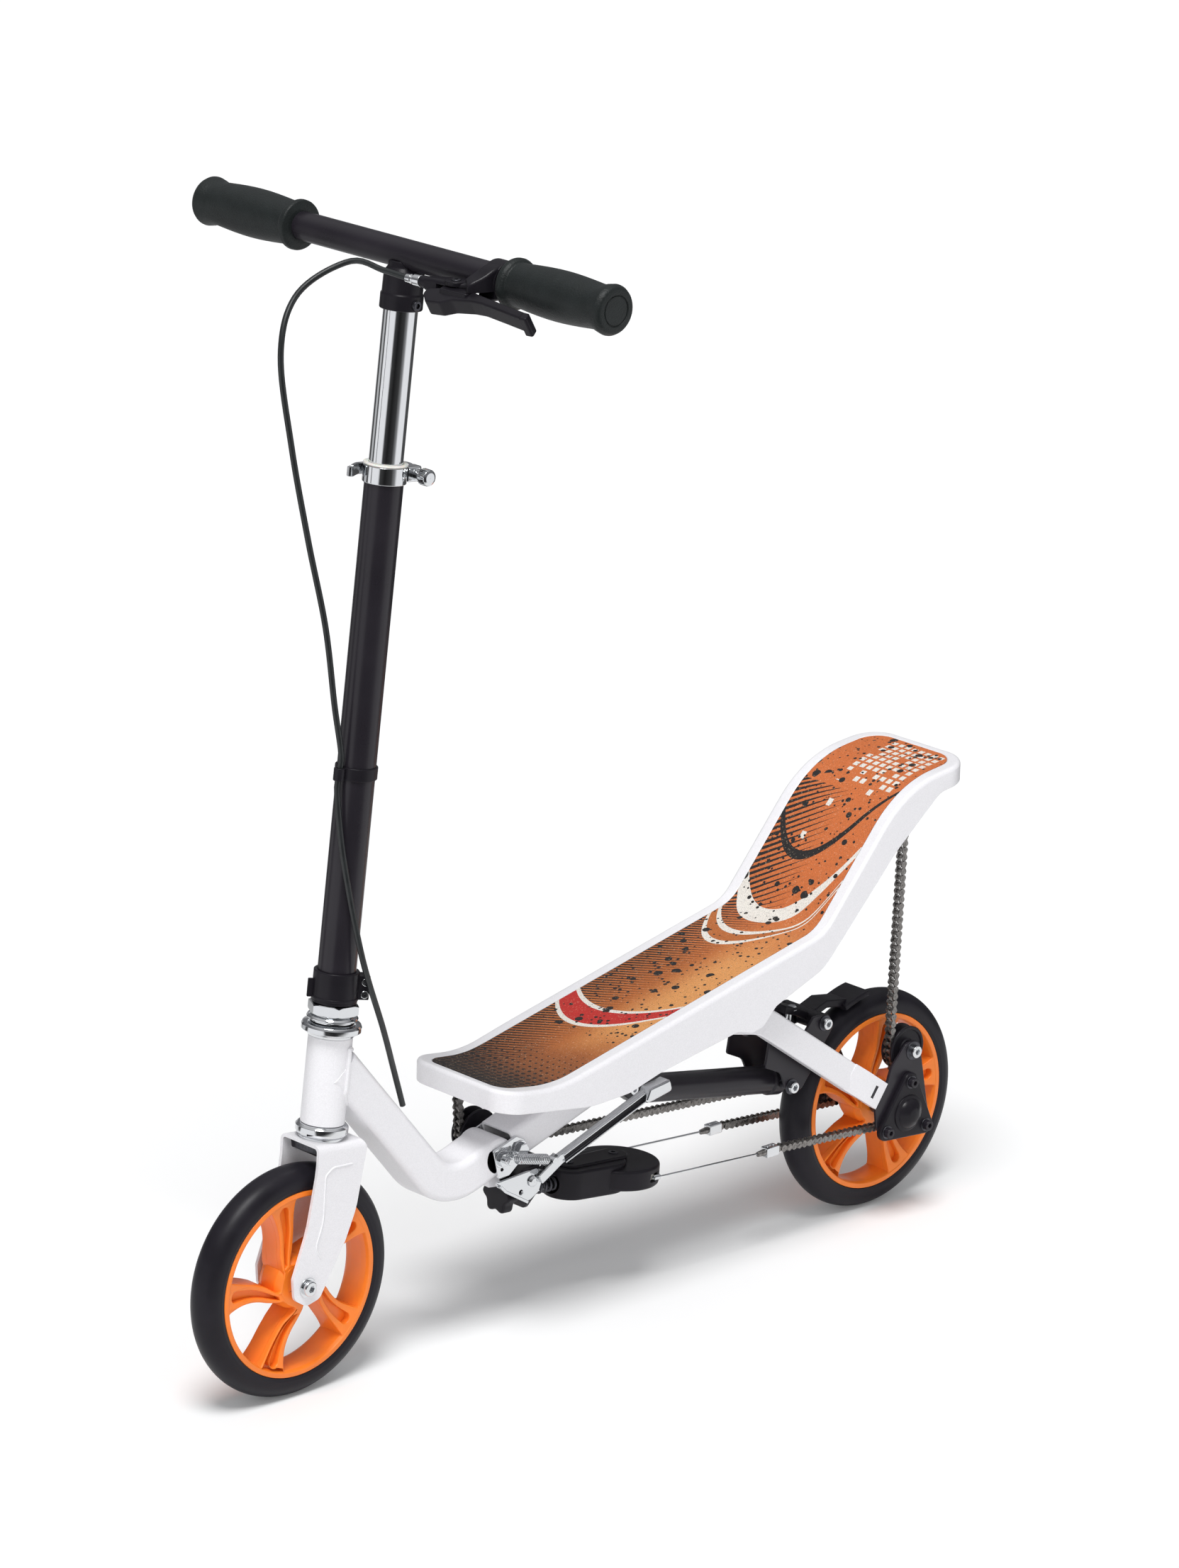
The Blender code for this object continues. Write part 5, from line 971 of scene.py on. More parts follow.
def axle_shapes():
    """Front axle: socket headed bolt on each side, washer and spacers inside the fork."""
    spacer = [(0, 20.8), (8, 20.8, 0.6), (6.2, 17.6, 1), (7.4, 14.9, 0.5), (0, 14.9)]
    shapes = []
    for mirrored in (False, True):
        axle = along_y(FRONT_AXLE_X, WHEEL_R, mirrored)
        out = axle @ shift(z=24.2)
        head = socket_bolt(out @ shift(z=0.9), 6.6, 4.2, 0.5, 1.6)
        shapes += finished("chrome", rod(8.6, 0, 1, out), head, turned(spacer, axle))
    return shapes + finished("steel", rod(4, -24, 24, along_y(FRONT_AXLE_X, WHEEL_R)))


def nut_shapes():
    """Stacked washers and a chromed hexagon lock nut with chamfered corners."""
    hexagon = plate([circle(0, 0, 38 / math.sqrt(3), 6)], 223.6, 232.8, 0.8, STEER)
    cone = [(0, 232.9), (19.2, 232.9), (22.2, 231.2), (22.2, 225.2), (19.2, 223.5), (0, 223.5)]
    cone = turned(cone, STEER, 0)
    dish = turned([(0, 222.2), (20.2, 222.2), (21.4, 220.6), (21.4, 219.2), (0, 219.2)], STEER, 0.6)
    washer, spacer = rod(17.8, 222.2, 223.6, STEER, 0.5), rod(18.4, 217, 219.3, STEER)
    return finished("chrome", carved(hexagon, keeps=[cone]), washer, dish, spacer)


def clamp_shapes():
    """Band that grips the stem's foot, with a split lug, its two screws and a fin."""
    grip, rib = sleeve(19, 15.6, 233.3, 260, STEER, 0.9), sleeve(19.7, 15.6, 236, 238.6, STEER, 0.6)
    shapes = finished("plastic", grip, rib)
    lug_frame, fin_frame = STEER @ turn(150, "Z"), STEER @ turn(-30, "Z")
    for low, high in both_ways(0.9, 6.5):
        jaw = rounded([(16.5, low), (27.4, low, 1), (27.4, high, 2), (16.5, high)])
        shapes += finished("plastic", plate([jaw], 236.4, 257, 1.0, lug_frame))
    for height in (241.5, 252):
        across = lug_frame @ shift(23, 0, height) @ turn(90, "X")
        shapes += finished("steel", rod(2, -8, 8, across))
        for side in (0, 180):
            head = across @ turn(side, "X") @ shift(z=6.3)
            shapes += finished("chrome", socket_bolt(head, 3.3, 2.6, 0.5, 0.5))
    return shapes + finished("plastic", block((17, -1.5, 236.4), (23.2, 1.5, 252), 0.7, fin_frame))


def knurled(depth, ridges, low, high, least):
    """Straight knurling between two heights of a turned shape, where its radius is over the least."""

    def wave(a, h, r):
        """Change of the radius at an angle, a height and a radius."""
        if r > least and low < h < high:
            return depth if math.cos(ridges * a) > 0 else -depth
        return 0.0

    return wave


def collar_shapes():
    """Chromed clamp at the top of the stem: ring, ears, cross bolt and knurled nut."""
    ear = [(-15, -12), (-15, 12), (-31, 12, 5), (-31, 1.2, 1), (-17, 1.2), (-17, -1.2), (-31, -1.2, 1),
           (-31, -12, 5)]
    nut = [(0, 28), (3.4, 28, 0.3), (4.4, 28.2, 0.4), (6.4, 27.2, 0.5), (6.6, 26, 0), (6.6, 19.5, 0),
           (5, 18.2), (5, 12), (0, 12)]
    skewer = STEER @ shift(-24, 0, 672.75) @ turn(-90, "X")
    shapes = finished("chrome", sleeve(18, 15.4, 665.5, 680, STEER, 0.8))
    shapes += finished("chrome", plate([rounded(ear)], 666.5, 679, 1.2, STEER))
    shapes += finished("steel", rod(3, -13.5, 24, skewer))
    knurl = knurled(0.35, 22, 19, 26.5, 5.5)
    return shapes + finished("chrome", turned(nut, skewer, 0.3, steps=132, wave=knurl))


def lever_shapes():
    """Quick release lever of bent chromed strip, hooked round the stem, on its cam barrel."""
    path = [(-21, -20.5), (-6, -23.5, 12), (10, -23.5, 12), (22, -16)]
    tip = [(18, -19.5), (22.5, -15.5, 2), (25.5, -15.8)]
    strip = plate([rounded(band(path, 3.4), 1.2)], 667.6, 677.4, 0.8, STEER)
    hook = plate([rounded(band(tip, 3.0), 1)], 668.4, 676.6, 0.7, STEER)
    return finished("chrome", strip, hook, rod(5.8, 666.6, 678.8, STEER @ shift(-24, -20, 0), 1))


def strap_shapes():
    """Moulded strap round the stem, with its lock at the side and the clip that holds the cable."""
    clip, side = STEER @ shift(*CLIP_PLACE), STEER @ turn(40, "Z")
    strap, eye = sleeve(17.6, 15.9, *STRAP, STEER, 0.7), sleeve(4.7, 2.6, *STRAP, clip, 0.6)
    return finished("plastic", strap, eye, block((-24, -4.5, 422.5), (-16.5, 4.5, 431), 0.9, side))


class SCOOTER_OT_column(Operator):
    """Builds the fork, head bearing, stem and its clamps"""

    bl_idname = "scooter.column"
    bl_label = "Fork and stem"

    def execute(self, context):
        sizes = context.scene.scooter_sizes
        piece("fork_sheet", "steerer", ["fork"], fork_shapes(sizes))
        piece("axle_bolt", "steerer", ["front_axle"], axle_shapes())
        lower = [(20, 130.2, 0.8), (22, 128.2, 0.8), (22, 124, 0.6), (21, 121.5, 0.8), (15, 121.5),
                 (15, 130.2)]
        piece("cup_lower", "front_frame", ["lower_cup"], finished("chrome", turned(lower, STEER, ring=True)))
        upper = [(20, 216.5, 0.8), (24, 215.6, 1), (25, 213.5, 0.6), (25, 209.5, 0.8), (20.5, 207.6, 1),
                 (19.6, 205.3, 0.4), (15, 205.3), (15, 216.5)]
        piece("cup_upper", "front_frame", ["upper_cup"], finished("chrome", turned(upper, STEER, ring=True)))
        piece("nut_stack", "steerer", ["lock_nut"], nut_shapes())
        piece("clamp_band", "steerer", ["stem_clamp"], clamp_shapes())
        piece("stem", "steerer", ["stem_tube"], finished("black", sleeve(16, 14.4, 236, 679.7, STEER, 0.5)))
        piece("strap", "steerer", ["cable_strap"], strap_shapes())
        bush = sleeve(18.3, 14.2, 680.3, 681.8, STEER, 0.4)
        piece("bush", "steerer", ["height_bush"], finished("nylon", bush))
        piece("collar", "steerer", ["height_collar"], collar_shapes())
        piece("collar_lever", "height_lever", ["quick_release_lever"], lever_shapes())
        return {"FINISHED"}


# Handlebar


def grip_profile():
    """Grip: flange, waist, swelling palm, raised end and a plug."""
    swell = [(17.8 + 2.5 * math.sin(math.pi * k / 10) ** 1.1, 137 + k * 8.9, 0) for k in range(11)]
    return [(0, 242.4), (11.4, 242.4, 0.6), (11.8, 241.6, 0.2), (12.4, 241.6, 0.2), (12.8, 242.6, 0.5),
            (18.2, 242.2, 3.2), (20.6, 237.5, 2.2), (19.4, 231.5, 1.5), *swell[::-1], (17.6, 134.5, 1.5),
            (19.4, 133.2, 1.0), (20.9, 131.0, 1.6), (20.7, 126.6, 2.0), (15, 125, 0.6), (0, 125)]


def block_shapes(bar):
    """Moulded T block: collar with a step line, saddle under the bar, cross bolt and nut."""
    profile = [(0, 845.5), (13.2, 845.5, 1), (13.4, 840.6, 2), (16.4, 836.4, 2.5), (16.6, 820, 0.6),
               (17.5, 818.6, 0.6), (17.5, 806.5, 1.2), (0, 805.5)]
    shapes = finished("plastic", carved(turned(profile, STEER, 0.3), cuts=[rod(12.1, -40, 40, bar, 0)]))
    x, _, z = on_column(812)
    left, right = outer_faces(x, z, 16.6)
    return shapes + finished("steel", socket_bolt(left, 4.2, 3.2), *hex_bolt(right, 8, 3.2, 0.9))


def hand_clamp_shapes(bar_x, bar_z):
    """Moulded lever clamp with its pivot screw, band, screw and cable barrel."""
    x, y = LEVER_PIVOT
    bar, pivot = along_y(bar_x, bar_z), shift(x, y, 0)
    # Centre, heading in degrees, half width, half height and height of the cast arm, from bar to barrel
    stations = [
        (bar_x + 5, 112.5, 0, 8.0, 14.6, bar_z),
        (bar_x + 13, 111.5, -8, 8.6, 13.4, bar_z - 1),
        (bar_x + 21, 108.5, -22, 9.6, 11.0, bar_z - 4),
        (bar_x + 29, 103, -40, 10.4, 8.6, LEVER_Z + 1.5),
        (x - 8, 96, -56, 10.4, 7.2, LEVER_Z),
        (x - 3, 86, -72, 10.0, 6.9, LEVER_Z),
        (x, 76, -80, 8.2, 6.7, LEVER_Z),
        (x + 2, 66, -82, 6.4, 6.2, LEVER_Z),
        (x + 3.2, 57, -82, 5.2, 5.2, LEVER_Z),
    ]
    rows = []
    for cx, cy, heading, half_w, half_h, cz in eased(stations, 5):
        a = math.radians(heading)
        section = box_section(half_w, half_h, 3.2)
        rows.append([(cx - v * math.sin(a), cy + v * math.cos(a), cz + w) for v, w in section])
    slot = [(x - 10, y - 10), (x + 40, y - 22), (x + 40, y + 50), (x - 10, y + 40)]
    slot = plate([slot], LEVER_Z - 3.1, LEVER_Z + 3.1, 0, WORLD)
    arm = carved(closed(skin(rows)), cuts=[rod(12.2, 90, 140, bar, 0), slot], soft=0.5, angle=50)
    cheeks = [rod(9, LEVER_Z + low, LEVER_Z + high, pivot, 0.9) for low, high in ((-7.4, -3.2), (3.2, 7.4))]
    shapes = finished("plastic", arm, *cheeks, sleeve(16, 12.2, 104.5, 120.5, bar, 0.9))
    shapes += finished("steel", socket_bolt(shift(x, y, LEVER_Z + 7.2), 4, 1.0, 0.4, 0.6))
    shapes += finished("steel", rod(2.4, LEVER_Z - 7.6, LEVER_Z + 7, pivot))
    shapes += finished("steel", socket_bolt(shift(bar_x + 13, 112.5, LEVER_Z - 12), 3.4, 3, 0.5, 0.5))
    barrel = aimed((x + 1, y - 14, LEVER_Z), (x + 5, 34, LEVER_Z))
    adjuster = [(0, 23), (4.6, 23), (5.2, 19.5, 0.3), (5.2, 8.2, 0.3), (4.5, 7), (4.5, 0), (0, 0)]
    knurl = knurled(0.25, 16, 8.6, 19, 5)
    shapes += finished("plastic", turned(adjuster, barrel, 0.3, steps=96, wave=knurl))
    ferrule = [(0, 38), (3.6, 38), (3.9, 33, 0.4), (3.2, 32.4, 0.2), (3.2, 30), (4.7, 29.6, 0.4),
               (4.9, 22.5, 0.4), (0, 22.5)]
    return shapes + finished("chrome", turned(ferrule, barrel, 0.3))


def blade_shapes():
    """Cast brake blade: tongue between the holder plates, deep body and a turned-down tip."""
    x, y = LEVER_PIVOT
    tongue = [(x - 6, y - 6, 5), (x + 5, y - 8, 4), (x + 16, y - 2, 3), (x + 14, y + 27, 3),
              (x + 5, y + 26, 4), (x - 6, y + 8, 6)]
    body = [(12, 63, 5), (5, 83, 5), (4, 99, 6), (1.5, 112, 8), (3.5, 130, 25), (8, 181, 2), (15.5, 183, 2),
            (13, 155, 30), (11, 131, 12), (12, 119, 10), (16, 101, 8), (22, 92, 6), (24, 78, 5)]
    tip = [(8, 176, 1), (7.8, 183, 1.5), (15.5, 186, 2), (16, 178, 1)]
    slope = shift(x + 5, 0, LEVER_Z + 5) @ turn(30, "Y")
    return finished(
        "plastic",
        plate([rounded(tongue)], LEVER_Z - 2.7, LEVER_Z + 2.7, 0.8, WORLD),
        plate([rounded(body)], -14.5, 0, 1.6, slope),
        plate([rounded(tip)], -18, 0.2, 1.4, slope),
    )


class SCOOTER_OT_handlebar(Operator):
    """Builds the height tube, T block, bar, grips and brake lever"""

    bl_idname = "scooter.handlebar"
    bl_label = "Handlebar"

    def execute(self, context):
        bar_x, _, bar_z = on_column(BAR_HEIGHT)
        bar = along_y(bar_x, bar_z)
        piece("height_tube", "bar", ["inner_tube"], finished("chrome", sleeve(14, 12.4, 430, 834.7, STEER)))
        piece("tee_block", "bar", ["t_block"], block_shapes(bar))
        piece("bar_tube", "bar", ["handlebar"], finished("black", sleeve(12, 10, -BAR_HALF, BAR_HALF, bar)))
        for word, mirrored in (("left", False), ("right", True)):
            grip = turned(grip_profile(), along_y(bar_x, bar_z, mirrored), 0)
            piece(f"hand_grip_{word}", "bar", [f"grip_{word}"], finished("grip", grip))
        piece("lever_holder", "bar", ["lever_clamp"], hand_clamp_shapes(bar_x, bar_z))
        piece("brake_blade", "hand_lever", ["brake_lever"], blade_shapes())
        return {"FINISHED"}


class SCOOTER_OT_cable(Operator):
    """Builds the brake cable in an upper and a lower length, split at the clip on the stem"""

    bl_idname = "scooter.cable"
    bl_label = "Brake cable"

    def execute(self, context):
        x, _ = LEVER_PIVOT
        by_clip = [on_column(height, *CLIP_PLACE) for height in (444, 428, 425.5, 409.5)]
        above, clip_top, clip_low, below = by_clip
        upper = [(x + 5, 33.5, LEVER_Z), (x + 8, 10, LEVER_Z + 2), (268, -20, 942), (306, -38, 918),
                 (330, -30, 875), (322, -25, 798), (312, -15, 721), (300.5, -6, 649.5),
                 (295, 0, 584), above, clip_top]
        lower = [clip_low, below, (294.5, 13.5, 455), (285, 26, 376), (261, 26, 309), (239, 15, 266),
                 (225, 12, 229)]
        upper, lower = (finished("cable", tube(smooth_route(route), 2.5)) for route in (upper, lower))
        made = piece("cable_upper", None, ["brake_cable_upper"], upper, final=True)
        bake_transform(made)
        made = piece("cable_lower", None, ["brake_cable_lower"], lower, final=True)
        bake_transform(made)
        return {"FINISHED"}


# Beams and fold joint


def box_section(half_w, half_d, radius):
    """Rounded rectangle as offsets across the beam and up from its centre line."""
    corners = [(-half_w, -half_d), (half_w, -half_d), (half_w, half_d), (-half_w, half_d)]
    return rounded(corners, radius, 15)


def line_through(corners, step=6.0):
    """Side-view line with its inner corners rounded, as points of the middle plane."""
    far = [(corners[-1][0], -900), (corners[0][0], -900)]
    return [(x, 0, z) for x, z in rounded([*corners, *far], 0, step)[:-2]]


def front_beam_shapes(sizes):
    """Bent box tube, its round front end at the hinge, the head tube and the weld beads."""
    head = on_column(182.3)
    run = Vector((head[0] - BEND_CORNER[0], head[2] - BEND_CORNER[1]))
    along = run.normalized()
    top = Vector(BEND_CORNER) + run - along * 4
    corners = [tuple(top), (*BEND_CORNER, 66.5), FOLD_HINGE]
    line = rounded([*corners, (FOLD_HINGE[0], 600), (top.x, 600)], 0, 4)[:-2]
    section = box_section(BEAM_HALF_W, 16.7, 6)
    beam = swept([(x, 0, z) for x, z in line], section)
    bore = rod(15.5, 100, 240, STEER, 0)
    head_profile = [(18.5, 205, 0.8), (18.5, 130.5, 0.8), (15.3, 130.5), (15.3, 205)]
    shapes = finished("white", carved(beam, cuts=[bore]), turned(head_profile, STEER, ring=True))
    # The weld runs where each line along the beam's skin meets the head tube
    bead = []
    to_head = STEER.inverted()
    ahead = to_head.to_3x3() @ Vector((along.x, 0, along.y))
    for side, rise in section:
        on_tube = math.sqrt(max(0.0, 18.5**2 - min(abs(side), 17.6) ** 2))
        far = top + Vector((-along.y, along.x)) * rise
        start = to_head @ Vector((far.x * MM, 0, far.y * MM))
        travel = (-(on_tube - 0.4) * MM - start.x) / ahead.x
        hit = STEER @ (start + ahead * travel)
        bead.append((hit.x / MM, side * 0.985, hit.z / MM))
    weld = tube([*bead, bead[0], bead[1]], sizes.weld_bead / MM, sides=8)
    end = [(0, 19), (14.7, 19, 2), (16.7, 17, 2), (16.7, -17, 2), (14.7, -19, 2), (0, -19)]
    knuckle = turned(end, along_y(*FOLD_HINGE), 0.5)
    catch = plate([rounded([(110, 128), (124, 130), (125, 146), (113, 148)], 2)], -9, 9, 0.8)
    return shapes + finished("white", weld, knuckle, catch)


def rear_beam_shapes():
    """Straight box tube, open in front, with the deck's pivot tube welded across its rear end."""
    front = 17.7

    def straight(start, stop, section):
        """Box along the beam's line between two places in X."""
        ends = (on_rear_beam(start), on_rear_beam(stop))
        return swept([(x, 0, z) for x, z in ends], section)

    body = straight(front, PIVOT_REACH, box_section(BEAM_HALF_W, 15, 5))
    hollow = straight(front - 10, front + 60, box_section(16.2, 12.2, 2.5))
    pivot = along_y(*PIVOT)
    cross_tube = turned([(12, 32.6, 0.6), (12, -32.6, 0.6), (5.4, -32.6), (5.4, 32.6)], pivot, ring=True)
    shapes = finished("white", carved(body, cuts=[hollow], soft=0.5, angle=70), cross_tube)
    for y in (-BEAM_HALF_W, BEAM_HALF_W):
        bead = [(12, y + 1.6), (14, y, 1.2), (12, y - 1.6), (10, y)]
        shapes += finished("white", turned(bead, pivot, 0.5, ring=True))
    return shapes


def bracket_shapes():
    """Chromed plates of the fold joint and the bolt that carries the front pulley."""
    outline = [(131, 167.5, 3), (105, 175.5, 3), (95.5, 170.5, 4), (91, 158.5, 4), (112, 142, 3),
               (124, 141, 3)]
    holes = [circle(*FOLD_HINGE, 4.6, 32), circle(112.5, 166.5, 1.9, 24), circle(120.5, 149.5, 1.6, 24)]
    bolt = along_y(*PULLEY_BOLT)
    cap = turned([(0, -42.7), (6.8, -42.7), (6.8, -45.4, 0.8), (0, -45.4)], bolt)
    shapes = []
    for low, high in both_ways(19.3, 22.0):
        shapes += finished("chrome", plate([rounded(outline), *holes], low, high, 0.6))
    shapes += finished("steel", rod(4, -42.5, 24, bolt))
    return shapes + finished("chrome", *hex_bolt(bolt @ shift(z=22), 11, 4.2, 0.9), cap)


def hinge_shapes():
    """Bolt of the fold joint, a hexagon head on each side, with a grooved end on the left."""
    hinge = along_y(*FOLD_HINGE)
    end = [(0, 34), (3, 34), (3, 33, 0.2), (2.2, 32.6, 0.2), (2.2, 30.6, 0.2), (3, 30.2), (3, 25), (0, 25)]
    shapes = finished("steel", rod(4, -24, 24, hinge))
    for face in outer_faces(*FOLD_HINGE, 22.3):
        shapes += finished("chrome", *hex_bolt(face, 11, 3.6, 0.8))
    return shapes + finished("chrome", turned(end, hinge))


def latch_shapes():
    """Web under the beam, ears for the rivet, and the rivet."""
    web = [(-21.5, 36), (21.5, 36), (21.5, 4, 4), (10, -13.6, 5), (-10, -13.6, 5), (-21.5, 4, 4)]
    foot = plate([rounded(web), circle(0, 0, 4.3, 32)], 112, 116, 0.8, ALONG_ROD)
    a, b = on_rear_beam(20, -15.3), on_rear_beam(80, -15.3)
    above = plate([[a, b, (b[0], 220), (a[0], 220)]], -60, 60, 0)
    shapes = finished("black", carved(foot, cuts=[above]))
    x, z = RIVET
    ear = rounded([(x - 12, z - 9), (x + 8, z - 9), (x + 8, z + 8), (x - 12, z + 12)], 4)
    for low, high in both_ways(17, 22):
        shapes += finished("black", plate([ear], low, high, 0.7))
    floor = rounded([(x - 12, z - 9), (x + 4, z - 10.3), (x + 4, z - 7.3), (x - 12, z - 6)], 1)
    shapes += finished("black", plate([floor], -17.5, 17.5, 0.6))
    pin = [(0, 28.2), (3.2, 28, 1), (4.9, 26.4, 0.8), (4.9, 25.3), (2.9, 25.3), (2.9, 15), (0, 15)]
    return shapes + finished("chrome", turned(pin, along_y(x, z)))


def fold_lever_shapes():
    """Chromed latch: cam plate on the rivet, channel arm whose inside is darkened as painted shade, and a
    broad paddle.
    """
    cam = [(131, 140, 2), (122, 131, 4), (95, 115, 3), (89.5, 116, 4), (80.5, 121, 4), (76, 132.5, 4),
           (83, 142.5, 3)]
    start, elbow, tip = (84, 134), (61, 147), (-38, 182)
    shapes = finished(
        "chrome",
        plate([rounded(cam), circle(*RIVET, 3.4, 32), circle(101, 125, 2.2, 24)], 22.3, 25.0, 0.6),
        plate([rounded(band([start, elbow], 9), 1.5)], 22.3, 31, 0.9),
        plate([rounded(band([start, (*elbow, 6), tip], 9), 1.5)], 26, 31.4, 0.8),
    )
    along = (Vector(tip) - Vector(elbow)).normalized()
    for offset in (3.7, -3.7):
        aside = Vector((-along.y, along.x)) * offset
        lip = band([tuple(Vector(elbow) + aside + along * 2), tuple(Vector(tip) + aside - along * 4)], 1.5)
        shapes += finished("chrome", plate([rounded(lip, 0.5)], 31, 34, 0.5))
    # A thin black strip along the channel's floor: painted shade inside the channel
    shapes += finished("plastic", plate([band([(58, 148.2), (-34, 180.6)], 5.6)], 31.2, 31.6, 0))
    paddle = [(-30, 175, 3), (-36, 188.5, 3), (-60, 192, 3), (-63, 181, 3), (-42, 177, 3)]
    lip = band([(127, 137), (121.5, 131.5), (95.5, 115.8)], 2.6)
    return shapes + finished(
        "chrome",
        plate([rounded(paddle)], 24, 37, 2.0),
        rod(3, 27, 34.4, along_y(70.7, 148.8)),
        plate([rounded(lip, 0.8)], 22.8, 28.5, 0.6),
    )


def coil_points(radius, curls, reach, lead, placed, count):
    """Route of a spring: a straight end, curls, and a straight end."""
    run = reach - 2 * lead
    points = [(radius, 0, 0), (radius, 0, lead * 0.6)]
    for k in range(curls * count + 1):
        a = 2 * math.pi * k / count
        points.append((radius * math.cos(a), radius * math.sin(a), lead + run * k / (curls * count)))
    points += [(radius, 0, reach - lead * 0.6), (radius, 0, reach)]
    return [tuple(placed @ (Vector(p) * MM) / MM) for p in points]


class SCOOTER_OT_beams(Operator):
    """Builds the two beams and the fold joint between them"""

    bl_idname = "scooter.beams"
    bl_label = "Beams and fold joint"

    def execute(self, context):
        sizes = context.scene.scooter_sizes
        piece("beam_front", "front_frame", ["front_beam"], front_beam_shapes(sizes))
        piece("beam_rear", "rear_frame", ["rear_beam"], rear_beam_shapes())
        piece("fold_plates", "rear_frame", ["fold_bracket"], bracket_shapes())
        piece("fold_bolt", "rear_frame", ["hinge_bolt"], hinge_shapes())
        piece("latch_web", "rear_frame", ["latch_base"], latch_shapes())
        piece("latch_lever", "lock_lever", ["fold_lever"], fold_lever_shapes())
        begin = (FOLD_HINGE[0] - 3.3, 31.6, FOLD_HINGE[1] + 2)
        over = (74.0, 31.6, 150.3)
        reach = (Vector(over) - Vector(begin)).length
        coil = tube(coil_points(4.1, 17, reach, 4.5, aimed(begin, over), 14), 0.62, sides=8)
        made = piece("latch_spring", None, ["fold_spring"], finished("chrome", coil), final=True)
        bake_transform(made)
        return {"FINISHED"}


# Deck


DECK_LINE = [(158, 236.5), (96, 227.5, 120), (-214, 296.7, 40), (-309.5, 408.3, 105), (-396, 418.6)]
SKIRT_LINE = [(158, 216.5), (58, 202.5, 60), (14, 204.5, 14), (-22, 214.5, 10), (-112, 230, 8),
              (-130, 225, 10), (-143, 228, 6), (-157, 243, 10), (-215, 265, 40), (-298, 351.5, 60),
              (-353, 395.5, 20), (-396, 400.5)]


def plan_ring(front, back, nose_r, tail_r, widths, inset=0.0, sides=120):
    """Plan of the deck: the right edge from nose to tail, then its mirror image back to the nose."""
    right = []

    def add(x, share, r):
        """Adds a point of the edge; in a corner of a radius it has gone out by a share of it."""
        right.append((x, -(between(x, widths) - inset - r * (1 - share))))

    for k in range(13):
        a = math.pi / 2 * k / 12
        add(front - inset - nose_r * (1 - math.cos(a)), math.sin(a), nose_r)
    start, stop = front - inset - nose_r, back + inset + tail_r
    for k in range(1, sides):
        add(start + (stop - start) * k / sides, 1, 0)
    for k in range(13):
        a = math.pi / 2 * k / 12
        add(back + inset + tail_r * (1 - math.sin(a)), math.cos(a), tail_r)
    return right + [(x, -y) for x, y in right[::-1]]


def layered(rings):
    """Closed skin over matching rings, its first and last filled across from side to side."""
    shape = bmesh.new()
    loops = [[shape.verts.new([c * MM for c in p]) for p in ring] for ring in rings]
    count = len(loops[0])
    for a, b in zip(loops, loops[1:]):
        for k in range(count):
            n = (k + 1) % count
            shape.faces.new((a[k], a[n], b[n], b[k]))
    for loop in (loops[0], loops[-1]):
        for k in range(count // 2 - 1):
            shape.faces.new((loop[k], loop[k + 1], loop[count - 2 - k], loop[count - 1 - k]))
    return closed(shape)


def deck_shapes():
    """Pressed shell: rounded rim, shallow recess for the mat, skirts, inner face, ears and chain lugs."""
    top = [(x, z) for x, _, z in line_through(DECK_LINE, 2.5)]
    low = [(x, z) for x, z in rounded([*SKIRT_LINE, (-396, 900), (158, 900)], 0, 6)[:-2]]
    outer = [(DECK_ENDS[0], 61), (40, 64), (-280, 64), (DECK_ENDS[1], 62)]
    recess = [(147.3, 46.8), (80, 51.3), (-300, 51.3), (-385.3, 49.8)]

    def shell(inset, lift, skirt=False, mat=False):
        """Ring of the deck, or of the mat's recess in it, drawn inwards and lifted from its height there."""
        if mat:
            plan = plan_ring(147.3, -385.3, 14.3, 20.3, recess, -inset)
        else:
            plan = plan_ring(*DECK_ENDS, 22 - inset, 28 - inset, outer, inset)
        return [(x, y, between(x, low if skirt else top) + lift) for x, y in plan]

    edge, wall = 4.0, 2.5
    rings = [shell(wall + 3.4, -7.5), shell(wall + 1.0, -8.5), shell(wall, -10.5)]
    rings += [shell(inset, lift, skirt=True) for inset, lift in ((wall, 0.6), (2.1, 0), (0.4, 0), (0, 0.6))]
    rim = (math.pi / 12 * k for k in range(7))
    rings += [shell(edge * (1 - math.cos(a)), -edge * (1 - math.sin(a))) for a in rim]
    rings += [shell(inset, lift, mat=True) for inset, lift in ((0.9, 0), (0.3, -0.15), (0, -0.6), (0, -1.5))]
    shapes = finished("white", layered(rings))
    x, z = PIVOT
    slope = (296.7 - 227.5) / (-214 - 96)
    ear = [(x - 15, 290), (x - 14, z - 9, 8), (x, z - 14, 8), (x + 14, z - 9, 8), (x + 22, 262)]
    ear = [(px, min(pz, 225.5 + slope * (px - 96))) for px, pz in rounded(ear, 0, 12)]
    for side in (-1, 1):
        low_y, high_y = sorted((side * 48, side * 51))
        shapes += finished("white", plate([ear, circle(x, z, 4.5, 32)], low_y, high_y, 0.6))
    for side, (ax, az), wide, tall in ((-1, NOSE_ANCHOR, 7, 2.6), (1, TAIL_ANCHOR, 8, 36)):
        y = side * CHAIN_Y
        shapes += finished("white", block((ax - wide, y - 5, az + 0.3), (ax + wide, y + 5, az + tall), 1))
    return shapes


def mat_shape():
    """Grip mat that follows the deck, its edge just rounded over."""
    top = [(x, z) for x, _, z in line_through(DECK_LINE, 2.5)]
    widths = [(MAT_ENDS[0], 46.5), (80, 51), (-300, 51), (MAT_ENDS[1], 49.5)]
    rings = []
    for inset, lift in ((0, -1.2), (0, -0.3), (0.15, -0.08), (0.5, 0)):
        plan = plan_ring(*MAT_ENDS, 14, 20, widths, inset)
        rings.append([(x, y, between(x, top) + lift) for x, y in plan])
    return layered(rings)


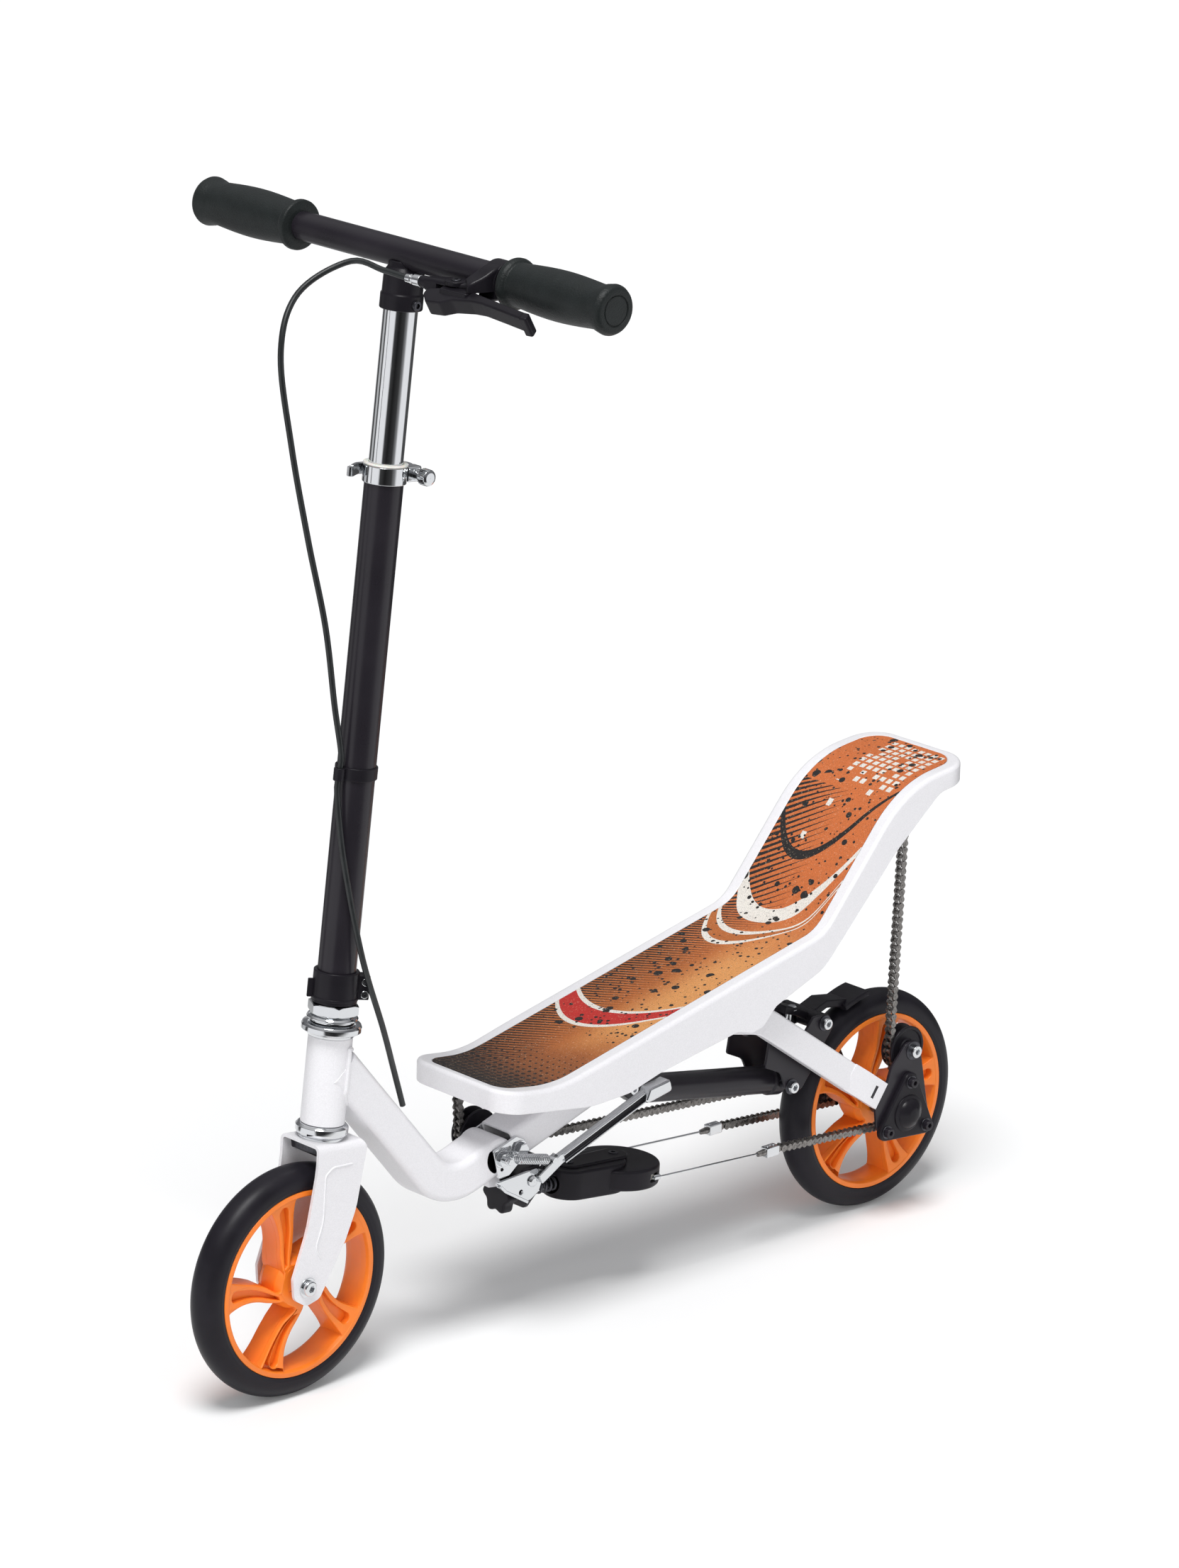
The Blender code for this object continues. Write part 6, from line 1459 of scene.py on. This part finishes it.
class SCOOTER_OT_deck(Operator):
    """Builds the rocking deck and its printed mat"""

    bl_idname = "scooter.deck"
    bl_label = "Deck"

    def execute(self, context):
        piece("deck_body", "deck", ["deck_shell"], deck_shapes(), 40)
        piece("grip_mat", "deck", ["deck_mat"], finished("mat", mat_shape()), 40)
        heads = [socket_bolt(face, 7, 3, 0.5, 1.2) for face in outer_faces(*PIVOT, 51.3)]
        bolt = finished("steel", rod(4, -50, 50, along_y(*PIVOT)), *heads)
        piece("pivot_bolt", "deck", ["deck_pivot_bolt"], bolt)
        return {"FINISHED"}


# Rear end


STAY_RISE = 0.7059
STAY_WIDTH = 25
STAY_Y = (33, 45.7)


def stay_shapes(side):
    """Flat bar from the deck pivot to the hub: it is thin at its foot and steps out over the hub plate."""

    def upright(low, high, *rings, soft=0):
        """Plate between two distances from the middle plane, on the stay's own side."""
        return plate(rings, *sorted((side * low, side * high)), soft)

    def cutter(corners, floor):
        """Block that takes away what lies above a height within corners in X and Y."""
        return plate([[(x, side * y) for x, y in corners]], floor, 300, 0, WORLD)

    along = Vector((1, STAY_RISE)).normalized()
    foot = Vector((-308, WHEEL_R + (-308 - REAR_AXLE_X) * STAY_RISE))
    knee, thin = foot + along * 178, foot + along * 38
    line = rounded(band([tuple(foot), (*knee, 60), PIVOT], STAY_WIDTH), 0, 4)
    wedge = [(-400, -10), (-400, 41), (thin.x - 6, 41), (thin.x + 8, 31), (thin.x + 8, -10)]
    bar = carved(upright(*STAY_Y, line), cuts=[cutter(wedge, 60)], soft=1.8, angle=50)
    over = rounded(band([tuple(foot), tuple(foot + along * 46)], STAY_WIDTH), 0, 4)
    start, stop = (foot + along * 20).x, (foot + along * 47).x
    ramp = [(start, 49.5), (stop, 45.5), (stop + 30, 45.5), (stop + 30, 60), (start, 60)]
    middle, half = foot + along * 11, Vector((-along.y, along.x)) * 6
    slot = rounded(band([tuple(middle + half), tuple(middle - half)], 4.2), 2)
    cuts = [cutter(ramp, -40), upright(48.6, 52, slot)]
    step = carved(upright(45, 49.4, over), cuts=cuts, soft=1.0, angle=50)
    # A thin black plate on the slot's floor: painted shade in the slot
    dark = finished("black", upright(48.2, 48.7, slot))
    eye = upright(*STAY_Y, circle(*PIVOT, 12.5, 64), circle(*PIVOT, 5.2, 32), soft=1.5)
    return finished("white", bar, step) + dark + finished("white", eye)


def hub_shapes(side):
    """Hub plate, triangular bearing cover on three socket bolts, and a domed cap."""
    mirrored = side < 0
    arm = [(IDLER[0] - 8, IDLER[1] + 8, 7), (IDLER[0] + 8, IDLER[1] + 9, 7), (-319, 144, 12)]
    stub = [(-347, 140, 8), (-330, 144, 8)]
    rest = [(-315.8, 134, 1), (-300.6, 112.4, 1), (-304, 90, 8), (-316, 80, 6), (-345, 76, 10),
            (-371, 84, 8), (-366, 104, 8)]
    rings = [rounded(stub + rest)] if mirrored else [rounded(arm + rest), circle(*IDLER, 4.6, 32)]
    shapes = finished("black", plate(rings, *sorted((side * 46, side * 49)), 0.7))
    hub = along_y(REAR_AXLE_X, WHEEL_R, mirrored)
    angles = [math.radians((85 if mirrored else 95) + 120 * k) * side for k in range(3)]
    reach, bolt_r = 45.5, 28.5
    corners = [(x, -y) for x, y in (polar(reach, a) for a in angles)]
    dome = [(0, 63), (6, 62.4, 5), (12.4, 58.8, 5), (13.6, 55.8, 0.5), (16.6, 55.0, 0.6), (16.8, 53, 0.4),
            (0, 53)]
    shapes += finished("plastic", plate([rounded(corners, 8.5)], 48.6, 54, 1.4, hub), turned(dome, hub, 0))
    for x, y in corners:
        place = hub @ shift(x * bolt_r / reach, y * bolt_r / reach, 53.9)
        shapes += finished("steel", rod(6, 0, 0.8, place, 0.3))
        shapes += finished("black", socket_bolt(place @ shift(z=0.7), 4.5, 4.4, 0.52, 0.7))
    return shapes


def brake_bracket_shapes():
    """Brake bracket: two cheeks, with a through bolt at the frame and one at the arm's pivot."""
    outline = [(-186, 169, 3), (-190.5, 195, 3), (-197, 196, 3), (-205, 178, 12), (-226, 182, 12),
               (-244, 203, 5), (-262, 202, 6), (-270, 190, 6), (-256, 172, 10), (-244, 154, 8),
               (-231, 138, 6), (-213, 143, 6), (-205, 160, 10)]
    shapes = []
    for low, high in both_ways(*CHEEK):
        shapes += finished("black", plate([rounded(outline)], low, high, 0.8))
    for place in (BRACKET_BOLT, BRAKE_PIVOT):
        shapes += finished("steel", rod(4, -24, 24, along_y(*place)))
        for face in outer_faces(*place, CHEEK[1]):
            shapes += finished("steel", rod(7, 0, 1, face, 0.3))
            shapes += finished("chrome", socket_bolt(face @ shift(z=0.9), 5.2, 4.6, 0.56, 1.0))
    return shapes


def brake_arm_shapes():
    """Brake arm with its nose, link, curved pad and cable nut."""
    x, z = BRAKE_PIVOT
    shapes = finished("plastic", rod(8, -22, 22, along_y(x, z), 0.8))
    nose = [(x, z), (x + 17, z + 9.5), (x + 34, z + 15.5)]
    link = [(x + 2, z + 2), (x - 18, z + 9), (x - 42, z + 5)]
    for line, soft in ((nose, 2), (link, 1.5)):
        shapes += finished("plastic", plate([rounded(band(line, 7), soft)], -10, 10, 1.2))
    angles = [math.radians(82 - 16 * k / 12) for k in range(13)]
    inner, outer = (
        [(REAR_AXLE_X + r * math.cos(a), WHEEL_R + r * math.sin(a)) for a in angles] for r in (103, 108)
    )
    shapes += finished("tyre", plate([inner + outer[::-1]], -15, 15, 1.2))
    nut = block((x + 17, 2, z - 1), (x + 26, 9, z + 12), 1.2)
    return shapes + finished("chrome", nut, *hex_bolt(shift(x + 21.5, 5.5, z + 12), 7, 3, 0.6))


def under_tube_shapes():
    """Round tube from a hanger under the rear beam back to the brake bracket."""
    front, back = Vector((-65.0, 172.0)), Vector((BRACKET_BOLT[0] - 8, BRACKET_BOLT[1] - 1.5))
    place = aimed((front.x, 0, front.y), (back.x, 0, back.y))
    reach = (back - front).length
    profile = [(0, reach), (11, reach), (14, reach - 2, 1), (14, reach - 14, 1), (12.5, reach - 15.5),
               (12.5, 0, 1), (0, 0)]
    a, b = on_rear_beam(150, -15.3), on_rear_beam(192, -15.3)
    hanger = plate([rounded([(-34, 174, 6), a, b, (-76, 166, 4), (-50, 162, 8)])], -9, 9, 1.0)
    bolts = [socket_bolt(face, 4.5, 3, 0.5) for face in outer_faces(-42, 179, 8.9)]
    return finished("black", turned(profile, place), hanger) + finished("chrome", *bolts)


def idler_bolt_shapes():
    """Bolt of the rear idler with its washers and spacers."""
    place = along_y(*IDLER)
    outer = finished("steel", rod(4, 28.5, 50, place), rod(8.6, 48.9, 49.7, place))
    head = finished("chrome", socket_bolt(place @ shift(z=49.6), 5.6, 5.0, 0.5, 0.7))
    return outer + head + finished("steel", rod(7, 42.6, 45.7, place), rod(6.5, 25.8, 28.6, place))


class SCOOTER_OT_rear(Operator):
    """Builds the stays, hub plates, lower tube and rear brake"""

    bl_idname = "scooter.rear"
    bl_label = "Rear end and brake"

    def execute(self, context):
        for side, word in ((1, "left"), (-1, "right")):
            piece(f"bar_{word}", "rear_frame", [f"stay_{word}"], stay_shapes(side))
            piece(f"hub_{word}", "rear_frame", [f"hub_plate_{word}"], hub_shapes(side))
        piece("lower_tube", "rear_frame", ["under_tube"], under_tube_shapes())
        piece("brake_plates", "rear_frame", ["brake_bracket"], brake_bracket_shapes())
        piece("brake_shoe", "rear_brake", ["brake_arm"], brake_arm_shapes())
        profile = [(0, 51), (5, 51), (5, 15.1), (4, 14.8), (4, -14.8), (5, -15.1), (5, -51), (0, -51)]
        axle = finished("steel", turned(profile, along_y(REAR_AXLE_X, WHEEL_R)))
        piece("axle_rear", "rear_frame", ["rear_axle"], axle)
        piece("idler_axle", "rear_frame", ["idler_bolt"], idler_bolt_shapes())
        return {"FINISHED"}


# Chain drive


def link_outline(place, along, height, waist):
    """Side plate of one link: two round ends and a drawn-in waist."""
    normal = Vector((-along.y, along.x))
    half = CHAIN_PITCH / 2
    points = []
    for end, first in ((1, -90), (-1, 90)):
        for k in range(7):
            a = math.radians(first + 180 * k / 6)
            points.append((end * half + height / 2 * math.cos(a), height / 2 * math.sin(a)))
        points.append((0, end * waist / 2))
    centre = place + along * half
    return [tuple(centre + along * u + normal * v) for u, v in points]


def slab(outline, low, high):
    """Thin flat plate between two distances across the scooter."""
    return skin([[(x, y, z) for x, z in outline] for y in (low, high)])


def chain_shapes(path, side):
    """Roller chain: inner and outer plates in turn, a roller and a pin at each joint."""
    stations = walk(path, CHAIN_PITCH)
    whole = bmesh.new()

    def take(shape):
        """Moves a closed shape into the whole."""
        mesh = closed(shape)
        whole.from_mesh(mesh)
        bpy.data.meshes.remove(mesh)

    y = side * CHAIN_Y
    for i, (place, _) in enumerate(stations):
        spread = ((3.1, 3.95) if i % 2 else (2.1, 2.95)) if i + 1 < len(stations) else None
        if spread:
            ahead = (stations[i + 1][0] - place).normalized()
            for way in (-1, 1):
                low, high = sorted((way * spread[0], way * spread[1]))
                take(slab(link_outline(place, ahead, 6.4, 3.0), y + low, y + high))
        for radius, reach in ((1.7, 2.0), (1.0, 4.15)):
            ring = circle(place.x, place.y, radius, 10)
            take(slab(ring, y - reach, y + reach))
    mesh = bpy.data.meshes.new("chain")
    whole.to_mesh(mesh)
    whole.free()
    return finished("chain", mesh)


def sprocket_shapes(side):
    """Sprocket with round tooth gaps on the long body of its freewheel."""
    place = along_y(REAR_AXLE_X, WHEEL_R, side < 0)
    rise = [(-0.5, -2.2), (-0.42, -1.9), (-0.34, -1.2), (-0.22, 0.2), (-0.10, 1.3)]
    tooth = [*rise, (0, 1.6), *[(-share, r) for share, r in rise[:0:-1]]]
    teeth = []
    for k in range(TEETH):
        teeth += [polar(PITCH_R + r, 2 * math.pi * (k + 0.5 + share) / TEETH) for share, r in tooth]
    body = [(10.2, 45.6, 0.8), (10.2, 15.2, 0.8), (5.5, 15.2), (5.5, 45.6)]
    cog = plate([teeth, circle(0, 0, 6, 32)], CHAIN_Y - 1.1, CHAIN_Y + 1.1, 0.35, place)
    shapes = finished("steel", turned(body, place, ring=True)) + finished("chain", cog)
    collar = turned([(11, 30, 0.6), (11, 24, 0.6), (9, 24), (9, 30)], place, ring=True)
    return shapes + finished("chrome", collar)


def pulley_shapes(centre, side):
    """Flanged guide wheel with a shallow web in its outer face."""
    inner, outer = CHAIN_Y - 6.7, CHAIN_Y + 6.7
    profile = [(20.3, outer, 0.9), (20.3, outer - 2.4, 0.6), (13.7, outer - 2.6), (13.7, inner + 2.6),
               (20.3, inner + 2.4, 0.6), (20.3, inner, 0.9), (4.3, inner), (4.3, outer - 0.2),
               (8, outer - 0.2, 0.4), (9, outer - 1.4, 0.5), (16.5, outer - 1.4, 0.5), (17.5, outer, 0.5)]
    return finished("plastic", turned(profile, along_y(*centre, side < 0), 0, ring=True))


def connector_shapes(y):
    """Block that joins a chain to its wire, with two grub screws and a tapered nose."""
    x, z = CONNECTOR
    low, high = x - 7.5, x + 7.5
    nose = turned([(0, 9), (2.2, 9), (3.2, 0), (0, 0)], aimed((high - 1, y, z), (high + 9, y, z)))
    screws = [socket_bolt(shift(place, y, z + 4.4), 1.6, 1, 0.5, 0.3) for place in (low + 4, high - 4)]
    body = block((low, y - 4.5, z - 4.5), (high, y + 4.5, z + 4.5), 1.2)
    return finished("chrome", body) + finished("chain", nose) + finished("chrome", *screws)


class SCOOTER_OT_drive(Operator):
    """Builds the chains, sprockets, pulleys, connectors and wires"""

    bl_idname = "scooter.drive"
    bl_label = "Chain drive"

    def execute(self, context):
        hub = ((REAR_AXLE_X, WHEEL_R), PITCH_R, 1)
        end = (CONNECTOR[0] - 7.8, CONNECTOR[1])
        drives = ((1, "left", TAIL_ANCHOR, IDLER, 8), (-1, "right", NOSE_ANCHOR, PULLEY_BOLT, 6))
        foot = Vector((REAR_AXLE_X + 1, WHEEL_R - PITCH_R))
        for side, word, anchor, guide, rise in drives:
            path = wound(anchor, [(guide, PULLEY_R, -1), hub], end)
            split = min(range(len(path)), key=lambda i: (path[i] - foot).length)
            above, below = chain_shapes(path[: split + 1], side), chain_shapes(path[split:], side)
            upper = piece(f"chain_{word}", None, [f"{word}_chain"], above, final=True)
            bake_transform(upper)
            lower = piece(f"chain_{word}_end", None, [f"{word}_chain_lower"], below, final=True)
            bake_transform(lower)
            piece(f"cog_{word}", f"{word}_sprocket", [f"sprocket_{word}"], sprocket_shapes(side))
            y = side * CHAIN_Y
            piece(f"joiner_{word}", f"{word}_connector", [f"connector_{word}"], connector_shapes(y))
            route = [(CONNECTOR[0] + 7.8, y, CONNECTOR[1]), point_in(TENSION, -9, y, 0)]
            wire = finished("chrome", tube(route, 0.9, sides=8))
            piece(f"wire_{word}", "rear_frame", [f"{word}_wire"], wire)
        piece("idler", "idler", ["idler_pulley"], pulley_shapes(IDLER, 1))
        piece("nose_wheel", "nose_pulley", ["front_pulley"], pulley_shapes(PULLEY_BOLT, -1))
        return {"FINISHED"}


def housing_shapes():
    """Round moulded housing with a thicker front end, a raised bridge, side windows and two screws."""
    slots = [block((-34, low, -4), (-6, high, 4), 1, TENSION) for low, high in both_ways(30, 42)]
    chamber = sleeve(36.2, 4, -4.5, 4.5, TENSION, 0)
    body = carved(plate([circle(0, 0, 37.5, 120)], -9, 9, 2.2, TENSION), cuts=[chamber, *slots])
    lobe = plate([hull_of_circles((22, 0, 24), (57, 0, 21))], -13, 13, 2.2, TENSION)
    lobe = carved(lobe, cuts=[chamber, rod(9.7, SPRING[0] - 0.3, 84, ALONG_ROD, 0)])
    bridge = plate([hull_of_circles((5, 0, 12.5), (57, 0, 11.5))], 8, 15, 1.4, TENSION)
    shapes = finished("plastic", body, lobe, bridge)
    for side in (-1, 1):
        mouth = aimed(point_in(TENSION, -11, side * 35.2, 0), point_in(TENSION, -30, side * 35.5, 0))
        shapes += finished("chrome", sleeve(2.5, 1.1, 0, 7, mouth, 0.3))
    for x in (5, 57):
        shapes += finished("steel", socket_bolt(TENSION @ shift(x, 0, 14.2), 4.2, 1.8, 0.5, 0.6))
    return shapes


def knob_shapes():
    """Lobed adjusting knob on its threaded rod."""
    lobes = [polar(15.2 + 1.8 * math.cos(6 * a), a) for a in (2 * math.pi * k / 144 for k in range(144))]
    knob, boss = plate([lobes], 128.5, 140.5, 2.2, ALONG_ROD), rod(7, 116.3, 129, ALONG_ROD, 0.6)
    return finished("plastic", knob, boss) + finished("steel", rod(3.5, 82, 118, ALONG_ROD))


class SCOOTER_OT_tensioner(Operator):
    """Builds the wire tensioner, its pulley, spring and knob"""

    bl_idname = "scooter.tensioner"
    bl_label = "Tensioner"

    def execute(self, context):
        piece("tension_housing", "tensioner", ["tensioner_housing"], housing_shapes())
        profile = [(34.1, 3.6, 0.5), (32.5, 0, 1.5), (34.1, -3.6, 0.5), (4.4, -3.6), (4.4, 3.6)]
        wheel = finished("nylon", turned(profile, TENSION, 0.3, ring=True))
        piece("wire_wheel", "wire_pulley", ["cable_pulley"], wheel)
        piece("knob", "adjuster", ["tension_knob"], knob_shapes())
        low, high = SPRING
        coil = tube(coil_points(6.3, 8, high - low, 2.2, ALONG_ROD @ shift(z=low), 24), 1.2, sides=10)
        made = piece("coil_spring", None, ["tension_spring"], finished("steel", coil), final=True)
        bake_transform(made)
        return {"FINISHED"}


# Stage


# The photograph's camera: azimuth, elevation and roll in degrees, place in metres, focal length in its pixels
CAMERA_ANGLES = (136.25, 17.66, 1.44)
CAMERA_PLACE = (3.7113, 3.8669, 2.1650)
FOCAL_PIXELS = 9472.69
PHOTO_HEIGHT = 2212
SENSOR = 36
FLOOR_REACH = 40

# Light of the surroundings on matt surfaces, and the share of white that the paper adds of its own
AMBIENT = (0.30, 0.303, 0.31)
FLOOR_GLOW = 0.05

# Tones of the room that mirrors see, by direction round the object: bright panels between dark openings
ROOM = (
    (0.0, 0.08), (0.12, 0.08), (0.14, 0.5), (0.22, 0.5), (0.235, 0.06), (0.285, 0.06), (0.30, 0.55),
    (0.345, 0.6), (0.352, 0.08), (0.378, 0.08), (0.39, 1.0), (0.54, 1.0), (0.562, 0.06), (0.63, 0.015),
    (0.72, 0.05), (0.77, 0.3), (0.80, 1.0), (0.925, 1.0), (0.945, 0.08), (1.0, 0.08),
)


def room_tone(tree, x, y):
    """Grey of the room in the direction (x, y)."""
    angle = put(tree, "Math", {0: y, 1: x}, operation="ARCTAN2")
    share = put(tree, "MapRange", {0: angle, 1: -math.pi, 2: math.pi})
    ramp = put(tree, "ValToRGB", {0: share})
    stops = ramp.color_ramp.elements
    while len(stops) < len(ROOM):
        stops.new(0.5)
    for stop, (place, tone) in zip(stops, ROOM):
        stop.position = place
        stop.color = (tone, tone, tone * 1.02, 1)
    return ramp.outputs[0]


def floor_material():
    """Seamless white paper: matt, it keeps the object's shadow.

    Seen directly it glows a little, so that its lit part reaches the white of a product picture. Far from the
    object, mirrors see the room's tones in it.
    """
    made, tree, shader = shaded("white paper sweep", linear("efefef"), 0.95, Specular_IOR_Level=0.1)
    path = put(tree, "LightPath")
    seen = put(tree, "Math", {0: path.outputs["Is Camera Ray"], 1: path.outputs["Is Transmission Ray"]},
               operation="MAXIMUM")
    strength = put(tree, "Math", {0: seen, 1: FLOOR_GLOW}, operation="MULTIPLY")
    glow = put(tree, "Emission", {0: (1, 1, 1, 1), 1: strength})
    paper = put(tree, "AddShader", {0: shader.outputs[0], 1: glow})
    where = put(tree, "SeparateXYZ", {0: spot(tree)})
    tone = room_tone(tree, where.outputs[0], where.outputs[1])
    room = put(tree, "Emission", {0: tone, 1: 1.0})
    flat = put(tree, "CombineXYZ", {0: where.outputs[0], 1: where.outputs[1]})
    distance = put(tree, "VectorMath", {0: flat}, operation="LENGTH")
    far = put(tree, "MapRange", {0: distance.outputs["Value"], 1: 0.8, 2: 1.2})
    mirrored = put(tree, "Math", {0: far, 1: path.outputs["Is Glossy Ray"]}, operation="MULTIPLY")
    total = put(tree, "MixShader", {0: mirrored, 1: paper, 2: room})
    tree.links.new(total.outputs[0], tree.nodes["Material Output"].inputs["Surface"])
    return made


def studio_world():
    """Even pale surroundings for matt surfaces; mirrors see the room's panels, with a bright ceiling."""
    world = bpy.data.worlds.new("white studio")
    bpy.context.scene.world = world
    world.use_nodes = True
    tree = world.node_tree
    backdrop = tree.nodes["Background"]
    path = put(tree, "LightPath")
    where = put(tree, "TexCoord")
    parts = put(tree, "SeparateXYZ", {0: where.outputs["Generated"]})
    room = room_tone(tree, parts.outputs[0], parts.outputs[1])
    above = put(tree, "MapRange", {0: parts.outputs[2], 1: 0.04, 2: 0.2})
    room = blended(tree, above, room, (0.17, 0.17, 0.18))
    high = put(tree, "MapRange", {0: parts.outputs[2], 1: 0.45, 2: 0.75})
    room = blended(tree, high, room, (0.6, 0.6, 0.61))
    tone = blended(tree, path.outputs["Is Glossy Ray"], AMBIENT, room)
    tone = blended(tree, path.outputs["Is Camera Ray"], tone, (1, 1, 1))
    tree.links.new(tone, backdrop.inputs["Color"])


def lamp(name, energy, spread, place):
    """Distant lamp of a given spread in degrees, that shines from a place towards the origin."""
    light = bpy.data.lights.new(name, "SUN")
    light.energy = energy
    light.angle = math.radians(spread)
    obj = bpy.data.objects.new(name, light)
    obj.location = place
    obj.rotation_euler = (-place).to_track_quat("-Z", "Y").to_euler()
    bpy.context.scene.collection.objects.link(obj)
    return obj


class SCOOTER_OT_stage(Operator):
    """Sets up the floor, the lamps, the surroundings and the camera"""

    bl_idname = "scooter.stage"
    bl_label = "Stage"

    def execute(self, context):
        scene = context.scene
        mesh = bpy.data.meshes.new("floor")
        corners = [(x * FLOOR_REACH, y * FLOOR_REACH, 0) for x, y in ((-1, -1), (1, -1), (1, 1), (-1, 1))]
        mesh.from_pydata(corners, [], [(0, 1, 2, 3)])
        mesh.materials.append(floor_material())
        floor = bpy.data.objects.new("floor", mesh)
        scene.collection.objects.link(floor)
        studio_world()
        azimuth, elevation, roll = (math.radians(a) for a in CAMERA_ANGLES)
        flat = math.cos(elevation)
        back = Vector((math.sin(azimuth) * flat, -math.cos(azimuth) * flat, math.sin(elevation)))
        level = Vector((math.cos(azimuth), math.sin(azimuth), 0))
        rise = back.cross(level)
        right = level * math.cos(roll) + rise * math.sin(roll)
        up = rise * math.cos(roll) - level * math.sin(roll)
        camera = bpy.data.objects.new("camera", bpy.data.cameras.new("camera"))
        camera.data.sensor_fit = "VERTICAL"
        camera.data.sensor_height = SENSOR
        camera.data.lens = FOCAL_PIXELS / PHOTO_HEIGHT * SENSOR
        camera.data.clip_end = 100
        camera.matrix_world = Matrix((right, up, back)).transposed().to_4x4()
        camera.location = CAMERA_PLACE
        scene.collection.objects.link(camera)
        scene.camera = camera
        toward = Vector((back.x, back.y, 0)).normalized()
        lamp("key", 2.5, 24, (toward * 0.40 - level * 0.05 + Vector((0, 0, 1))) * 3)
        fill = lamp("fill", 1.3, 80, toward * 2.7 + level * 0.3 + Vector((0, 0, 0.55)))
        fill.visible_glossy = False
        scene.view_settings.view_transform = "Standard"
        return {"FINISHED"}


class SCOOTER_PT_panel(Panel):
    """Lists the scooter's pieces in the sidebar"""

    bl_idname = "SCOOTER_PT_panel"
    bl_label = "Kids pedal scooter"
    bl_space_type = "VIEW_3D"
    bl_region_type = "UI"
    bl_category = "Scooter"

    def draw(self, context):
        for operator in OPERATORS:
            self.layout.operator(operator.bl_idname)
        for group in (context.scene.scooter_colours, context.scene.scooter_sizes):
            column = self.layout.column()
            for key in group.__annotations__:
                column.prop(group, key)


OPERATORS = (
    SCOOTER_OT_stage,
    SCOOTER_OT_wheels,
    SCOOTER_OT_column,
    SCOOTER_OT_handlebar,
    SCOOTER_OT_cable,
    SCOOTER_OT_beams,
    SCOOTER_OT_deck,
    SCOOTER_OT_rear,
    SCOOTER_OT_drive,
    SCOOTER_OT_tensioner,
)
CLASSES = (ScooterColours, ScooterSizes, *OPERATORS, SCOOTER_PT_panel)


def register():
    """Registers the classes and the scene's properties."""
    for cls in CLASSES:
        bpy.utils.register_class(cls)
    bpy.types.Scene.scooter_colours = PointerProperty(type=ScooterColours)
    bpy.types.Scene.scooter_sizes = PointerProperty(type=ScooterSizes)


def unregister():
    """Takes the scene's properties and the classes away again."""
    del bpy.types.Scene.scooter_sizes
    del bpy.types.Scene.scooter_colours
    for cls in reversed(CLASSES):
        bpy.utils.unregister_class(cls)


def main():
    """Builds the stage and every piece."""
    register()
    bpy.ops.scooter.stage()
    bpy.ops.scooter.wheels()
    bpy.ops.scooter.column()
    bpy.ops.scooter.handlebar()
    bpy.ops.scooter.cable()
    bpy.ops.scooter.beams()
    bpy.ops.scooter.deck()
    bpy.ops.scooter.rear()
    bpy.ops.scooter.drive()
    bpy.ops.scooter.tensioner()


if __name__ == "__main__":
    main()
